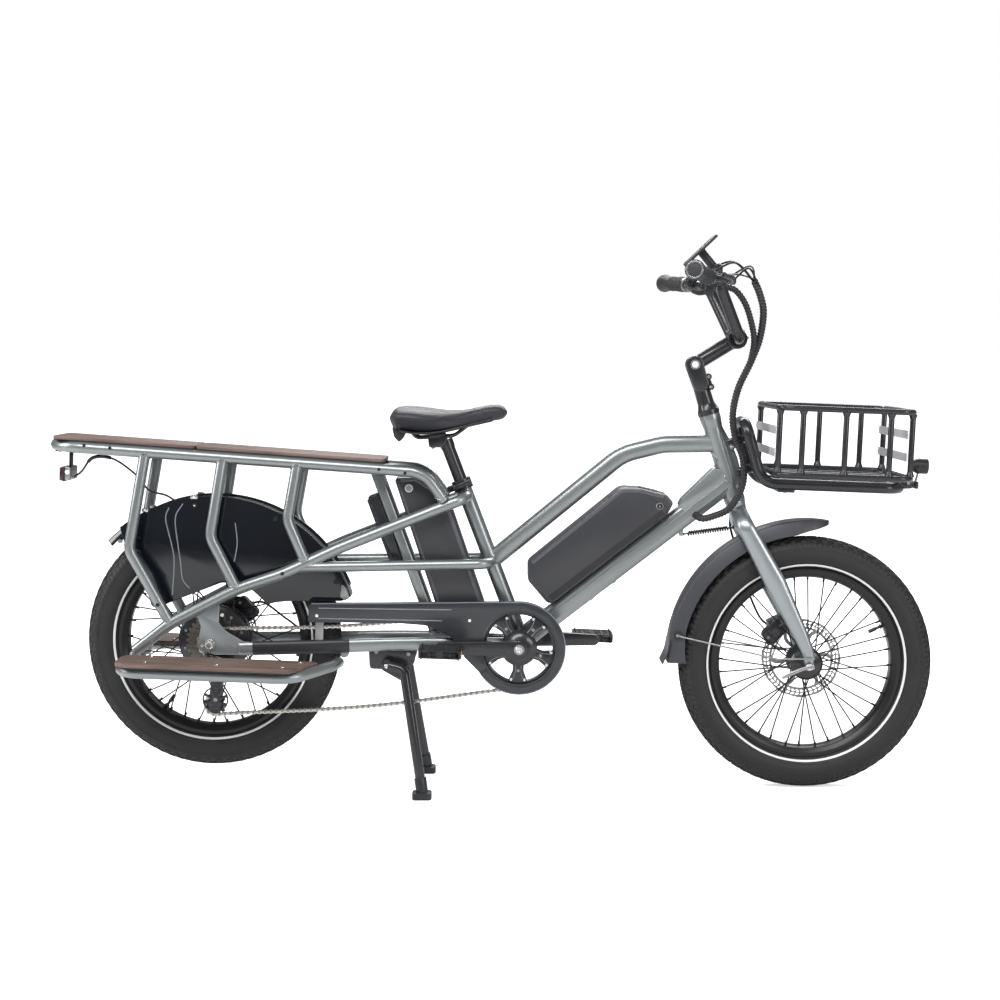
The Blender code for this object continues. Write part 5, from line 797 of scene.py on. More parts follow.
FINISHES = {
    "paint": finish("frame_paint", (0.27, 0.288, 0.291), 0.36, 0.8, 0.25, 1500, 0.14, 0.05, 0.02, 0.2),
    "fork": finish("fork_paint", (0.33, 0.357, 0.367), 0.34, 0.8, 0.25, 1500, 0.12, 0.05, 0.02, 0.2),
    "black": finish("satin_black_metal", (0.022, 0.0225, 0.0262), 0.28, 0.25, 0.25, 1200, 0.2, 0.1, 0.05,
                    0.5, (0.13, 0.13, 0.14)),
    "rim": finish("rim_black", (0.022, 0.02, 0.02), 0.34, 0.5, 0.0, 900, 0.15, 0.08, 0.0, 0.3,
                  (0.09, 0.09, 0.09)),
    "steel": finish("bright_steel", (0.62, 0.62, 0.61), 0.24, 1.0, 0.0, 500, 0.12, 0.12, 0.05),
    "dull_steel": finish("dull_steel", (0.36, 0.36, 0.355), 0.38, 1.0, 0.0, 700, 0.15, 0.12, 0.08),
    "rubber": finish("tyre_rubber", (0.0105, 0.0105, 0.0115), 0.58, 0.0, 0.0, 260, 0.9, 0.2, 0.35, 0.5,
                     (0.06, 0.058, 0.056), 0.1, specular=0.4),
    "grip": finish("grip_rubber", (0.022, 0.0225, 0.025), 0.55, 0.0, 0.0, 1400, 0.2, 0.08, 0.3),
    "plastic": finish("black_plastic", (0.014, 0.0145, 0.0165), 0.42, 0.0, 0.0, 1600, 0.2, 0.08, 0.2, 0.3,
                      (0.08, 0.08, 0.09)),
    "hose": finish("hose_black", (0.009, 0.009, 0.01), 0.38, 0.0, 0.0, 900, 0.1, 0.05),
    "loom": finish("loom_wrap", (0.02, 0.02, 0.023), 0.45, 0.0, 0.0, 900, 0.15, 0.08, 0.1),
    "gloss": finish("gloss_guard", (0.0035, 0.005, 0.008), 0.1, 0.0, 0.2, 60, 0.25, 0.03),
    # crease: a lighter glossy colour that paints the highlight along grooves and creases on black plastic
    "crease": finish("gloss_crease_painted_highlight", (0.17, 0.19, 0.215), 0.2, 0.0, 0.3, 60, 0.2, 0.03),
    "fender": finish("fender_plastic", (0.04, 0.041, 0.048), 0.42, 0.0, 0.05, 1500, 0.12, 0.08, 0.12),
    "case": finish("chain_case", (0.026, 0.028, 0.032), 0.3, 0.0, 0.15, 1200, 0.15, 0.08, 0.06),
    "battery": finish("battery_shell", (0.03, 0.0305, 0.0345), 0.4, 0.0, 0.05, 1500, 0.14, 0.08, 0.1, 0.35,
                      (0.1, 0.1, 0.11)),
    # A lighter grey than the case: painted highlight along the batteries' edges
    "battery_edge_painted_highlight": finish("battery_edge_painted_highlight", (0.075, 0.076, 0.088), 0.32, 0.0, 0.1, 1500, 0.1, 0.08, 0.05),
    "cog": finish("cog_steel", (0.16, 0.145, 0.125), 0.42, 1.0, 0.0, 700, 0.3, 0.12, 0.08),
    "chain": finish("chain_steel", (0.5, 0.48, 0.45), 0.3, 1.0, 0.0, 700, 0.2, 0.12, 0.05),
    "tread": finish("tread_blocks", (0.022, 0.022, 0.0235), 0.7, 0.0, 0.0, 300, 0.9, 0.3, 0.35, 0.6,
                    (0.075, 0.073, 0.07), 0.12, specular=0.3),
    # seam: dark joints, and also the thin plate under the deck boards that paints the shadow there
    "seam": finish("dark_seam_and_painted_shadow", (0.012, 0.012, 0.013), 0.6),
    "rotor": finish("rotor_steel", (0.3, 0.3, 0.3), 0.42, 0.85, 0.0, 700, 0.15, 0.12, 0.08),
    "alloy": finish("silvery_slat", (0.66, 0.66, 0.68), 0.36, 0.35, 0.1, 900, 0.1, 0.08),
    "stripe": finish("reflex_stripe", (0.8, 0.8, 0.81), 0.42, 0.0, 0.0, 300, 0.05, 0.05),
    "wood": wood_finish("walnut_board"),
    "leather": hide_finish("saddle_cover", (0.024, 0.0245, 0.0305), 0.4),
    # The lenses and the pedal reflectors glow faintly: painted glow for light caught inside them.
    "red_lens": painted_glow("red_lens", (0.055, 0.008, 0.009), 0.05),
    "clear_lens": painted_glow("lamp_lens", (0.62, 0.63, 0.66), 0.2),
    "amber": painted_glow("amber_reflector", (0.6, 0.22, 0.03), 0.1),
    "screen": finish("display_glass", (0.01, 0.011, 0.014), 0.08, 0.0, 0.8, 60, 0.1, 0.02),
    "red_ring": finish("red_mark", (0.42, 0.1, 0.08), 0.45),
}


# Frame


SIDES = (("right", -1), ("left", 1))


def mirrored_path(points):
    """The points, then their mirror images back again, so that the path runs from one side to the other."""
    p = np.asarray(points, float)
    return np.concatenate([p, p[::-1] * (1, -1, 1)])


def main_frame():
    """Head tube, top tube, hydroformed down tube, seat tube and bracket shell, with their weld beads."""
    f = Form()
    head = [(15.8, 0), (23, 0), (23, 12), (20.5, 30), (20.5, 170.5), (23, 188.5), (23, 200.5),
        (15.8, 200.5)]
    f.add("paint", lathe(head, HEAD_FOOT, UP, 48, ring=True, soft=0.9))
    height = np.array((8, 30, 60, 90, 120, 145, 165))
    reach = np.array((20.7, 25.5, 31, 32.5, 30, 24.5, 20.7))
    swell = np.stack([steering(h, (r - 20.5) / 2) for h, r in zip(height, reach)])
    f.add("paint", tube(swell, np.stack([np.full(7, 18.5), (reach + 20.5) / 2], 1), 30, fillet=4))
    down = np.stack([BRACKET + (4, 0, 8), steering(47)])
    crease = rounded([(-0.78, 1), (0.78, 1), (1, 0.72), (1, -0.34), (0.6, -1), (-0.6, -1), (-1, -0.34),
        (-1, 0.72)], [0.3, 0.3, 0.3, 0.07, 0.35, 0.35, 0.07, 0.3], 20)
    f.add("paint", tube(down, (20, 23), shape=crease))
    top = bent([seat_axis(198), (212, 0, 724), (300, 0, 749), steering(132.5)], [0, 120, 120, 0], 4)
    f.add("paint", tube(top + Z * 1, (15.5, 19.5), 28, power=2.4))
    seat = oblong(14.9, 12, 17, 388)
    f.add("paint", lathe(seat, seat_axis(0), SEAT_UP, 36, ring=True, soft=0.4))
    shell = oblong(12.1, -36.5, 21, 36.5)
    f.add("paint", lathe(shell, BRACKET, Y, 40, ring=True, soft=0.6))
    gusset = rounded([(345, 632), (410.5, 701), (430, 700), (438, 676), (352, 605), (338, 618)],
        [6, 6, 6, 2, 2, 6])
    f.add("paint", plate(gusset, -20.4, 20.4, bevel=1.2), disc(steering(118, 27), 6, -17, 17, Y, 24, 1.2))
    f.add("steel", bolt(steering(118, 27, -17), -Y, 3.8, 1.6))
    tab = rounded(oblong(344, 549, 353.2, 574), 2)
    f.add("paint", plate(tab, -4, 4))
    run = unit(steering(47) - BRACKET)
    for s in (-1, 1):
        edge = down + Y * s * 19.9 + np.cross(run, Y) * 7.6 + run * np.array(((20,), (-12,)))
        f.add("paint", tube(edge, 1.1, 10))
    f.add("paint", bead(steering(132.5, -120), unit(steering(132.5) - top[-2]), 16.2, HEAD_FOOT, UP, 20.5),
        bead(down[1] - run * 120, run, 20.2, HEAD_FOOT, UP, 20.5),
        bead(BRACKET + run * 120, -run, 20.2, BRACKET, Y, 21),
        bead(top[0] + unit(top[1] - top[0]) * 100, top[0] - top[1], 15.8, seat_axis(0), SEAT_UP, 17),
        bead(seat_axis(120), -SEAT_UP, 16.8, BRACKET, Y, 21))
    for x, z in ((159, 402), (206, 441)):
        low, high = at(x - 0.5, 0, z), at(x - 9, 0, z + 11)
        f.add("paint", rod(low, high, 4.5))
        f.add("steel", bolt(low, low - high, 6.2, 2.2))
    dock = np.stack([(70, 0, 393), (312, 0, 596)])
    ahead = unit(dock[1] - dock[0])
    under = np.cross(ahead, Y)
    middle = np.stack([dock[0] + ahead * 20, dock[0] + ahead * 280]) + under * 6.2
    f.add("plastic", tube(middle, (16, 5.8), 20, power=6))
    f.make("frame_tubes", "frame", ["main_frame"], "frame_paint")


def kinked(side, x_top, x_kink, z_kink, x_foot, z_foot):
    """One upright of the rear rack, from the rail through its kink to the stay below."""
    corners = [at(x_top, side * RACK_HALF, rail_z(x_top)), at(x_kink, side * 80.5, z_kink),
        at(x_foot, side * STAY_HALF, z_foot)]
    return bent(corners, [0, 45, 0])


UPRIGHTS = ((-823.5, -853.8, 481, -756.7, 319), (-656, -678.5, 514.6, -617.3, 404),
            (-494.5, -512.3, 558.5, -469.7, 468))
STUBS = ((-850, 505), (-674.5, 545), (-494.2, 517))


def side_trusses():
    """On each side the long stay, the middle stay and three kinked uprights, with weld beads."""
    for name, s in SIDES:
        f = Form()
        start = seat_axis(353)
        long = bent([start, start + (0, s * 62, 0), (-400, s * 76, 500.5), (-518, s * 85, 441),
            (-617, s * 85, 404), (-761, s * 85, 321.6), (-834, s * 85, 260)],
            [0, 38, 250, 300, 300, 200, 0], 4)
        f.add("paint", tube(long, STAY_RADIUS, 24, side=Z))
        start = seat_axis(198.5)
        middle = bent([start, start + (0, s * 66, 0), (-482, s * 82.2, 456)], [0, 36, 0], 4)
        f.add("paint", tube(middle, MIDDLE_STAY_RADIUS, 24, side=Z))
        long_way = at(-518, s * 85, 441), at(118, s * -9, 59.5)
        for x_top, x_kink, z_kink, x_foot, z_foot in UPRIGHTS:
            path = kinked(s, x_top, x_kink, z_kink, x_foot, z_foot)
            f.add("paint", tube(path, 12, 22))
            run = unit(path[-1] - path[-2])
            steep = at(-144, 0, -82.4) if x_foot < -700 else at(-99, 0, -37)
            steep = at(-118, 0, -59.5) if x_foot > -500 else steep
            f.add("paint", bead(path[-1] - run * 50, run, 12.1, path[-1], steep, STAY_RADIUS, 1.4))
            run = unit(path[0] - path[1])
            f.add("paint", bead(path[0] - run * 50, run, 12.1, path[0], at(-1, 0, RAIL_SLOPE), RAIL_RADIUS,
                1.4))
        run = unit(middle[-1] - middle[-2])
        f.add("paint", bead(middle[-1] - run * 90, run, MIDDLE_STAY_RADIUS, *long_way, STAY_RADIUS, 1.4))
        for height, radius in ((353, STAY_RADIUS), (198.5, MIDDLE_STAY_RADIUS)):
            root = seat_axis(height)
            f.add("paint", bead(root + Y * s * 60, -Y * s, radius, seat_axis(0), SEAT_UP, 17, 1.4))
        for x, z in STUBS:
            f.add("paint", rod((x, s * 46.6, z), (x, s * 78.5, z), 5, 12))
        f.add("hose", bolt((-518, s * 97.5, 442.8), Y * s, 4.2, 1.4),
            bolt((-785.9, s * 96.5, 364), Y * s, 4.2, 1.4))
        f.make(f"side_truss_tubes_{name}", "frame", [f"side_truss_{name}"], "frame_paint")


def rack():
    """The rack's rail, a closed loop of tube, and the two deck boards, each on a thin dark plate that paints
    the shadow between board and rail.
    """
    rail = bent(mirrored_path([(-174.5, 70, 611.5), (-222, 75, 672.5), (-1031, RACK_HALF, rail_z(-1031))]),
        [0, 70, 78, 78, 70, 0], 4)
    f = Form().add("paint", tube(rail, RAIL_RADIUS, 26, side=Z))
    for x, z in ((-953.4, 703), (-897.4, 699.6), (-317.5, 675.9), (-261.3, 669.6)):
        y = RACK_HALF if x < -300 else 76.5
        f.both("hose", bolt((x, y + RAIL_RADIUS - 0.6, z), Y, 3.6, 1))
    f.both("paint", bead(at(-174.5, 70, 611.5) + unit((-47.5, 5, 61)) * 60, at(47.5, -5, -61), RAIL_RADIUS,
        at(-218, 68, 591.5), at(-118, -6, -59.5), STAY_RADIUS, 1.4))
    f.make("rack_tube", "frame", ["rack_rail"], "frame_paint")
    origin, u, v = at(0, 0, rail_z(0)), unit((1, 0, -RAIL_SLOPE)), Y
    for name, low, high in (("rear", -1026.2, -719), ("front", -717, -307.5)):
        outline = rounded(oblong(low, -78, high, 78), 12)
        wood = plate(outline, 14.6, 21.8, bevel=1.8, place=(origin, u, v))
        # This thin dark plate under the board is painted shadow for the shade gap where the board sits on the
        # rail.
        rubber = plate(inset(outline, 0.8), 12.8, 14.9, bevel=0.4, place=(origin, u, v))
        f = Form().add("wood", wood).add("seam", rubber)
        for x in (low + 30, (low + high) / 2, high - 30):
            for y in (-60, 60):
                place = origin + u * x + v * y + (0, 0, 21.2)
                f.add("steel", bolt(place, np.cross(u, v), 5.5, 0.7))
        f.make(f"deck_wood_{name}", "frame", [f"deck_board_{name}"], "wood")


def channel(radius, half, lip, centre, first, last, steps, drop=None):
    """A mudguard: a U-shaped strip bent round the axle from angle first to last."""
    outer = [(radius - lip, -half), (radius, -half + 10), (radius, half - 10), (radius - lip, half)]
    inner = [(radius - lip, half - 2), (radius - 2, half - 11.2), (radius - 2, -half + 11.2),
        (radius - lip, -half + 2)]
    profile = bent(outer + inner, [0.5, 6, 6, 0.5, 0.5, 4, 4, 0.5], 18, closed=True)
    _, u, v = basis(Y)
    a = np.radians(np.linspace(first, last, steps + 1))[:, None, None]
    out = np.cos(a) * u - np.sin(a) * v
    y, r = profile[None, :, 1, None], profile[None, :, 0, None]
    if drop is not None:
        narrow, depth = (shape(np.linspace(0, 1, steps + 1))[:, None, None] for shape in drop)
        y, r = y * narrow, radius - (radius - r) * depth
    return sheet_of(centre + out * r + Y * y)


def guards():
    """The rear mudguard, and on each side a glossy skirt with its grooves, clips and screws; each groove is a
    thin tube in a lighter colour that paints its highlight.
    """
    f = Form().add("gloss", channel(318, 43, 16, REAR_AXLE, 20, 138, 72))
    f.make("rear_mudguard_shell", "frame", ["rear_mudguard"], "black_plastic")
    skirt = np.concatenate([arc(REAR_AXLE[::2], 321, 24, 130.5, 40),
        bent([(-870, 410), (-833, 447), (-806, 343), (-766.5, 364), (-652.3, 413), (-588.4, 397),
        (-555.8, 369), (-513.6, 375.8), (-385, 381.3), (-380, 410.5)],
        [0, 20, 14, 14, 30, 14, 14, 14, 10, 0])[1:-1]])
    clasp = rounded([(-393, 419), (-383, 410), (-375, 388), (-385, 383), (-396, 390)], 2)
    grooves = ([(-775.3, 571.9), (-781.6, 546.4), (-767.4, 491), (-760.9, 452.8), (-763.2, 379.9)],
        [(-745, 581.7), (-760.7, 550.1), (-753.6, 491.6), (-746.9, 453.4), (-741.7, 416.1), (-726, 396)],
        [(-629.8, 544.4), (-624.3, 499.9), (-629.8, 458.3)])
    for name, s in SIDES:
        f = Form().add("gloss", plate(skirt, s * 43.3, s * 46.3, bevel=1.1))
        for groove in grooves:
            # Each groove is a thin tube in the lighter crease colour: a painted highlight along the groove.
            g = through(groove, 6)
            path = np.stack([g[:, 0], np.full(len(g), s * 46.2), g[:, 1]], 1)
            f.add("crease", tube(path, (0.7, 1.4), 8, fillet=0.4))
        for x, z in ((-718.9, 578.8), (-541.7, 556.3), (-839.1, 471), (-405.3, 423.4)):
            f.add("hose", bolt((x, s * 46.3, z), Y * s, 5.8, 1.6))
        for x, z, width in ((-827.2, 564.2, 7), (-721.2, 597.1, 8)):
            clip = rounded(oblong(x - width, z - 4, x + width, z + 4), 2.5)
            f.add("steel", plate(clip, s * 45.6, s * 47.8, bevel=0.5))
            f.add("stripe", bolt((x, s * 47.8, z), Y * s, 2.8, 0.9))
        f.add("stripe", bolt((-720.7, s * 46.6, 577.5), Y * s, 2.6, 0.9))
        f.add("dull_steel", plate(clasp, s * 42, s * 47.5, bevel=0.6))
        hook = rounded(oblong(-884.5, 490, -875.5, 498), 2.5)
        f.add("crease", plate(hook, s * 40, s * 47.8, bevel=0.5))
        f.make(f"skirt_shell_{name}", "frame", [f"skirt_guard_{name}"], "guard_plastic")


DROPOUT = [(-560, 261.5), (-560, 285.5), (-600, 288), (-640, 310), (-655, 328), (-655, 376),
           (-688, 362), (-704, 345), (-694, 318), (-697, 298), (-697, 266), (-660, 257)]


def chainstays():
    """On each side a flattened tube to the axle, with its dropout."""
    for name, s in SIDES:
        path = through([(-6, s * 22, 297), (-100, s * 40, 296.5), (-250, s * 55, 292.5),
            (-450, s * 66.5, 281), (-612, s * 74.75, 272)], 10)
        f = Form().add("paint", tube(path, (8.8, 14.5), 24, power=2.6, fillet=4))
        f.add("fork", plate(rounded(DROPOUT, 6), s * 71.5, s * 78, bevel=1.2))
        pocket = rounded([(-572, 269), (-572, 279), (-606, 282), (-636, 296), (-640, 285), (-612, 270)], 4)
        f.add("dull_steel", washer(pocket, inset(pocket, 1.4), s * 77.2, s * 78.8, bevel=0.4))
        if s < 0:
            worn = path[(path[:, 0] < -350) & (path[:, 0] > -594)]
            f.add("plastic", tube(worn, (9.6, 15.3), 24, power=2.6, fillet=0.6))
        f.add("paint", bead(path[0] + unit(path[6] - path[0]) * 50, path[0] - path[6], 11.2, BRACKET, Y,
            21, 1.3))
        f.add("steel", bolt((-648, s * 78.2, 345), Y * s, 4.5, 1.6),
            bolt((-690, s * 78.2, 276), Y * s, 3.8, 1.4))
        f.make(f"chainstay_tube_{name}", "frame", [f"chainstay_{name}"], "frame_paint")


def footrests():
    """On each side a bent tube and the foot board that it carries."""
    z = 231.6
    for name, s in SIDES:
        path = bent([(-392, s * 65, 249), (-400, s * 105, 248), (-480, s * 196, z), (-850, s * 196, z),
            (-850, s * 85, z)], [0, 30, 70, 50, 0], 5)
        f = Form().add("paint", tube(path, 11.8, 22, side=Z))
        f.add("paint", rod((-843, s * 85, z - 4), (-834, s * 85, 257), 10.5, 18))
        for x in (-790, -640, -500):
            f.add("black", rod((x, s * 196, z), (x, s * 196, 242.5), 6, 12))
        f.make(f"footrest_pipe_{name}", "frame", [f"footrest_tube_{name}"], "frame_paint")
        board = rounded([(-856, s * 100), (-856, s * 218), (-485, s * 218), (-420, s * 100)],
            [30, 30, 30, 20])
        f = Form().add("wood", plate(board, 244.9, 254.5, 2.2, LEVEL))
        f.add("seam", plate(inset(board, 1.5), 242.5, 245.2, 0.5, LEVEL))
        for x, y in ((-790, 196), (-500, 196), (-790, 125), (-470, 125), (-640, 196)):
            f.add("steel", bolt((x, s * y, 254.5), Z, 6, 1.6))
        f.make(f"foot_wood_{name}", "frame", [f"footboard_{name}"], "wood")


def battery_posts():
    """The flat post behind the seat with its finned controller case."""
    top, foot = at(-329, 0, 670), at(-183, 0, 313)
    along = unit(foot - top)
    ahead = at(-along[2], 0, along[0])
    f = Form().add("paint", tube([top, foot], (34, 13), 28, power=5))
    case = np.stack([top + along * 50, top + along * 215]) - ahead * 24.5
    f.add("black", tube(case, (28.5, 12.5), 24, power=8, fillet=3))
    for y in np.linspace(-26, 26, 8):
        fin = np.stack([top + along * 56, top + along * 209]) - ahead * 38.5 + Y * y
        f.add("black", tube(fin, (1.2, 2), 8, power=6, fillet=0.6))
    f.add("paint", rod((-327, -RACK_HALF, 674), (-327, RACK_HALF, 674), 9, 18),
        rod((-188, -52, 316), (-188, 52, 316), 8, 18))
    f.make("battery_post_form", "frame", ["battery_post"], "frame_paint")


# Wheels and brakes


SPOKES = 36
LEAN = 0.42


def spokes(flange, at_flange, rim_radius, at_rim):
    """The spokes: each leaves its flange on one side, leans round by LEAN radians and ends at the rim."""
    rows = []
    for i in range(SPOKES):
        side = 1 if i % 2 else -1
        high = 2 * math.pi * i / SPOKES
        low = high - LEAN * (1 if i % 4 < 2 else -1)
        root = at((flange - 4) * math.cos(low), at_flange[side], (flange - 4) * math.sin(low))
        tip = at(rim_radius * math.cos(high), at_rim[side], rim_radius * math.sin(high))
        rows.append((root, tip))
    return rows


def laced(centre, flange, at_flange, at_rim):
    """Spokes with a head at the flange and a nipple at the rim."""
    surfaces = []
    for root, tip in spokes(flange, at_flange, 192.5, at_rim):
        surfaces.append(rod(centre + root, centre + tip, 1.6, 8, 0.3))
        out = unit(tip * (1, 0, 1))
        surfaces.append(rod(centre + tip - out * 11, centre + tip + out * 1, 2.4, 8, 0.3))
        surfaces.append(rod(centre + root - Y * 2.2, centre + root + Y * 2.2, 2.4, 8, 0.6))
    return joined(surfaces)


RIM = [(203.2, 22.2), (207.5, 24.5), (209.8, 25), (209.4, 26.2), (202, 25.8), (192.5, 20),
       (189.5, 12)]


def rim(centre):
    """A wide hollow rim with hooked edges; its profile is mirrored about the wheel's middle plane."""
    well = [(203.2, 19), (198.5, 17)]
    profile = RIM + [(r, -y) for r, y in RIM[::-1] + well] + well[::-1]
    return lathe(profile, centre, Y, 128, ring=True, soft=0.6)


def rotor(centre, y, hub):
    """A brake disc: a lacy outer band with slanted slots, and six curved arms to its carrier."""
    count, flat = 48, centre[::2]
    a = 2 * np.pi * np.arange(count * 4) / (count * 4)
    wave = 88 + 0.9 * np.cos(12 * a)
    edge = np.stack([wave * np.cos(a), wave * np.sin(a)], 1) + flat
    bands = ((edge, circle(83.8, count * 4, flat)), (circle(71.8, count * 4, flat),
        circle(66.8, count * 4, flat)), (circle(79, count * 2, flat), circle(76.6, count * 2, flat)))
    surfaces = [washer(out, hole, y - 1, y + 1, bevel=0.3) for out, hole in bands]
    web = tube(np.array([(70.2, 0, -2), (78.2, 0, 2.6), (85.8, 0, -2.2)]) + centre + Y * y, (1, 1.8), 8,
        fillet=0.2)
    surfaces.append(ringed(web, centre, np.arange(count) * 360 / count))
    curve = through([(hub, 0, -4), (40, 0, 7.5), (56, 0, 10), (69, 0, 3.5)], 5)
    arm = tube(curve + centre + Y * y, (1, 4.2), 10, fillet=0.3)
    surfaces.append(ringed(arm, centre, np.arange(6) * 60))
    surfaces.append(washer(circle(hub + 3.5, 48, flat), circle(hub - 6, 48, flat), y - 1, y + 1))
    return joined(surfaces)


# Radius, offset, lean, half length, half width, count, first angle and slant of each row of blocks
TREAD_ROWS = ((279.5, 0, 0, 8, 4, 72, 0, 0), (278.6, 9.8, 16, 7, 3.2, 72, 1.6, 3),
              (276, 18.5, 28, 6.5, 3.4, 72, 3.4, 3.5), (270.6, 27.2, 45, 5.2, 4.2, 72, 0.6, -3),
              (261.8, 34, 66, 2.8, 5.2, 144, 1.2, 2))


def knobs(centre):
    """Tread: small blocks along the crown in slanted rows, and siped blocks down the shoulder."""
    surfaces = []
    for r, y, lean, half_a, half_y, count, first, slant in TREAD_ROWS:
        tilt = math.radians(lean)
        for side in (1,) if y == 0 else (1, -1):
            out = at(math.cos(tilt), side * math.sin(tilt), 0)
            across = at(-math.sin(tilt), side * math.cos(tilt), 0)
            outline = np.array([(-half_a, -half_y), (half_a, -half_y), (half_a + slant, half_y),
                (-half_a + slant, half_y)])
            rows = [at(r, side * y, 0) + out * h + outline[:, :1] * s * Z + outline[:, 1:] * s * across
                for h, s in ((-3, 1.0), (-0.2, 1.0), (0.4, 0.86))]
            block = sheet_of(np.stack(rows))
            block = block[0] + centre, block[1]
            surfaces.append(ringed(block, centre, first + np.arange(count) * 360 / count))
    return joined(surfaces)


def tyre(name, body, node, centre):
    """A round carcass between an outer and an inner profile, its knobs, side ribs and bright stripe."""
    half = [(203.5, 21.5), (211, 22.8), (218, 30), (233, 37.5), (248, 38), (260, 34.5), (269.2, 26.2),
        (275.2, 15), (276.7, 0)]
    outer = through(half + [(r, -y) for r, y in half[-2::-1]], 3)
    inner = [(208, -20), (220, -27), (240, -33), (260, -29), (270, -10), (270, 10), (260, 29), (240, 33),
        (220, 27), (208, 20)]
    f = Form().add("rubber", lathe(np.concatenate([outer, inner]), centre, Y, 144, ring=True))
    f.add("tread", knobs(centre))
    stripe = [(216.8, 28.8), (220.4, 31.8), (220.2, 33), (219.4, 33), (216.2, 30.2), (216, 29)]
    f.both("stripe", lathe(stripe, centre, Y, 144, ring=True))
    for r, y in ((226.2, 34.8), (252.5, 37.4), (256, 36.2)):
        f.both("rubber", lathe(circle(0.8, 6, (r, y)), centre, Y, 144, ring=True))
    return f.make(name, body, [node], "tyre_rubber")


def valve(centre, degrees):
    """The valve: a stem through the rim with its nut and cap."""
    out, _ = turned(math.radians(degrees))
    base = centre + out * 197
    return joined([rod(base, base - out * 34, 3.1, 12), rod(base - out * 10, base - out * 14, 5.5, 12),
        rod(base - out * 22, base - out * 40, 4.3, 12)])


def front_wheel():
    """Hub with its flanges, spokes, rim, disc and valve, then the tyre."""
    f = Form().add("rim", rim(FRONT_AXLE))
    hub = [(6.4, -50), (14, -50), (14.5, -46), (30, -40), (36, -34.5), (36, -25.5), (19, -22), (17, 0),
        (19, 22), (36, 25.5), (36, 34.5), (26, 40), (25.5, 43.5), (14, 45), (14, 50), (6.4, 50)]
    f.add("black", lathe(hub, FRONT_AXLE, Y, 56, ring=True, soft=0.8))
    f.add("hose", laced(FRONT_AXLE, 36, {1: 30, -1: -30}, {1: 9.5, -1: -9.5}))
    f.add("rotor", rotor(FRONT_AXLE, 41, hub=26))
    f.add("black", ringed(bolt(FRONT_AXLE + (24.5, 42.4, 0), Y, 3.2, 1.6, 12), FRONT_AXLE,
        30 + 60 * np.arange(6)))
    f.add("hose", valve(FRONT_AXLE, 27))
    f.make("front_rim_set", "front_wheel_unit", ["front_wheel"], "black_alloy")
    tyre("front_tread", "front_wheel_unit", "front_tyre", FRONT_AXLE)


def rear_wheel():
    """The motor's hub shell, spokes, rim, disc and valve, then the tyre."""
    f = Form().add("rim", rim(REAR_AXLE))
    hub = [(6.4, -31), (34, -31), (56, -30.5), (74.5, -24.5), (78, -21.5), (78, -15), (73.5, -13.5),
        (73.5, 24.5), (78, 26), (78, 32.5), (74, 34.5), (40, 43), (30, 46.5), (30, 54), (16, 58.9),
        (6.4, 58.9)]
    f.add("black", lathe(hub, REAR_AXLE, Y, 72, ring=True, soft=1))
    f.add("hose", laced(REAR_AXLE, 79, {1: 29, -1: -18}, {1: 9.5, -1: -4.5}))
    f.add("dull_steel", ringed(bolt(REAR_AXLE + (64, -28.5, 0), -Y, 3.3, 1.6, 12), REAR_AXLE,
        18 + 36 * np.arange(10)))
    f.add("rotor", rotor(REAR_AXLE, 51, hub=30))
    f.add("hose", valve(REAR_AXLE, 236))
    f.make("rear_rim_set", "rear_wheel_unit", ["rear_wheel"], "black_alloy")
    tyre("rear_tread", "rear_wheel_unit", "rear_tyre", REAR_AXLE)


def rear_axle():
    """The axle with its nuts, washers and thread ends."""
    f = Form().add("dull_steel", rod(REAR_AXLE - Y * 95, REAR_AXLE + Y * 95, 5.6, 24))
    for s in (-1, 1):
        f.add("steel", nut(REAR_AXLE + Y * s * 86.8, Y, 11, 6.2),
            disc(REAR_AXLE, 12.5, s * 78.1, s * 80.3, Y, 32),
            disc(REAR_AXLE, 8.5, s * 92.8, s * 94.8, Y, 24))
        for y in (91.5, 93.5):
            f.add("dull_steel", disc(REAR_AXLE, 6, s * y, s * (y + 0.8), Y, 24))
    f.make("rear_axle_set", "frame", ["rear_axle"], "steel")


def axle_lever():
    """The quick-release lever of the front axle."""
    f = Form()
    path = through([FRONT_AXLE + (10, -78.1, 1), FRONT_AXLE + (-12, -78.1, -4),
        FRONT_AXLE + (-36, -80, -14), FRONT_AXLE + (-60, -79.5, -26)], 8)
    wide = np.interp(np.linspace(0, 1, len(path)), (0, 0.25, 0.8, 1), (5.8, 4, 4.4, 3.2))
    f.add("dull_steel", tube(path, np.stack([np.full(len(path), 2.2), wide], 1), 16, fillet=1.8))
    f.add("steel", disc(FRONT_AXLE + (0, -77.6, 0), 8.2, -2.2, 1.4, Y, 28, 1))
    f.make("axle_lever_blade", "axle_lever_unit", ["axle_lever"], "steel")


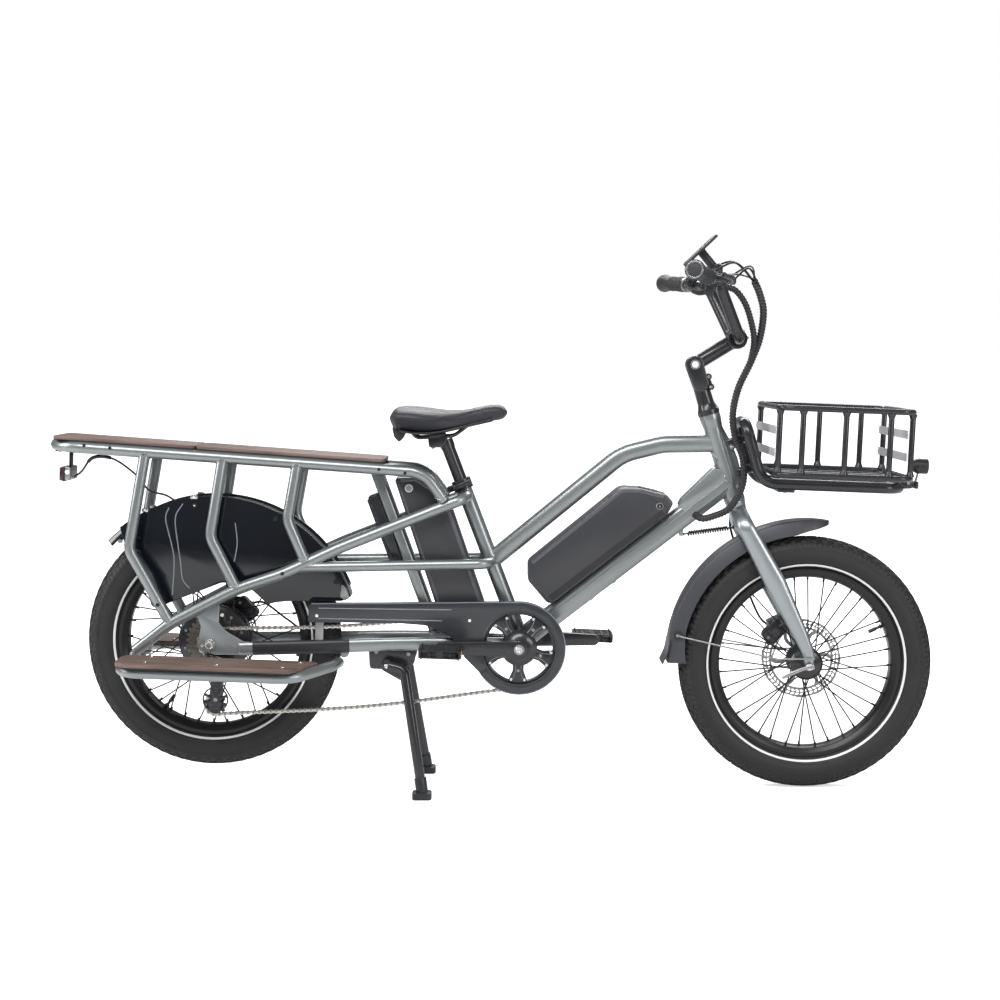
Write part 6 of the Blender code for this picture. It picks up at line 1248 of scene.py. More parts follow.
def brake_caliper(name, body, node, centre, y, degrees, hose, adapter=(), bracket=None):
    """A two-piston caliper over the disc: two halves bolted round the slot, with its hose."""
    u, v = turned(math.radians(degrees))
    n = np.cross(u, v)
    place = centre + u * 88 + Y * y
    outline = rounded([(-20, -20), (-12, -28), (10, -28), (16, -20), (16, 20), (10, 28), (-12, 28),
        (-20, 20)], 5, 20)
    f = Form().add("black", plate(outline, -15, -2.2, bevel=2.2, place=(place, u, v)),
        plate(outline, 2.2, 13, bevel=2.2, place=(place, u, v)))
    bridge = rounded(oblong(4.8, -27, 15, 27), 3, 20)
    f.add("black", plate(bridge, -3, 3, bevel=0.4, place=(place, u, v)))
    for side, low in ((1, 13), (-1, -15)):
        f.add("black", disc(place - u * 3, 10.5, low - 1 if side > 0 else low - 2.2,
            low + 2.2 if side > 0 else low + 1, n, 32, 1.2))
        for step in (-19.5, 19.5):
            f.add("dull_steel", bolt(place + v * step + n * low, n * side, 3.6, 1.8))
    line = through(hose, 8)
    f.add("hose", tube(line, 2.6, 12, side=(0.3, 1, 0.2), fillet=0.5))
    way = unit(line[4] - line[0])
    f.add("dull_steel", rod(line[0] - way * 2, line[0] + way * 12, 4.2, 12))
    f.add("black", *adapter)
    if bracket is not None:
        f.add("steel", bracket)
    f.make(name, body, [node], "black_metal")


def calipers():
    """Front caliper on its laced bracket and rear caliper on its adapter, each with its hose."""
    lace = [(-84, -6), (-62, -4), (-52, 30), (-36, 60), (-46, 72), (-62, 60), (-72, 30), (-88, 12)]
    lace = rounded([(FRONT_AXLE[0] + x, FRONT_AXLE[2] + z) for x, z in lace], 5, 15)
    front = [at(564, 47, 348), at(538, 52, 370), at(506, 62, 440), at(481, 70, 520), at(464, 60, 570),
        at(462, 40, 606)]
    brake_caliper("front_caliper_body", "fork_unit", "front_caliper", FRONT_AXLE, 41, 137, front,
        bracket=washer(lace, inset(lace, 4.5), 48, 51, bevel=0.6))
    rear = [at(-608, 56, 352), at(-575, 60, 356), at(-520, 65, 318), at(-480, 66, 301), at(-360, 60, 315),
        at(-220, 52, 336), at(-90, 35, 330), at(-38, 12, 329)]
    adapter = box((-664, 58, 347), (-626, 71.2, 367), 2)
    brake_caliper("rear_caliper_body", "frame", "rear_caliper", REAR_AXLE, 51, 46, rear, [adapter])


# Drive


def belt(circles, spans):
    """The closed pitch line round circles (x, z, radius, turn): straight runs with a sag, joined by arcs.

    A run of sag d passes 16 d (t (1 - t))**2 below its chord. The line returns at an even spacing.
    """
    count = len(circles)
    heading = []
    for i in range(count):
        ax, az, ar, at_ = circles[i]
        bx, bz, br, bt = circles[(i + 1) % count]
        far = math.hypot(bx - ax, bz - az)
        heading.append(math.atan2(bz - az, bx - ax) - math.asin((bt * br - at_ * ar) / far))
    rows = []
    for i in range(count):
        x, z, r, turn = circles[i]
        first, last = heading[i - 1] - turn * math.pi / 2, heading[i] - turn * math.pi / 2
        while turn > 0 and last < first:
            last += 2 * math.pi
        while turn < 0 and last > first:
            last -= 2 * math.pi
        a = np.linspace(first, last, 60)
        rows.append(np.stack([x + r * np.cos(a), z + r * np.sin(a)], 1))
        nx, nz, nr, nt = circles[(i + 1) % count]
        lead = heading[i] - nt * math.pi / 2
        end = np.array((nx + nr * math.cos(lead), nz + nr * math.sin(lead)))
        t = np.linspace(0, 1, 62)[1:-1, None]
        run = rows[-1][-1] * (1 - t) + end * t
        run[:, 1:] -= 16 * spans[i] * (t * (1 - t))**2
        rows.append(run)
    return np.concatenate(rows)


def even(path, count):
    """A closed path at this many evenly spaced points."""
    whole = np.concatenate([path, path[:1]])
    reach = np.concatenate([[0], np.cumsum(np.linalg.norm(np.diff(whole, axis=0), axis=1))])
    s = np.arange(count) * reach[-1] / count
    return np.stack([np.interp(s, reach, whole[:, k]) for k in range(2)], 1)


def pitch_radius(teeth):
    """The circle that the pins of a chain follow round a wheel with this many teeth."""
    return CHAIN_PITCH / 2 / math.sin(math.pi / teeth)


def chain_links():
    """A roller chain: a roller for each pitch, and waisted plates by turns inside and outside."""
    circles = [(*BRACKET[::2], pitch_radius(RING_TEETH), 1), (*REAR_AXLE[::2], pitch_radius(COG_TEETH[0]),
        1), (*GUIDE_PULLEY[::2], pitch_radius(PULLEY_TEETH), -1), (*TENSION_PULLEY[::2],
        pitch_radius(PULLEY_TEETH), 1)]
    line = belt(circles, (14, 0, 0, 11.2))
    around = np.linalg.norm(np.diff(np.concatenate([line, line[:1]]), axis=0), axis=1).sum()
    count = 2 * round(around / CHAIN_PITCH / 2)
    points = even(line, count)
    ahead = np.roll(points, -1, 0) - points
    way = unit(ahead)
    turns = np.zeros((count, 3, 3))
    turns[:, 0, 0], turns[:, 2, 0] = way[:, 0], way[:, 1]
    turns[:, 1, 1] = 1
    turns[:, 0, 2], turns[:, 2, 2] = -way[:, 1], way[:, 0]
    middles = np.stack([points[:, 0], np.full(count, CHAIN_Y), points[:, 1]], 1)
    half = CHAIN_PITCH / 2
    waist = np.array([(-half - 4, 0), (-half - 2.9, 3.6), (-half + 1.6, 4.1), (0, 2.4), (half - 1.6, 4.1),
        (half + 2.9, 3.6), (half + 4, 0), (half + 2.9, -3.6), (half - 1.6, -4.1), (0, -2.4),
        (-half + 1.6, -4.1), (-half - 2.9, -3.6)])
    waist = waist + (half, 0)
    f = Form()
    for start, y in ((0, 2.4), (1, 3.3)):
        link = joined([plate(waist, s * y - 0.4, s * y + 0.4, bevel=0.1) for s in (-1, 1)])
        f.add("chain", copies(link, turns[start::2], middles[start::2]))
    roller = lathe([(0, -4.1), (1.8, -4.1), (1.8, -2.2), (3.6, -2.2), (3.6, 2.2), (1.8, 2.2), (1.8, 4.1),
        (0, 4.1)], (0, 0, 0), Y, 10)
    f.add("cog", copies(roller, turns, middles))
    f.make("chain_links", "frame", ["chain"], "steel")


CRANKS = (("right", -1, math.radians(181)), ("left", 1, math.radians(1)))


def crank():
    """Ring, spider, arms and the axle through the bracket shell."""
    cy = CHAIN_Y
    f = Form()
    centre = BRACKET[::2]
    teeth = gear(86.2, 92.8, RING_TEETH) + centre
    f.add("dull_steel", washer(teeth, circle(80.5, RING_TEETH * 4) + centre, cy - 1.1, cy + 1.1, bevel=0.3))
    face = [(83.5, -2.5), (83.5, 2.2), (73, 2.2), (73, -4), (75.5, -5.2), (80, -5.2)]
    f.add("black", lathe([(r, cy + y) for r, y in face], BRACKET, Y, 120, ring=True, soft=0.4))
    shine = [(82.2, -4.2), (84, -3), (83.2, -2.2), (81.2, -3.4)]
    f.add("steel", lathe([(r, cy + y) for r, y in shine], BRACKET, Y, 120, ring=True))
    core = [(0, cy - 20), (17, cy - 20), (18.5, cy - 18.5), (21.5, cy - 16.5), (30, cy - 8.5),
        (38, cy - 7.5), (40, cy - 4.5), (38, cy - 0.8), (26, cy + 1.2), (0, cy + 6)]
    f.add("black", lathe(core, BRACKET, Y, 72))
    for k in range(5):
        u, v = turned(math.radians(54 + 72 * k))
        web = rounded([(30, -12.5), (50, -12), (76.5, -22.5), (76.5, 22.5), (50, 12), (30, 12.5)],
            [1, 12, 2, 2, 12, 1], 15)
        n = np.cross(u, v)
        f.add("black", plate(web, n[1] * (cy - 6.8), n[1] * (cy - 1.2), bevel=1.4, place=(BRACKET, u, v)))
        for radius, offset in ((69.5, 14.5), (69.5, -14.5), (50, 0)):
            spot = BRACKET + u * radius + v * offset
            f.add("steel" if radius > 60 else "dull_steel", bolt(spot + Y * (cy - 7), -Y, 3.6, 1.5, 18))
        ridge = np.stack([u * 34 + v * 6.5, u * 52 + v * 6, u * 68 + v * 10.5]) + BRACKET
        for flip in (1, -1):
            line = BRACKET + (ridge - BRACKET) - v * ((ridge - BRACKET) @ v)[:, None] * (1 - flip)
            f.add("dull_steel", tube(line + Y * (cy - 6.6), (0.9, 0.8), 8, fillet=0.3))
    for _, s, a in CRANKS:
        u, v = turned(a)
        arm = capsule((0, 0), 19, (CRANK_LENGTH, 0), 13, 18)
        out = np.cross(u, v)[1] * s
        f.add("black", plate(arm, out * 72.5, out * 87, bevel=3.4, place=(BRACKET, u, v)))
        groove = capsule((30, 0), 8.5, (140, 0), 6, 12)
        f.add("black", washer(groove, inset(groove, 1.6), out * 86.6, out * 87.6, bevel=0.4,
            place=(BRACKET, u, v)))
        f.add("dull_steel", disc(BRACKET, 11.5, s * 86.6, s * 88.4, Y, 32))
        f.add("steel", bolt(BRACKET + (0, s * 88.5, 0), Y * s, 7.8, 2.4, 32))
        end = BRACKET + u * CRANK_LENGTH
        f.add("dull_steel", disc(end, 7.2, s * 86.8, s * 90.5, Y, 24),
            rod(end + Y * s * 80, end + Y * s * 167, 4.8, 20))
    f.add("dull_steel", rod(BRACKET - Y * 80, BRACKET + Y * 80, 11.2, 28))
    f.make("crank_spider_set", "crank_unit", ["crankset"], "black_metal")


def pedals():
    """At each arm's end a cage of two rings with bars and pins, and reflectors on its long sides."""
    for name, s, a in CRANKS:
        centre = BRACKET + turned(a)[0] * CRANK_LENGTH
        f = Form()
        low, high = sorted((s * 95, s * 180))
        outer = rounded(oblong(-46, low, 46, high), 10, 15)
        inner = rounded(oblong(-33, low + 12, 33, high - 12), 6, 15)
        place = centre, X, Y
        for up in (-1, 1):
            f.add("plastic", washer(outer, inner, up * 6.4, up * 8.8, bevel=0.8, place=place))
        for x in (-42.5, 42.5):
            for y in (low + 4, high - 4):
                f.add("plastic", box(centre + (x - 2.5, y - 2.5, -6.8), centre + (x + 2.5, y + 2.5, 6.8)))
        f.add("plastic", disc(centre, 8.8, low + 1, high - 1, Y, 28))
        for x in (-22, 22):
            f.add("plastic", box(centre + (x - 2.2, low + 4, -8), centre + (x + 2.2, high - 4, 8)))
        for y in np.linspace(low + 20, high - 20, 4):
            for up in (-7.2, 7.2):
                f.add("plastic", box(centre + (-40, y - 1.8, up - 1.2), centre + (40, y + 1.8, up + 1.2)))
        for x in (-39.5, 39.5):
            for y in np.linspace(low + 8, high - 8, 6):
                for up in (-1, 1):
                    f.add("hose", rod(centre + (x, y, up * 8), centre + (x, y, up * 12.2), 1.7, 8))
        for x in (-45.5, 45.5):
            f.add("amber", box(centre + (x - 1.2, (low + high) / 2 - 22, -7),
                centre + (x + 1.2, (low + high) / 2 + 22, 7)))
        f.make(f"pedal_cage_{name}", f"pedal_{name}_unit", [f"pedal_{name}"], "black_plastic")


def gears():
    """The cassette's cogs on their core."""
    cy = CHAIN_Y
    centre = REAR_AXLE[::2]
    f = Form()
    for i, teeth in enumerate(COG_TEETH):
        r = pitch_radius(teeth)
        y = cy + 6.8 * i
        outline = gear(r - 3.6, r + 3, teeth) + centre
        inner = circle(17.5, teeth * 4) + centre
        f.add("cog", washer(outline, inner, y - 0.9, y + 0.9, bevel=0.3))
    core = [(6.4, cy - 4), (16.5, cy - 4), (19, cy - 2), (19, -32.5), (6.4, -32.5)]
    f.add("dull_steel", lathe(core, REAR_AXLE, Y, 40, ring=True, soft=0.4))
    f.make("cassette_cogs", "cassette_unit", ["cassette"], "steel")


def pulleys():
    """The derailleur's two jockey wheels."""
    for name, place in (("guide", GUIDE_PULLEY), ("tension", TENSION_PULLEY)):
        r = pitch_radius(PULLEY_TEETH)
        outline = gear(r - 3.6, r + 2.6, PULLEY_TEETH) + place[::2]
        hub, hole = (circle(radius, PULLEY_TEETH * 4, place[::2]) for radius in (11, 5.2))
        f = Form().add("plastic", washer(outline, hole, CHAIN_Y - 1.2, CHAIN_Y + 1.2, bevel=0.3),
            washer(hub, hole, CHAIN_Y - 3.5, CHAIN_Y + 3.5))
        f.make(f"{name}_pulley_wheel", f"{name}_pulley_unit", [f"{name}_pulley"], "black_plastic")


def changer():
    """The derailleur: two cage plates, a linkage up to the hanger, and round windows in the outer plate."""
    cy = CHAIN_Y
    f = Form()
    a, b = GUIDE_PULLEY[::2], TENSION_PULLEY[::2]
    for low, high in ((cy - 7.5, cy - 5.5), (cy + 5.5, cy + 7.5)):
        f.add("black", plate(capsule(a, 12.5, b, 14.5, 14), low, high, bevel=0.5))
    for place, radius in ((a, 9.5), ((b[0] + 1, b[1] + 12.5), 28.5)):
        ring = circle(radius, 48, place)
        f.add("black", washer(ring, circle(radius - 3.5, 48, place), cy - 8.8, cy - 7.2))
        f.add("dull_steel", bolt((place[0], cy - 9, place[1]), -Y, 4.4, 1.8),
            rod((place[0], cy - 7, place[1]), (place[0], cy + 7, place[1]), 3.6, 16))
    hub = at(b[0] + 1, cy - 8, b[1] + 12.5)
    f.add("black", disc(hub, 9.5, -1.2, 0.8, Y, 28))
    for k in range(8):
        out, _ = turned(math.radians(45 * k + 20))
        f.add("black", tube([hub + out * 6, hub + out * 26.2], [(1, 2), (1, 3.4)], 10, fillet=0.3))
    arm = through([(-657, cy - 12, 213), (-627, cy - 14, 231), (-668, -67, 247.5), (-684, -84, 247)], 7)
    wide = np.interp(np.linspace(0, 1, len(arm)), (0, 0.3, 0.7, 1), (10, 8.5, 10.5, 8.5))
    f.add("black", tube(arm, np.stack([wide * 0.7, wide], 1), 20, side=(0.2, 1, 0.1), power=3, fillet=3))
    f.add("dull_steel", bolt((-630, cy - 21.5, 231), -Y, 4.5, 1.8), bolt((-668, -76.5, 247.5), -Y, 4, 1.8))
    f.add("steel", bolt((-684, -90.5, 247.2), -Y, 6.2, 2.2))
    f.make("derailleur_cage", "frame", ["derailleur"], "black_metal")


def case_guard():
    """The chain guard: a flat case round the ring with an arm along the upper run, edged by a hood."""
    ring = arc(BRACKET[::2], 101.5, 90, -146, 60)
    tail = bent([ring[-1], (-117.8, 270), (-147.5, 314.6), (-204.8, 337.7), (-258.1, 339.8),
        (-362.6, 337.7), (-462.4, 334.5), (-462, 370), (-456, 376), (-300, 382.5), (-10, 396.5)],
        [0, 20, 40, 30, 30, 30, 4, 4, 6, 30, 0], 12)
    return ring, tail


def chain_case():
    """The chain guard's flat band and arm, with a lip round the edge, and thin lighter lines along the lip
    and across the face that paint highlights on its edge and creases.
    """
    ring, tail = case_guard()
    f = Form()
    middle = BRACKET[::2]
    outer = arc(middle, 101.5, 90, -146, 84)
    inner = arc(middle, 79.2, 90, -146, 84)
    band = np.concatenate([outer, inner[::-1]])
    f.add("case", plate(band, -69, -66.4, bevel=0.6))
    arm = np.concatenate([arc(middle, 79.2, 90, 214, 39), tail[:-1], [(0, BRACKET[2] + 101.5)]])
    f.add("case", plate(arm, -69, -66.4, bevel=0.6))
    edge = np.concatenate([ring[::-1], [(-100, 392.5), (-300, 382.5), (-456, 376)]])
    path = np.stack([edge[:, 0], np.full(len(edge), -58), edge[:, 1]], 1)
    lip = inset_path(path, 1.2)
    f.add("case", tube(lip, (11, 1.2), 16, power=8, fillet=0.5))
    # A thin lighter line along the lip and two across the face: painted highlights on the guard's edge and
    # creases.
    painted_highlight_rim_line = inset_path(path, 0.4) - Y * 11.2
    f.add("crease", tube(painted_highlight_rim_line, (1.3, 1.3), 8))
    for low, high in ((at(-440, -69.1, 344), at(-170, -69.1, 349)),
            (at(-440, -69.1, 366.5), at(-150, -69.1, 374))):
        f.add("crease", tube([low, (low + high) / 2, high], (0.6, 1.1), 8, fillet=0.4))
    f.add("case", washer(circle(83, 84, middle), circle(79.2, 84, middle), -70.2, -68.6, bevel=0.6))
    f.add("dull_steel", box((-446, -67.6, 285), (-428, -65.5, 348), 0.8))
    for x, z in ((-443.4, 349.7), (-110, 352)):
        f.add("stripe", bolt((x, -69.1, z), -Y, 3.4, 1.2))
    f.make("chain_case", "frame", ["chain_guard"], "black_plastic")


def inset_path(path, depth):
    """The path moved in its own plane, towards the side that its left hand points to."""
    t = unit(np.gradient(path, axis=0))
    return path + np.cross(t, Y) * depth


# Steering


def fork_leg(side):
    """The leg's centre line: out of the crown, bowed ahead of the straight line to the axle."""
    crown = steering(-50, 0, side * 56)
    run = at(FRONT_AXLE[0] - crown[0], 0, FRONT_AXLE[2] - crown[2])
    bow = unit((-run[2], 0, run[0])) * 12
    points = [steering(-20, 0, side * 10), crown]
    for share, out in ((0.43, 0.75), (0.8, 1.0), (0.93, 0.9)):
        p = crown + run * share + bow * out
        points.append(at(p[0], side * (56 + 6 * share), p[2]))
    return bent([*points, FRONT_AXLE + (0, side * 62, 0)], [0, 30, 300, 300, 300, 0], 4)


def along_share(path):
    """How far along the path each point is, from 0 to 1."""
    reach = np.concatenate([[0], np.cumsum(np.linalg.norm(np.diff(path, axis=0), axis=1))])
    return reach / reach[-1]


def fork_parts():
    """Crown, two bowed legs with their tips, the caliper's mount and the steerer."""
    f = Form()
    crown = [(0, -62), (13, -62), (15, -60), (20.5, -50), (20, -35), (19.5, -20), (21.5, -6), (22, -4),
        (22, -0.3), (0, -0.3)]
    f.add("fork", lathe(crown, HEAD_FOOT, UP, 44))
    for s in (-1, 1):
        path = fork_leg(s)
        t = along_share(path)
        wide = np.interp(t, (0, 0.25, 0.55, 0.85, 1), (13, 13, 12.5, 10, 7.5))
        deep = np.interp(t, (0, 0.22, 0.3, 0.4, 0.57, 0.74, 0.91, 1),
            (18, 19.5, 22.5, 25, 22.2, 18, 13.8, 10.5))
        f.add("fork", tube(path, np.stack([wide, deep], 1), 26, side=(0.18, 1, 0), power=2.2, fillet=4))
        tip = path[-4]
        outline = capsule((tip[0] - 2, tip[2] + 12), 10, FRONT_AXLE[::2], 13, 14)
        f.add("black", plate(outline, s * 58.5, s * 65.5, bevel=1.2))
        f.add("dull_steel", disc(FRONT_AXLE, 9, s * 65.5, s * 74.5, Y, 28, 1))
        f.add("steel", disc(FRONT_AXLE, 10.5, s * 65.5, s * 67.5, Y, 28))
    f.add("dull_steel", rod(FRONT_AXLE - Y * 65, FRONT_AXLE + Y * 65, 6, 20))
    for s in (-1, 1):
        f.add("fork", bead(steering(-45, 0, s * 50), at(0, -s, 0.15), 16.5, HEAD_FOOT, UP, 20, 1.4))
    mount = np.stack([(600, 64, 372), (560, 64, 350)])
    f.add("fork", tube(mount, (4, 12), 20, power=4, fillet=2), rod(steering(-4), steering(200), 13.8, 24))
    f.make("fork_blades", "fork_unit", ["fork"], "fork_paint")


def tapered(t):
    """How wide the front fender is along its arc: it narrows to a rounded point ahead and flares below."""
    return np.interp(t, (0, 0.02, 0.06, 0.12, 0.93, 1.0), (0.3, 0.62, 0.86, 1.0, 1.0, 1.06))


def deepened(t):
    """How deep the front fender's sides are along its arc."""
    return np.interp(t, (0, 0.05, 0.15, 0.85, 1.0), (0.3, 0.62, 1.0, 1.0, 1.25))


def fender():
    """The front fender with its flap, wire stays and clips."""
    f = Form().add("fender",
        channel(312, 42.5, 32, FRONT_AXLE + (5, 0, 6), 84, 183, 84, (tapered, deepened)))
    flap = through([FRONT_AXLE + (-303.5, 0, 40), FRONT_AXLE + (-308, 0, 12), FRONT_AXLE + (-318, 0, -13)],
        8)
    f.add("fender", tube(flap, (41, 1.4), 22, power=7, fillet=1))
    for s in (-1, 1):
        wire = bent([FRONT_AXLE + (-289, s * 38.5, 54), FRONT_AXLE + (-283, s * 49, 52),
            FRONT_AXLE + (-70, s * 74.5, 14), FRONT_AXLE + (10.5, s * 74.5, 18)], [0, 6, 20, 0], 12)
        f.add("dull_steel", tube(wire, 1.9, 10, side=Z, fillet=0.5))
        f.add("plastic", box(FRONT_AXLE + (-296, s * 42 - 4, 46), FRONT_AXLE + (-280, s * 42 + 4, 60), 1.5))
        f.add("dull_steel", bolt(FRONT_AXLE + (-288, s * 46.5, 53), Y * s, 3.2, 1.3))
    f.add("dull_steel", bolt(FRONT_AXLE + (-105, 0, 294.5), unit((-340, 0, 940)), 5, 1.6))
    f.make("front_fender_shell", "fork_unit", ["front_fender"], "black_plastic")


def damper():
    """The steering damper's spring with a ball and a hook at each end."""
    f = Form()
    top, low = at(353.5, 0, 553), steering(-54.5, -20.8)
    f.add("hose", spring_wire(top, low, 4.2, 1.8, 17, 9))
    for place in (top, low):
        way = unit(low - top)
        f.add("hose", ball(place, (3.4, 3, 3.4)))
        f.add("dull_steel", rod(place - way * 1.5, place + way * 1.5, 1.8, 10))
    f.make("damper_spring_coil", "frame", ["damper_spring"], "steel")


def stem_post():
    """The stem's post, with the two cheeks that hold its hinge."""
    f = Form()
    post = [(0, 200.8), (24, 200.8), (24, 210), (22.5, 211.5), (18.5, 223.5), (18, 225), (17.2, 270),
        (17.2, 288), (0, 288)]
    f.add("black", lathe(post, HEAD_FOOT, UP, 44))
    for height in (204.2, 207.5):
        f.add("seam", lathe(oblong(23.6, height, 24.2, height + 0.6), HEAD_FOOT, UP, 44, ring=True))
    pivot, foot = STEM_PIVOT[::2], steering(269.5)
    cheek = capsule(pivot, 18.8, foot[::2], 16.5, 16)
    clip = rounded([(366, 908), (391.6, 908.5), (404.5, 880), (398, 872), (376, 866)], 4)
    f.add("black", plate(clip, -6, 6, bevel=1))
    for s in (-1, 1):
        f.add("black", plate(cheek, s * 12.6, s * 18.5, bevel=1.4))
        f.add("steel", disc(STEM_PIVOT, 10.5, s * 18, s * 19.6, Y, 32))
        f.add("stripe", bolt(STEM_PIVOT + (0, s * 20.2, 0), Y * s, 7.2, 1.8, 28))
        for spot in ((391.6, 902.1), (398.2, 880)):
            f.add("black", disc((spot[0], 0, spot[1]), 6.8, *sorted((s * 5, s * 16.5)), Y, 28, 1))
            f.add("steel", bolt((spot[0], s * 16.5, spot[1]), Y * s, 3.6, 1.4, 24))
    f.add("black", plate(capsule(foot[::2], 16.2, steering(278)[::2], 15), -12.8, 12.8))
    f.make("stem_post_body", "fork_unit", ["stem_post"], "black_metal")


def stem_arm():
    """The arm from the hinge to the bar, with its clamp."""
    f = Form().add("black", disc(STEM_PIVOT, 18, -12.1, 12.1, Y, 44, 1),
        tube([STEM_PIVOT, BAR_CLAMP], (15.8, 15.8), 28, fillet=3),
        lathe(oblong(12.8, -23, 21.5, 23), BAR_CLAMP, Y, 44, ring=True, soft=1.8))
    way = unit(BAR_CLAMP - STEM_PIVOT)
    up = np.cross(Y, way)
    for turn in (1, -1):
        split = BAR_CLAMP + up * turn * 18.5 + way * 4
        f.add("seam", tube([split - Y * 23.5, split + Y * 23.5], (0.9, 3.5), 8, side=way, power=6,
            fillet=0.2))
        for y in (-15, 15):
            f.add("dull_steel", bolt(BAR_CLAMP + way * 20 + up * turn * 8.5 + Y * y, way, 3.4, 2.6))
    f.add("black", bead(STEM_PIVOT + way * 50, -way, 15.6, STEM_PIVOT, Y, 17.8, 1.3),
        bead(BAR_CLAMP - way * 50, way, 15.6, BAR_CLAMP, Y, 21.2, 1.3))
    f.make("stem_arm_body", "bar_unit", ["stem_arm"], "black_metal")


BAR_END = {s: at(318, s * 330, 1116) for s in (-1, 1)}
BAR_KNEE = {s: at(393.5, s * 100, BAR_LEVEL) for s in (-1, 1)}


def bar_axes(side):
    """Along the bar from its end to its knee, ahead of it and above it."""
    along = unit(BAR_KNEE[side] - BAR_END[side])
    ahead = unit((along[1], -along[0], 0)) * -side
    return along, ahead, np.cross(ahead, along) * (1 if np.cross(ahead, along)[2] > 0 else -1)


def bar_point(side, from_end, ahead=0, up=0):
    """A point this far in from the bar's end, ahead of it and above it."""
    along, forward, _ = bar_axes(side)
    return BAR_END[side] + along * from_end + forward * ahead + Z * up


def handlebars():
    """The bar with the clamps, perches, reservoirs and boxes that sit on it."""
    f = Form()
    path = bent(mirrored_path([BAR_END[-1], BAR_KNEE[-1], (BAR_CLAMP[0], -58, BAR_CLAMP[2])]),
        [0, 45, 32, 32, 45, 0], 5)
    f.add("black", tube(path, BAR_RADIUS, 26, side=Z))
    for s in (-1, 1):
        along, forward, above = bar_axes(s)
        f.add("black", lathe(oblong(12.7, 140, 16.5, 166), BAR_END[s], along, 32, ring=True, soft=1))
        f.add("plastic", lathe(oblong(12.7, 168, 16.8, 190), BAR_END[s], along, 32, ring=True, soft=1.2))
        perch = np.stack([bar_point(s, 154, 4), bar_point(s, 154, 34)])
        f.add("black", tube(perch, [(8.5, 11), (8.5, 10)], 20, side=above, power=4, fillet=2))
        tank = np.stack([bar_point(s, 158, 30), bar_point(s, 213, 36)])
        f.add("black", tube(tank, (8.2, 8.2), 24, side=above, power=3.2, fillet=3))
        f.add("dull_steel", bolt(bar_point(s, 156, 40) + above * 8.5, above, 3.4, 1.4),
            bolt(bar_point(s, 154, -16), -forward, 3.4, 2))
    box_low, box_high = bar_point(-1, 182, -4, -10), bar_point(-1, 182, -10, -34)
    f.add("plastic", tube([box_low, box_high], [(11, 13), (9, 11)], 22, side=Y, power=3.5, fillet=4))
    switch_low, switch_high = bar_point(1, 180, -12, 4), bar_point(1, 180, -26, 10)
    f.add("plastic", tube([switch_low, switch_high], [(9, 12), (8, 10)], 20, side=Y, power=4, fillet=3))
    f.add("red_ring", bolt(switch_high + (-0.5, 0, 4), unit((-1, 0, 0.4)), 2.5, 1.2, 16))
    f.make("handlebar_tube", "bar_unit", ["handlebar"], "black_metal")


def grips():
    """On each side the ribbed grip with its end cap, then the brake lever."""
    for name, s in SIDES:
        along = bar_axes(s)[0]
        root = bar_point(s, 128)
        f = Form()
        body = [(12.7, 1.5), (17.5, 1.5), (17.8, 6)]
        ribs = []
        for i in range(22):
            z = 8 + i * 3.3
            r = 16.5 + 0.6 * math.sin(i * 0.3)
            ribs += [(r, z), (r + 0.7, z + 0.8), (r + 0.7, z + 1.9), (r, z + 2.6)]
        body += ribs + [(16.8, 84), (17.5, 105), (19, 118), (20.8, 128), (20.6, 133.5), (19.5, 134.9),
            (12.7, 134.9)]
        f.add("grip", lathe(body, root, -along, 40, ring=True))
        f.add("dull_steel", lathe(oblong(12.7, -8.5, 17.2, 1.2), root, -along, 32, ring=True, soft=0.8))
        f.add("steel", lathe(oblong(15, 134.2, 18.2, 135.2), root, -along, 36, ring=True, soft=0.3))
        f.add("grip", lathe([(0, 130), (12.8, 130), (12.8, 134.5), (10, 135.2), (0, 135)], root, -along,
            32))
        f.make(f"grip_sleeve_{name}", "bar_unit", [f"grip_{name}"], "grip_rubber")
        f = Form()
        pivot = bar_point(s, 156, 46)
        path = through([pivot + along * 6, bar_point(s, 150, 47), bar_point(s, 132, 48),
            bar_point(s, 105, 46, -2), bar_point(s, 78, 47, -3), bar_point(s, 48, 52, -5),
            bar_point(s, 23, 54, -6)], 6)
        wide = np.interp(np.linspace(0, 1, len(path)), (0, 0.2, 0.7, 0.94, 1), (6.8, 6, 5.2, 5.6, 6))
        f.add("black", tube(path, np.stack([wide, np.full(len(path), 4)], 1), 18, side=Z, power=2.8,
            fillet=3))
        f.add("dull_steel", rod(pivot - Z * 8.5, pivot + Z * 8.5, 3, 16))
        f.make(f"brake_lever_blade_{name}", f"brake_lever_{name}_unit", [f"brake_lever_{name}"],
            "black_metal")


def shift_lever():
    """The thumb lever under the right grip."""
    along = bar_axes(-1)[0]
    root = bar_point(-1, 182, -10, -22) - Z * 2
    path = through([root + along * 12, root + along * 15.5 + (-4, 0, 0),
        root + along * 17.5 + (-22, 0, -3), root + along * 22 + (-38, 0, 2)], 7)
    f = Form().add("plastic", tube(path, (2.6, 6.2), 16, side=(0.3, 1, 0), power=3, fillet=2))
    f.make("shift_lever_blade", "shift_lever_unit", ["shift_lever"], "black_metal")


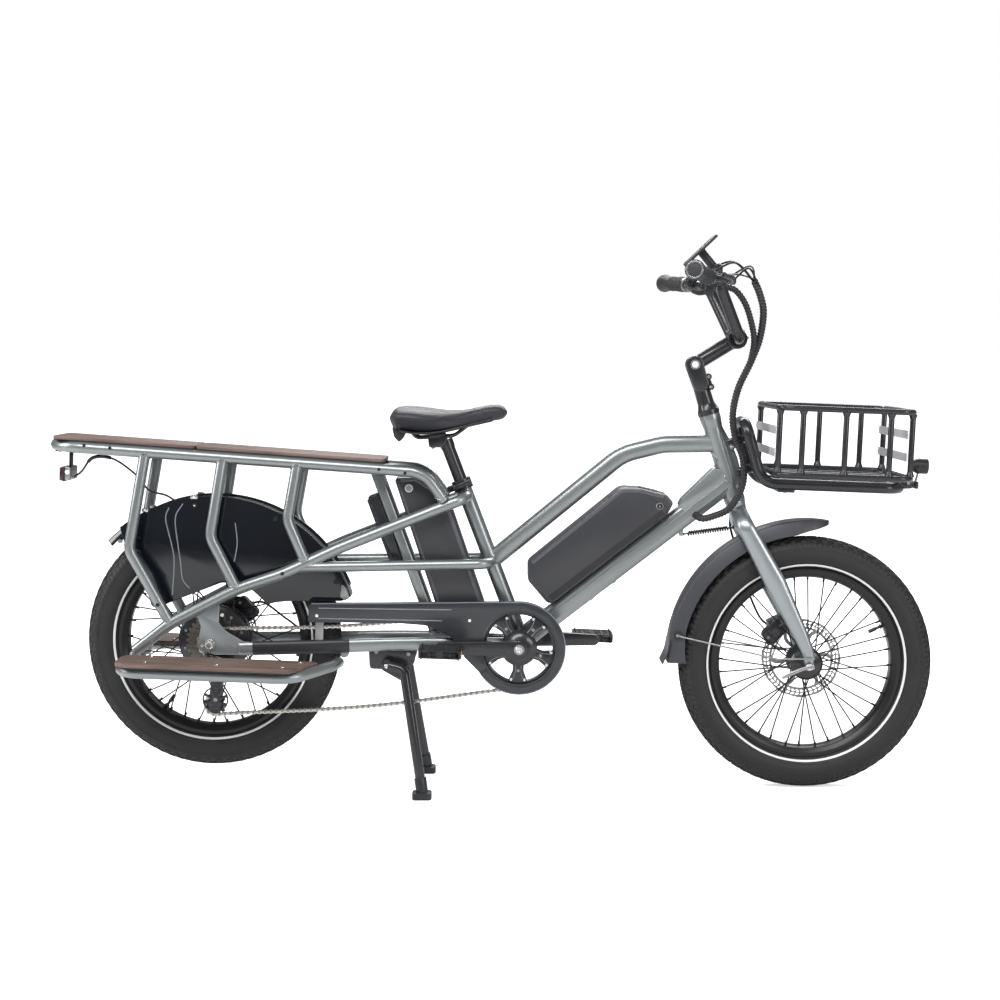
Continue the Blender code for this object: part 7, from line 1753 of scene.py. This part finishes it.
def screen():
    """The display on its stalk, and the short crossbar that carries it."""
    u, v = turned(math.radians(45.8))[0], Y
    place = at(362, 0, 1176)
    n = unit(np.cross(u, v))
    f = Form()
    outline = rounded(oblong(-46, -36, 46, 36), 10)
    f.add("plastic", plate(outline, -3.2, 3, bevel=1.6, place=(place, u, v)))
    face = n if n[0] < 0 else -n
    rise = 3 if n[0] < 0 else -3.2
    f.add("screen", plate(inset(outline, 4.5), rise - 0.4, rise + 0.5, bevel=0.2, place=(place, u, v)))
    for y in (-18, 0, 18):
        f.add("plastic", bolt(place - u * 40 + Y * y + face * 3.4, face, 3.5, 0.9, 20))
    foot = at(395, 0, 1138)
    f.add("plastic", rod(place, foot, 9.5, 20), disc(foot, 10.5, -11, 11, Y, 28, 1.5))
    bar = bent(mirrored_path([(393.5, -96, 1108), (395, -96, 1138)]), [0, 12, 12, 0], 9)
    f.add("plastic", tube(bar, 6.8, 18, side=X))
    for s in (-1, 1):
        f.add("plastic", disc((393.5, s * 96, BAR_LEVEL), 17.2, -7.5, 7.5, Y, 32, 1.5))
    f.make("display_unit_body", "bar_unit", ["display"], "black_plastic")


def coil_wrap(path, radius, pitch, wire):
    """A spiral wrap on a cord: a flat band that circles the path once every pitch."""
    reach = along_share(path)
    length = np.linalg.norm(np.diff(path, axis=0), axis=1).sum()
    turns = length / pitch
    s = np.linspace(0, 1, round(turns * 14) + 1)
    line = np.stack([np.interp(s, reach, path[:, k]) for k in range(3)], 1)
    t, across = directions(line, False, unit((0.1, 1, 0.1)))
    other = np.cross(t, across)
    a = 2 * np.pi * turns * s[:, None]
    out = np.cos(a) * across + np.sin(a) * other
    helix = line + radius * out
    wide = np.cross(unit(np.gradient(helix, axis=0)), out)
    uv = section(6)
    rows = helix[:, None] + out[:, None] * (uv[:, :1] * wire * 0.5) + wide[:, None] * (uv[:, 1:] * wire)
    return sheet_of(rows)


LOOMS = {
    "outer": (8, [(474, -62, 1112), (489, -54, 1083), (499.8, -45, 1043.9), (495.7, -32, 986),
                  (478.8, -30, 934.8)]),
    "inner": (7, [(410, -48, 1098), (436, -52, 1090), (460, -50, 1060), (477.5, -44, 1013.4),
                  (483.5, -39, 980), (480, -32, 942)]),
    "lower": (7.8, [(478.4, -30, 933.8), (455, -30, 877.4), (446, -32, 820.3), (454, -35, 770),
                    (472, -37, 725.9), (474, -38, 668.9), (449, -36, 618), (413, -34, 598),
                    (388, -29, 592), (370, -8, 604)]),
}


def wrapped(f, key):
    """One loom: a core and its spiral wrap."""
    radius, points = LOOMS[key]
    path = through(points, 12)
    f.add("loom", tube(path, radius - 1, 14, side=(0.1, 1, 0.1)), coil_wrap(path, radius - 1.1, 6.8, 2.8))


def strung(f, name, node):
    """A loom that no body carries: it is built in the imported frame, and its placing is baked into its mesh.
    """
    piece = f.make(name, None, [node], "black_plastic")
    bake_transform(piece)


def looms():
    """The wiring: spiral-wrapped, in a length from the bars and a length from fork to frame."""
    f = Form()
    wrapped(f, "outer")
    wrapped(f, "inner")
    gather = at(474, -62, 1113)
    fan = ((bar_point(-1, 209, 36), (455, -98, 1136)), (bar_point(1, 209, 36), (470, 0, 1146)),
        ((386, -6, 1138), (432, -30, 1152)), (bar_point(-1, 176, -4, 12), (425, -108, 1146)),
        (bar_point(1, 176, -4, 12), (442, 20, 1128)))
    for i, (start, middle) in enumerate(fan):
        a = 2 * math.pi * i / len(fan)
        spot = gather + (4.2 * math.cos(a), 4.2 * math.sin(a), 0)
        f.add("hose", tube(through([start, middle, spot, spot + (6, 3, -12)], 8), 2.2, 10))
    strung(f, "loom_bar_wrap", "loom_upper")
    f = Form()
    wrapped(f, "lower")
    strung(f, "loom_fork_wrap", "loom_lower")


# Front carrier, basket and lights


def carrier():
    """The front carrier: a closed loop on two brackets, its cross plates and the lamp's ears."""
    f = Form()
    loop = bent([(472, -60, 805), (512, -60, 676), (817, -60, 676), (817, 60, 676), (512, 60, 676),
        (472, 60, 805)], [30, 44, 40, 40, 44, 30], 5, closed=True)
    f.add("black", tube(loop, 12.5, 24, closed=True, side=(0.25, 0.1, 1)))
    for height, reach in ((128, 38), (60, 36)):
        root = steering(height, 20.5 - 4)
        middle = root + AHEAD * (reach + 4)
        f.add("black", tube([middle - Y * 60, middle + Y * 60], (9, 6), 16, side=UP, power=5))
        link = np.stack([root + AHEAD * 3.5, middle])
        f.add("black", tube(link, (14, 9), 20, power=5))
        for y in (-8.5, 8.5):
            f.add("dull_steel", bolt(middle + AHEAD * 6.6 + Y * y, AHEAD, 3.6, 1.6))
    f.add("black", box((548, -64, 658), (585, 64, 668), 1.6, 4), box((740, -62, 672), (765, 62, 680), 1.6))
    for x in (566, 752.5):
        for y in (-45, 45):
            z = 657.8 if x < 600 else 671.8
            f.add("dull_steel", bolt((x, y, z), -Z, 4.5, 1.6))
    pivot = at(842, 0, 686)
    for s in (-1, 1):
        ear = rounded([(826, 672), (852, 674), (852, 694), (836, 696), (826, 690)], 5)
        f.add("black", plate(ear, s * 8, s * 10.8, bevel=0.6))
        f.add("dull_steel", bolt(pivot + Y * s * 11.2, Y * s, 4, 1.8))
    f.make("carrier_loop", "frame", ["front_carrier"], "black_metal")


BASKET = {"back": 530, "front": 816.5, "half": 160, "low": 702.5, "high": 844}


def basket_form():
    """Two rails on posts, slats ahead and behind, and four bars below."""
    b = BASKET
    f = Form()
    for z in (b["low"], b["high"]):
        loop = bent([(b["back"], -b["half"], z), (b["front"], -b["half"], z), (b["front"], b["half"], z),
            (b["back"], b["half"], z)], 28, 8, closed=True)
        f.add("black", tube(loop, 6.3, 20, closed=True, side=Z))
    posts = [(x, s * b["half"]) for x in (579, 670, 765) for s in (-1, 1)]
    posts += [(x, s * 143) for x in (b["back"] + 2.5, b["front"] - 2.5) for s in (-1, 1)]
    for x, y in posts:
        f.add("black", rod((x, y, b["low"]), (x, y, b["high"]), 6.2, 18))
        for z, way in ((b["low"], 1), (b["high"], -1)):
            flare = [(6, 3), (9.2, 4.5), (8.2, 8.5), (6.4, 14), (6, 14)]
            f.add("black", lathe(flare, (x, y, z), Z * way, 20, ring=True))
    for x, way in ((b["back"] - 5, -1), (b["front"] - 11.5, -1)):
        for z in (748, 796):
            f.add("alloy", box((x - 1.2, -146, z - 9), (x + 1.2, 146, z + 9), 0.7, 0.7))
            for y in (-142.5, 142.5):
                f.add("dull_steel", bolt((x + way * 1.2, y, z), (way, 0, 0), 3.2, 1))
    for y in (-105, -35, 35, 105):
        f.add("black", box((b["back"], y - 7.5, b["low"] - 5.5), (b["front"], y + 7.5, b["low"] - 2.5),
            0.8, 1))
    for x in (566, 752.5):
        for y in (-35, 35):
            f.add("black", rod((x, y, b["low"] - 5), (x, y, 669 if x < 600 else 680), 5.5, 16))
    f.make("basket_wires", "frame", ["basket"], "black_metal")


def headlight():
    """The headlight on its strap, with the reflector below it."""
    centre = at(868, 0, 723.5)
    f = Form()
    shell = [(0, -18), (11, -16.8), (15, -11), (16.8, -6), (17, 15), (16, 16.3), (14.6, 16.3), (14, 12),
        (0, 12)]
    f.add("plastic", lathe(shell, centre, X, 40))
    f.add("clear_lens", lathe([(0, 11.8), (13.9, 11.8), (13.9, 14.8), (10, 16), (0, 16.4)], centre, X, 36))
    for r in (15.5, 16.1):
        f.add("plastic", lathe(oblong(r, -4, r + 1.2, -2.5), centre, X, 36, ring=True))
    strap = bent([(842, 0, 680), (860, 0, 690), (866, 0, 716)], [0, 8, 0], 10)
    f.add("dull_steel", tube(strap, (6, 1.4), 12, power=5))
    f.add("plastic", disc((842, 0, 686), 6.8, -6.2, 6.2, Y, 24),
        box((856, -18, 674), (862.5, 18, 690), 1.2))
    f.add("stripe", box((862, -16.5, 675.5), (864, 16.5, 688.5), 0.6))
    f.make("headlight_lamp", "headlight_unit", ["headlight"], "black_plastic")


def tail_light():
    """The tail light under the rack's end, with its lead."""
    f = Form().add("dull_steel", box((-1012, -34, 622), (-994, 34, 652), 3, 5))
    f.add("plastic", box((-1012.5, -35.5, 619), (-1006, 35.5, 651.5), 2, 2))
    f.both("clear_lens", disc((-1001, 0, 640), 5.5, 33.5, 35.8, Y, 24))
    f.add("red_lens", box((-1019, -34.5, 620.5), (-1011.5, 34.5, 650.5), 2.5, 3))
    f.add("plastic", box((-1004, -8, 648), (-998, 8, 685.5), 0.8),
        box((-1034, -12, 683), (-999, 12, 686.5), 0.8))
    for x in (-1026, -1010):
        f.add("dull_steel", bolt((x, 0, 682.8), -Z, 3, 1.2))
    lead = through([(-992, -10, 628), (-973, -20, 642), (-945, -35, 674), (-898, -45, 673),
        (-845, -47, 638), (-820, -44, 608), (-786, -33, 598), (-765, -29, 586)], 8)
    f.add("hose", tube(lead, 2.3, 10, side=(0.1, 1, 0.1), fillet=0.4))
    sleeve = lead[(lead[:, 0] > -958) & (lead[:, 0] < -900)]
    f.add("hose", tube(sleeve, 4, 14, side=(0.1, 1, 0.1), fillet=1.5))
    f.make("tail_light_lamp", "frame", ["tail_light"], "black_plastic")


# Batteries


def front_battery():
    """The case in the frame, with its edge ridges in a lighter colour that paints their highlight, side
    bands, key lock and grip.
    """
    f = Form()
    front = [(12.3, 480), (13.8, 441.2), (58, 393), (70, 393), (312, 596), (326, 624), (309.2, 641.9),
        (252.8, 652.9), (210, 654)]
    outline = rounded(front, [18, 16, 12, 8, 14, 10, 10, 20, 30], 10)
    f.add("battery", plate(outline, -44, 44, bevel=8))
    ahead = unit((242, 0, 203))
    above = at(-ahead[2], 0, ahead[0])
    for s in (-1, 1):
        # The ridges along the case's upper edges are drawn in a lighter colour: painted highlight on the
        # edges.
        ridge = [at(21.5, s * 40.5, 480), at(212, s * 40.5, 647.5), at(252, s * 40.5, 647),
            at(304, s * 40.5, 636)]
        f.add("battery_edge_painted_highlight", tube(bent(ridge, [0, 30, 20, 0], 8), (4, 5.2), 16, power=2.6, fillet=3))
        band = np.stack([(70, s * 43.6, 398.5), (308, s * 43.6, 598.5)]) + above * 7.5
        f.add("seam", tube(band, (1.2, 6.8), 14, power=5, fillet=0.8))
        cap = bent([(270.7, s * 44, 633), (317, s * 44, 614), (306, s * 44, 585), (248, s * 44, 570)],
            [0, 14, 14, 0], 12)
        f.add("seam", tube(cap, (0.4, 0.9), 8, fillet=0.3))
    f.add("dull_steel", disc((295.2, 0, 616), 7.8, -44.6, -43.6, Y, 32))
    f.add("hose", disc((295.2, 0, 616), 6.2, -45, -44, Y, 32))
    f.add("steel", box((294.6, -45.4, 612.5), (295.8, -44.6, 619.5), 0.3))
    grip = np.stack([(250, 0, 653.5), (292, 0, 645.5)])
    f.add("seam", tube(grip, (20, 2.2), 20, power=4, fillet=2))
    f.make("battery_case_front", "front_battery_unit", ["front_battery"], "battery_plastic")


def rear_battery():
    """The case behind the seat tube, with its ridges and a thin line down its back edge, both in a lighter
    colour that paints their highlight, and its key lock.
    """
    f = Form()
    rear = [(-287.4, 656), (-240, 660), (-205, 640), (-175, 615), (-156, 584), (-71, 362), (-100, 352),
        (-176, 352)]
    outline = rounded(rear, [8, 12, 20, 20, 20, 10, 12, 10], 10)
    f.add("battery", plate(outline, -42, 42, bevel=7))
    for s in (-1, 1):
        # Ridges and the thin back line are in the lighter edge colour: painted highlight on the case's edges.
        ridge = bent([(-274, s * 39.2, 650), (-240, s * 39.2, 653), (-208, s * 39.2, 634.5),
            (-182, s * 39.2, 610.5), (-163.5, s * 39.2, 582), (-83.5, s * 39.2, 372)],
            [0, 10, 20, 20, 20, 0], 8)
        f.add("battery_edge_painted_highlight", tube(ridge, (3.6, 4.2), 16, power=2.6, fillet=3))
        back = np.stack([(-276, s * 41.8, 642), (-172, s * 41.8, 364)])
        f.add("battery_edge_painted_highlight", tube(back, (0.9, 2), 12, power=3, fillet=0.8))
    f.add("stripe", washer(circle(8.8, 40, (-253.7, 634)), circle(6.6, 40, (-253.7, 634)), -42.8, -41.6))
    f.add("dull_steel", disc((-253.7, 0, 634), 6.4, -42.6, -41.5, Y, 32))
    f.add("seam", tube(through([(-264, -42.1, 618), (-262.5, -42.1, 606), (-265.5, -42.1, 598.4)], 6),
        (0.4, 1), 8, fillet=0.3))
    f.make("battery_case_rear", "rear_battery_unit", ["rear_battery"], "battery_plastic")


# Seat and stand


STATIONS = np.array(((0.0, 58, 796, 10, 770), (0.05, 88, 807, 17, 760),
                     (0.12, 104, 811.5, 21, 756), (0.25, 111, 811.8, 23, 753.5),
                     (0.38, 96, 809.8, 23, 755), (0.5, 68, 808, 20, 761),
                     (0.62, 46, 809.5, 17, 769), (0.75, 35, 816, 15, 778),
                     (0.87, 30, 822, 14, 786), (0.95, 26, 821, 12, 790.5),
                     (1.0, 18, 815, 10, 795)))


def station(t):
    """Half width, top, crown drop and underside of the saddle at share t, eased between the stations."""
    knot, value = STATIONS[:, 0], STATIONS[:, 1:]
    slope = np.gradient(value, knot, axis=0)
    i = np.clip(np.searchsorted(knot, t, side="right") - 1, 0, len(knot) - 2)
    step = (knot[i + 1] - knot[i])[:, None]
    k = (t - knot[i])[:, None] / step
    start = (1 + 2 * k) * (1 - k)**2 * value[i] + k * (1 - k)**2 * step * slope[i]
    return start + k * k * (3 - 2 * k) * value[i + 1] + k * k * (k - 1) * step * slope[i + 1]


def saddle_pad():
    """The pad: x(t) from tail to nose, and for angle a a crowned upper and a drawn-in lower half."""
    t = np.concatenate([[0, 0.004, 0.012, 0.025, 0.04], np.linspace(0.06, 0.94, 46),
        [0.96, 0.975, 0.988, 0.996, 1.0]])
    half, top, drop, under = station(t).T
    close = np.sqrt(np.clip(1 - np.clip((0.05 - t) / 0.05, 0, 1)**2, 0, 1))
    close = close * np.sqrt(np.clip(1 - np.clip((t - 0.95) / 0.05, 0, 1)**2, 0, 1))
    close = np.maximum(close, 0.001)[:, None]
    x = (-302 + t * 257)[:, None]
    a = (2 * np.pi * np.arange(72) / 72)[None]
    c, s = np.cos(a), np.sin(a)
    middle = (top - drop)[:, None]
    up = np.clip(s, 0, 1)**0.9
    down = np.clip(-s, 0, 1)**0.8
    dip = 3.5 * np.exp(-(c / 0.22)**2) * np.clip(s, 0, 1) * np.exp(-((t - 0.42) / 0.28)**2)[:, None]
    level = (top - (top - under) * 0.42)[:, None]
    z = middle + (top[:, None] - middle) * up - dip - (middle - under[:, None]) * down
    z = level + (z - level) * close
    y = half[:, None] * np.sign(c) * np.abs(c)**0.8 * (1 - 0.25 * down) * (0.35 + 0.65 * close)
    return sheet_of(np.stack([np.broadcast_to(x, z.shape), y, z], -1))


def saddle():
    """The pad with a seam along each side and a lip behind."""
    f = Form().add("leather", saddle_pad())
    t = np.linspace(0.03, 0.975, 60)
    half, top, drop, _ = station(t).T
    for s in (-1, 1):
        seam = np.stack([-302 + t * 257, s * half * 0.99, top - drop - 2.5], 1)
        f.add("leather", tube(seam, (1.1, 1.3), 8, fillet=0.6))
    lip = rounded([(-294.5, 770), (-295, 760), (-290.5, 744), (-279.3, 733), (-272, 741), (-265.5, 755.2),
        (-270, 770)], 3)
    f.add("leather", plate(lip, -30, 30, bevel=2.5))
    piece = f.make("saddle_pad", "seat_unit", ["saddle"], "saddle_cover")


def seat_post():
    """The saddle's base and rails, the post and the head that clamps them."""
    t = np.linspace(0.03, 0.975, 60)[4:-6]
    half, _, _, under = station(t).T
    base = np.stack([-302 + t * 257, np.zeros_like(t), under + 3.5], 1)
    f = Form().add("plastic",
        tube(base, np.stack([half * 0.66, np.full(len(t), 5.2)], 1), 28, power=3, fillet=4))
    for s in (-1, 1):
        rail = bent([(-264, s * 32, 768), (-241, s * 26, 743.8), (-160, s * 20, 751), (-122, s * 14, 782)],
            [0, 16, 30, 0], 8)
        f.add("black", tube(rail, 3.8, 14))
    f.add("black", lathe([(0, 205), (14.5, 205), (14.5, 462), (16, 470), (16, 484), (0, 484)],
        seat_axis(0), SEAT_UP, 36))
    u, v = turned(math.radians(9))
    head = rounded([(-21, -20), (10, -24), (22, -4), (22, 1.5), (-21, 1.5)], 5)
    place = at(-196, 0, 747)
    f.add("black", plate(head, -26, 26, bevel=2, place=(place, u, v)))
    lid = rounded([(-19, 2), (19, 2), (17, 7.8), (-17, 7.8)], 2)
    f.add("black", plate(lid, -28, 28, bevel=1.6, place=(place, u, v)))
    for x in (-13, 14):
        spot = place + u * x - v * 22.5
        f.add("dull_steel", bolt(spot, -v, 4.2, 2.4))
    f.make("seatpost_set", "seat_unit", ["seatpost"], "black_metal")


def seat_collar():
    """The ring round the seat tube's top with its ears, cam and lever."""
    f = Form()
    ring = [(17.3, -20), (21.6, -20), (21.6, 3), (15, 3), (15, 0.3), (17.3, 0.3)]
    top = seat_axis(388)
    f.add("black", lathe(ring, top, SEAT_UP, 40, ring=True, soft=0.8))
    for s in (-1, 1):
        ear = rounded(oblong(-34, -16, -18.5, -2), 3)
        f.add("black", plate(ear, s * 1, s * 8, bevel=0.8, place=(top, SEAT_AHEAD, SEAT_UP)))
    knob = seat_axis(379, -28)
    f.add("dull_steel", rod(knob - Y * 8, knob + Y * 24, 3, 18))
    f.add("black", disc(knob, 5.5, 10, 23.5, Y, 24, 1.2))
    root = seat_axis(379, -28, -13)
    hinge = to_level(joint_place("seat_lever_swing"))
    f.add("black", disc(root, 6.8, -1, 6, Y, 24, 1.2), rod(root, hinge, 3.6, 18))
    f.make("seat_collar_ring", "frame", ["seat_collar"], "black_metal")
    path = through([hinge, root + SEAT_AHEAD * 14 - Y * 16, root + SEAT_AHEAD * 48 - Y * 19 + SEAT_UP * 2],
        7)
    f = Form().add("black", tube(path, (6, 3.8), 18, side=SEAT_UP, power=3, fillet=2))
    f.add("black", rod(hinge - SEAT_UP * 6, hinge + SEAT_UP * 6, 4.6, 20))
    f.make("seat_lever_blade", "seat_lever_unit", ["seat_lever"], "black_metal")


def stand():
    """The centre stand's axle and its two legs, whose feet lie on the floor."""
    floor_ahead, floor_up = TURN[0], TURN[2]
    f = Form().add("black", rod(STAND_PIVOT - Y * 79, STAND_PIVOT + Y * 79, 10.5, 28))
    for s in (-1, 1):
        foot = STAND_PIVOT + (90, s * 125, -279)
        leg = bent([STAND_PIVOT + (4, s * 74, 0), STAND_PIVOT + (38, s * 79, -6), foot + floor_up * 12],
            [0, 20, 0], 8)
        f.add("black", tube(leg, 10.8, 24, side=(0.4, 1, 0.3)))
        spare = leg[-1] - leg[-2]
        f.add("plastic", rod(leg[-1] - unit(spare) * 34, leg[-1], 13.2, 24))
        pad = rounded(oblong(-22, -18, 20, 18), 8)
        f.add("plastic", plate(pad, 0, 16, bevel=2.2, place=(foot, floor_ahead, Y)))
        for x in (-10, 0, 10):
            low, high = foot + floor_ahead * x - Y * 13, foot + floor_ahead * x + Y * 13
            f.add("plastic", rod(low + floor_up * 15.8, high + floor_up * 15.8, 1.4, 8))
        web = capsule(STAND_PIVOT[::2], 13.5, (leg[6][0], leg[6][2] - 12), 10, 12)
        f.add("black", plate(web, s * 66, s * 74.5, bevel=1.5))
        f.add("steel", bolt(STAND_PIVOT + Y * s * 79.5, Y * s, 5.2, 2, 24))
    f.make("centre_stand_legs", "stand_unit", ["centre_stand"], "black_metal")


def stand_bracket():
    """The stand's bracket plates, and the spring that holds it."""
    f = Form()
    side = rounded([(-326, 234), (-262, 234), (-228, 250), (-222, 285), (-330, 285)], 8)
    for s in (-1, 1):
        f.add("black", plate(side, s * 44, s * 48.5, bevel=1))
        for x, z in ((-312, 272), (-242, 270)):
            f.add("dull_steel", bolt((x, s * 48.8, z), Y * s, 4.8, 2))
    f.add("black", box((-322, -46, 268), (-232, 46, 276), 1))
    f.add("dull_steel", rod((-253, -46.5, 242.5), (-253, -59, 242.5), 2.6, 14))
    f.make("stand_bracket_plates", "frame", ["stand_bracket"], "black_metal")
    f = Form().add("dull_steel", spring_wire((-253, -56.8, 242.5), (-233, -76.8, 165), 5, 0.9, 18, 8))
    f.make("stand_spring_coil", "stand_unit", ["stand_spring"], "steel")


for build in (main_frame, side_trusses, rack, guards, chainstays, footrests, battery_posts, front_wheel,
              rear_wheel, rear_axle, axle_lever, calipers, chain_links, crank, pedals, gears, pulleys,
              changer, chain_case, fork_parts, fender, damper, stem_post, stem_arm, handlebars, grips,
              shift_lever, screen, looms, carrier, basket_form, headlight, tail_light, front_battery,
              rear_battery, saddle, seat_post, seat_collar, stand, stand_bracket):
    build()


# Studio


FLOOR_NEAR = 1.3
FLOOR_LIFT = 0.6
FLOOR_HALF = 30
LENS = 64.87
CAMERA_BEHIND = 0.6755
CAMERA_AWAY = 3.964
CAMERA_HEIGHT = 0.954
CAMERA_DOWN = 4.54


def studio():
    """A pale floor that carries the shadow, soft boxes around, and a white surround for the camera."""
    ground = float(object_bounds()[0][2])
    mesh = bpy.data.meshes.new("floor")
    corners = [(x, y, ground) for x, y in oblong(-FLOOR_HALF, -FLOOR_HALF, FLOOR_HALF, FLOOR_HALF)]
    mesh.from_pydata(corners, [], [(0, 1, 2, 3)])
    floor = placed("floor", mesh)
    material, n, shader = blank("floor_white")
    place = n.place()
    soft = n.noise(place, 3.0, 2.0)
    n.feed(shader.inputs["Base Color"], n.mix(soft, (0.93, 0.93, 0.93, 1), (0.95, 0.95, 0.95, 1)))
    shader.inputs["Roughness"].default_value = 0.9
    shader.inputs["Specular IOR Level"].default_value = 0.1
    far = n.new("ShaderNodeVectorMath", {"operation": "LENGTH"})
    n.feed(far.inputs[0], place)
    spread = n.maths("MULTIPLY", n.maths("SUBTRACT", far.outputs["Value"], FLOOR_NEAR), 0.8, True)
    seen = n.new("ShaderNodeLightPath").outputs["Is Camera Ray"]
    glow = n.maths("MULTIPLY", n.maths("ADD", n.maths("MULTIPLY", spread, 0.6), FLOOR_LIFT), seen)
    shader.inputs["Emission Color"].default_value = (1, 1, 1, 1)
    n.feed(shader.inputs["Emission Strength"], glow)
    mesh.materials.append(material)
    world = bpy.data.worlds.new("surround")
    bpy.context.scene.world = world
    world.use_nodes = True
    n = Nodes(world.node_tree)
    world.node_tree.nodes.clear()
    ray = n.new("ShaderNodeLightPath").outputs["Is Camera Ray"]
    place = n.new("ShaderNodeTexCoord").outputs["Generated"]
    height = n.new("ShaderNodeSeparateXYZ", Vector=place).outputs["Z"]
    lift = n.maths("MULTIPLY", n.maths("ADD", height, 0.1), 1.1, True)
    shade = n.mix(lift, (0.22, 0.225, 0.235, 1), (0.62, 0.63, 0.65, 1))
    seen = n.new("ShaderNodeBackground", Color=(1, 1, 1, 1), Strength=1.0).outputs[0]
    lit = n.new("ShaderNodeBackground", Color=shade, Strength=0.6).outputs[0]
    both = n.new("ShaderNodeMixShader")
    n.feed(both.inputs[0], ray)
    n.feed(both.inputs[1], lit)
    n.feed(both.inputs[2], seen)
    n.new("ShaderNodeOutputWorld", Surface=both.outputs[0])
    for name, place, aim, size, power in (("key", (-0.8, -2.6, 3.2), (0, 0, 0.5), (3.4, 0.9), 120),
            ("fill", (2.8, -2.6, 1.6), (0.2, 0, 0.5), (1.0, 2.0), 45),
            ("rim", (0.6, 2.6, 2.8), (0, 0, 0.6), (3.4, 0.9), 80),
            ("side", (-3.2, -0.6, 1.8), (-0.4, 0, 0.5), (0.9, 1.8), 50)):
        lamp = bpy.data.lights.new(name, "AREA")
        lamp.shape = "RECTANGLE"
        lamp.size, lamp.size_y = size
        lamp.energy = power
        obj = placed(name, lamp)
        obj.location = place
        obj.rotation_euler = (Vector(aim) - Vector(place)).to_track_quat("-Z", "Y").to_euler()
    axle = joint_place("front_wheel_spin")
    camera = bpy.data.cameras.new("camera")
    camera.lens, camera.sensor_width = LENS, 36
    camera.clip_end = 200
    obj = placed("camera", camera)
    floor_height = axle[2] - WHEEL_RADIUS / 1000
    obj.location = axle[0] - CAMERA_BEHIND, -CAMERA_AWAY, CAMERA_HEIGHT + floor_height
    obj.rotation_euler = math.radians(90 - CAMERA_DOWN), 0, 0
    bpy.context.scene.camera = obj
    bpy.context.scene.view_settings.view_transform = "Standard"


studio()
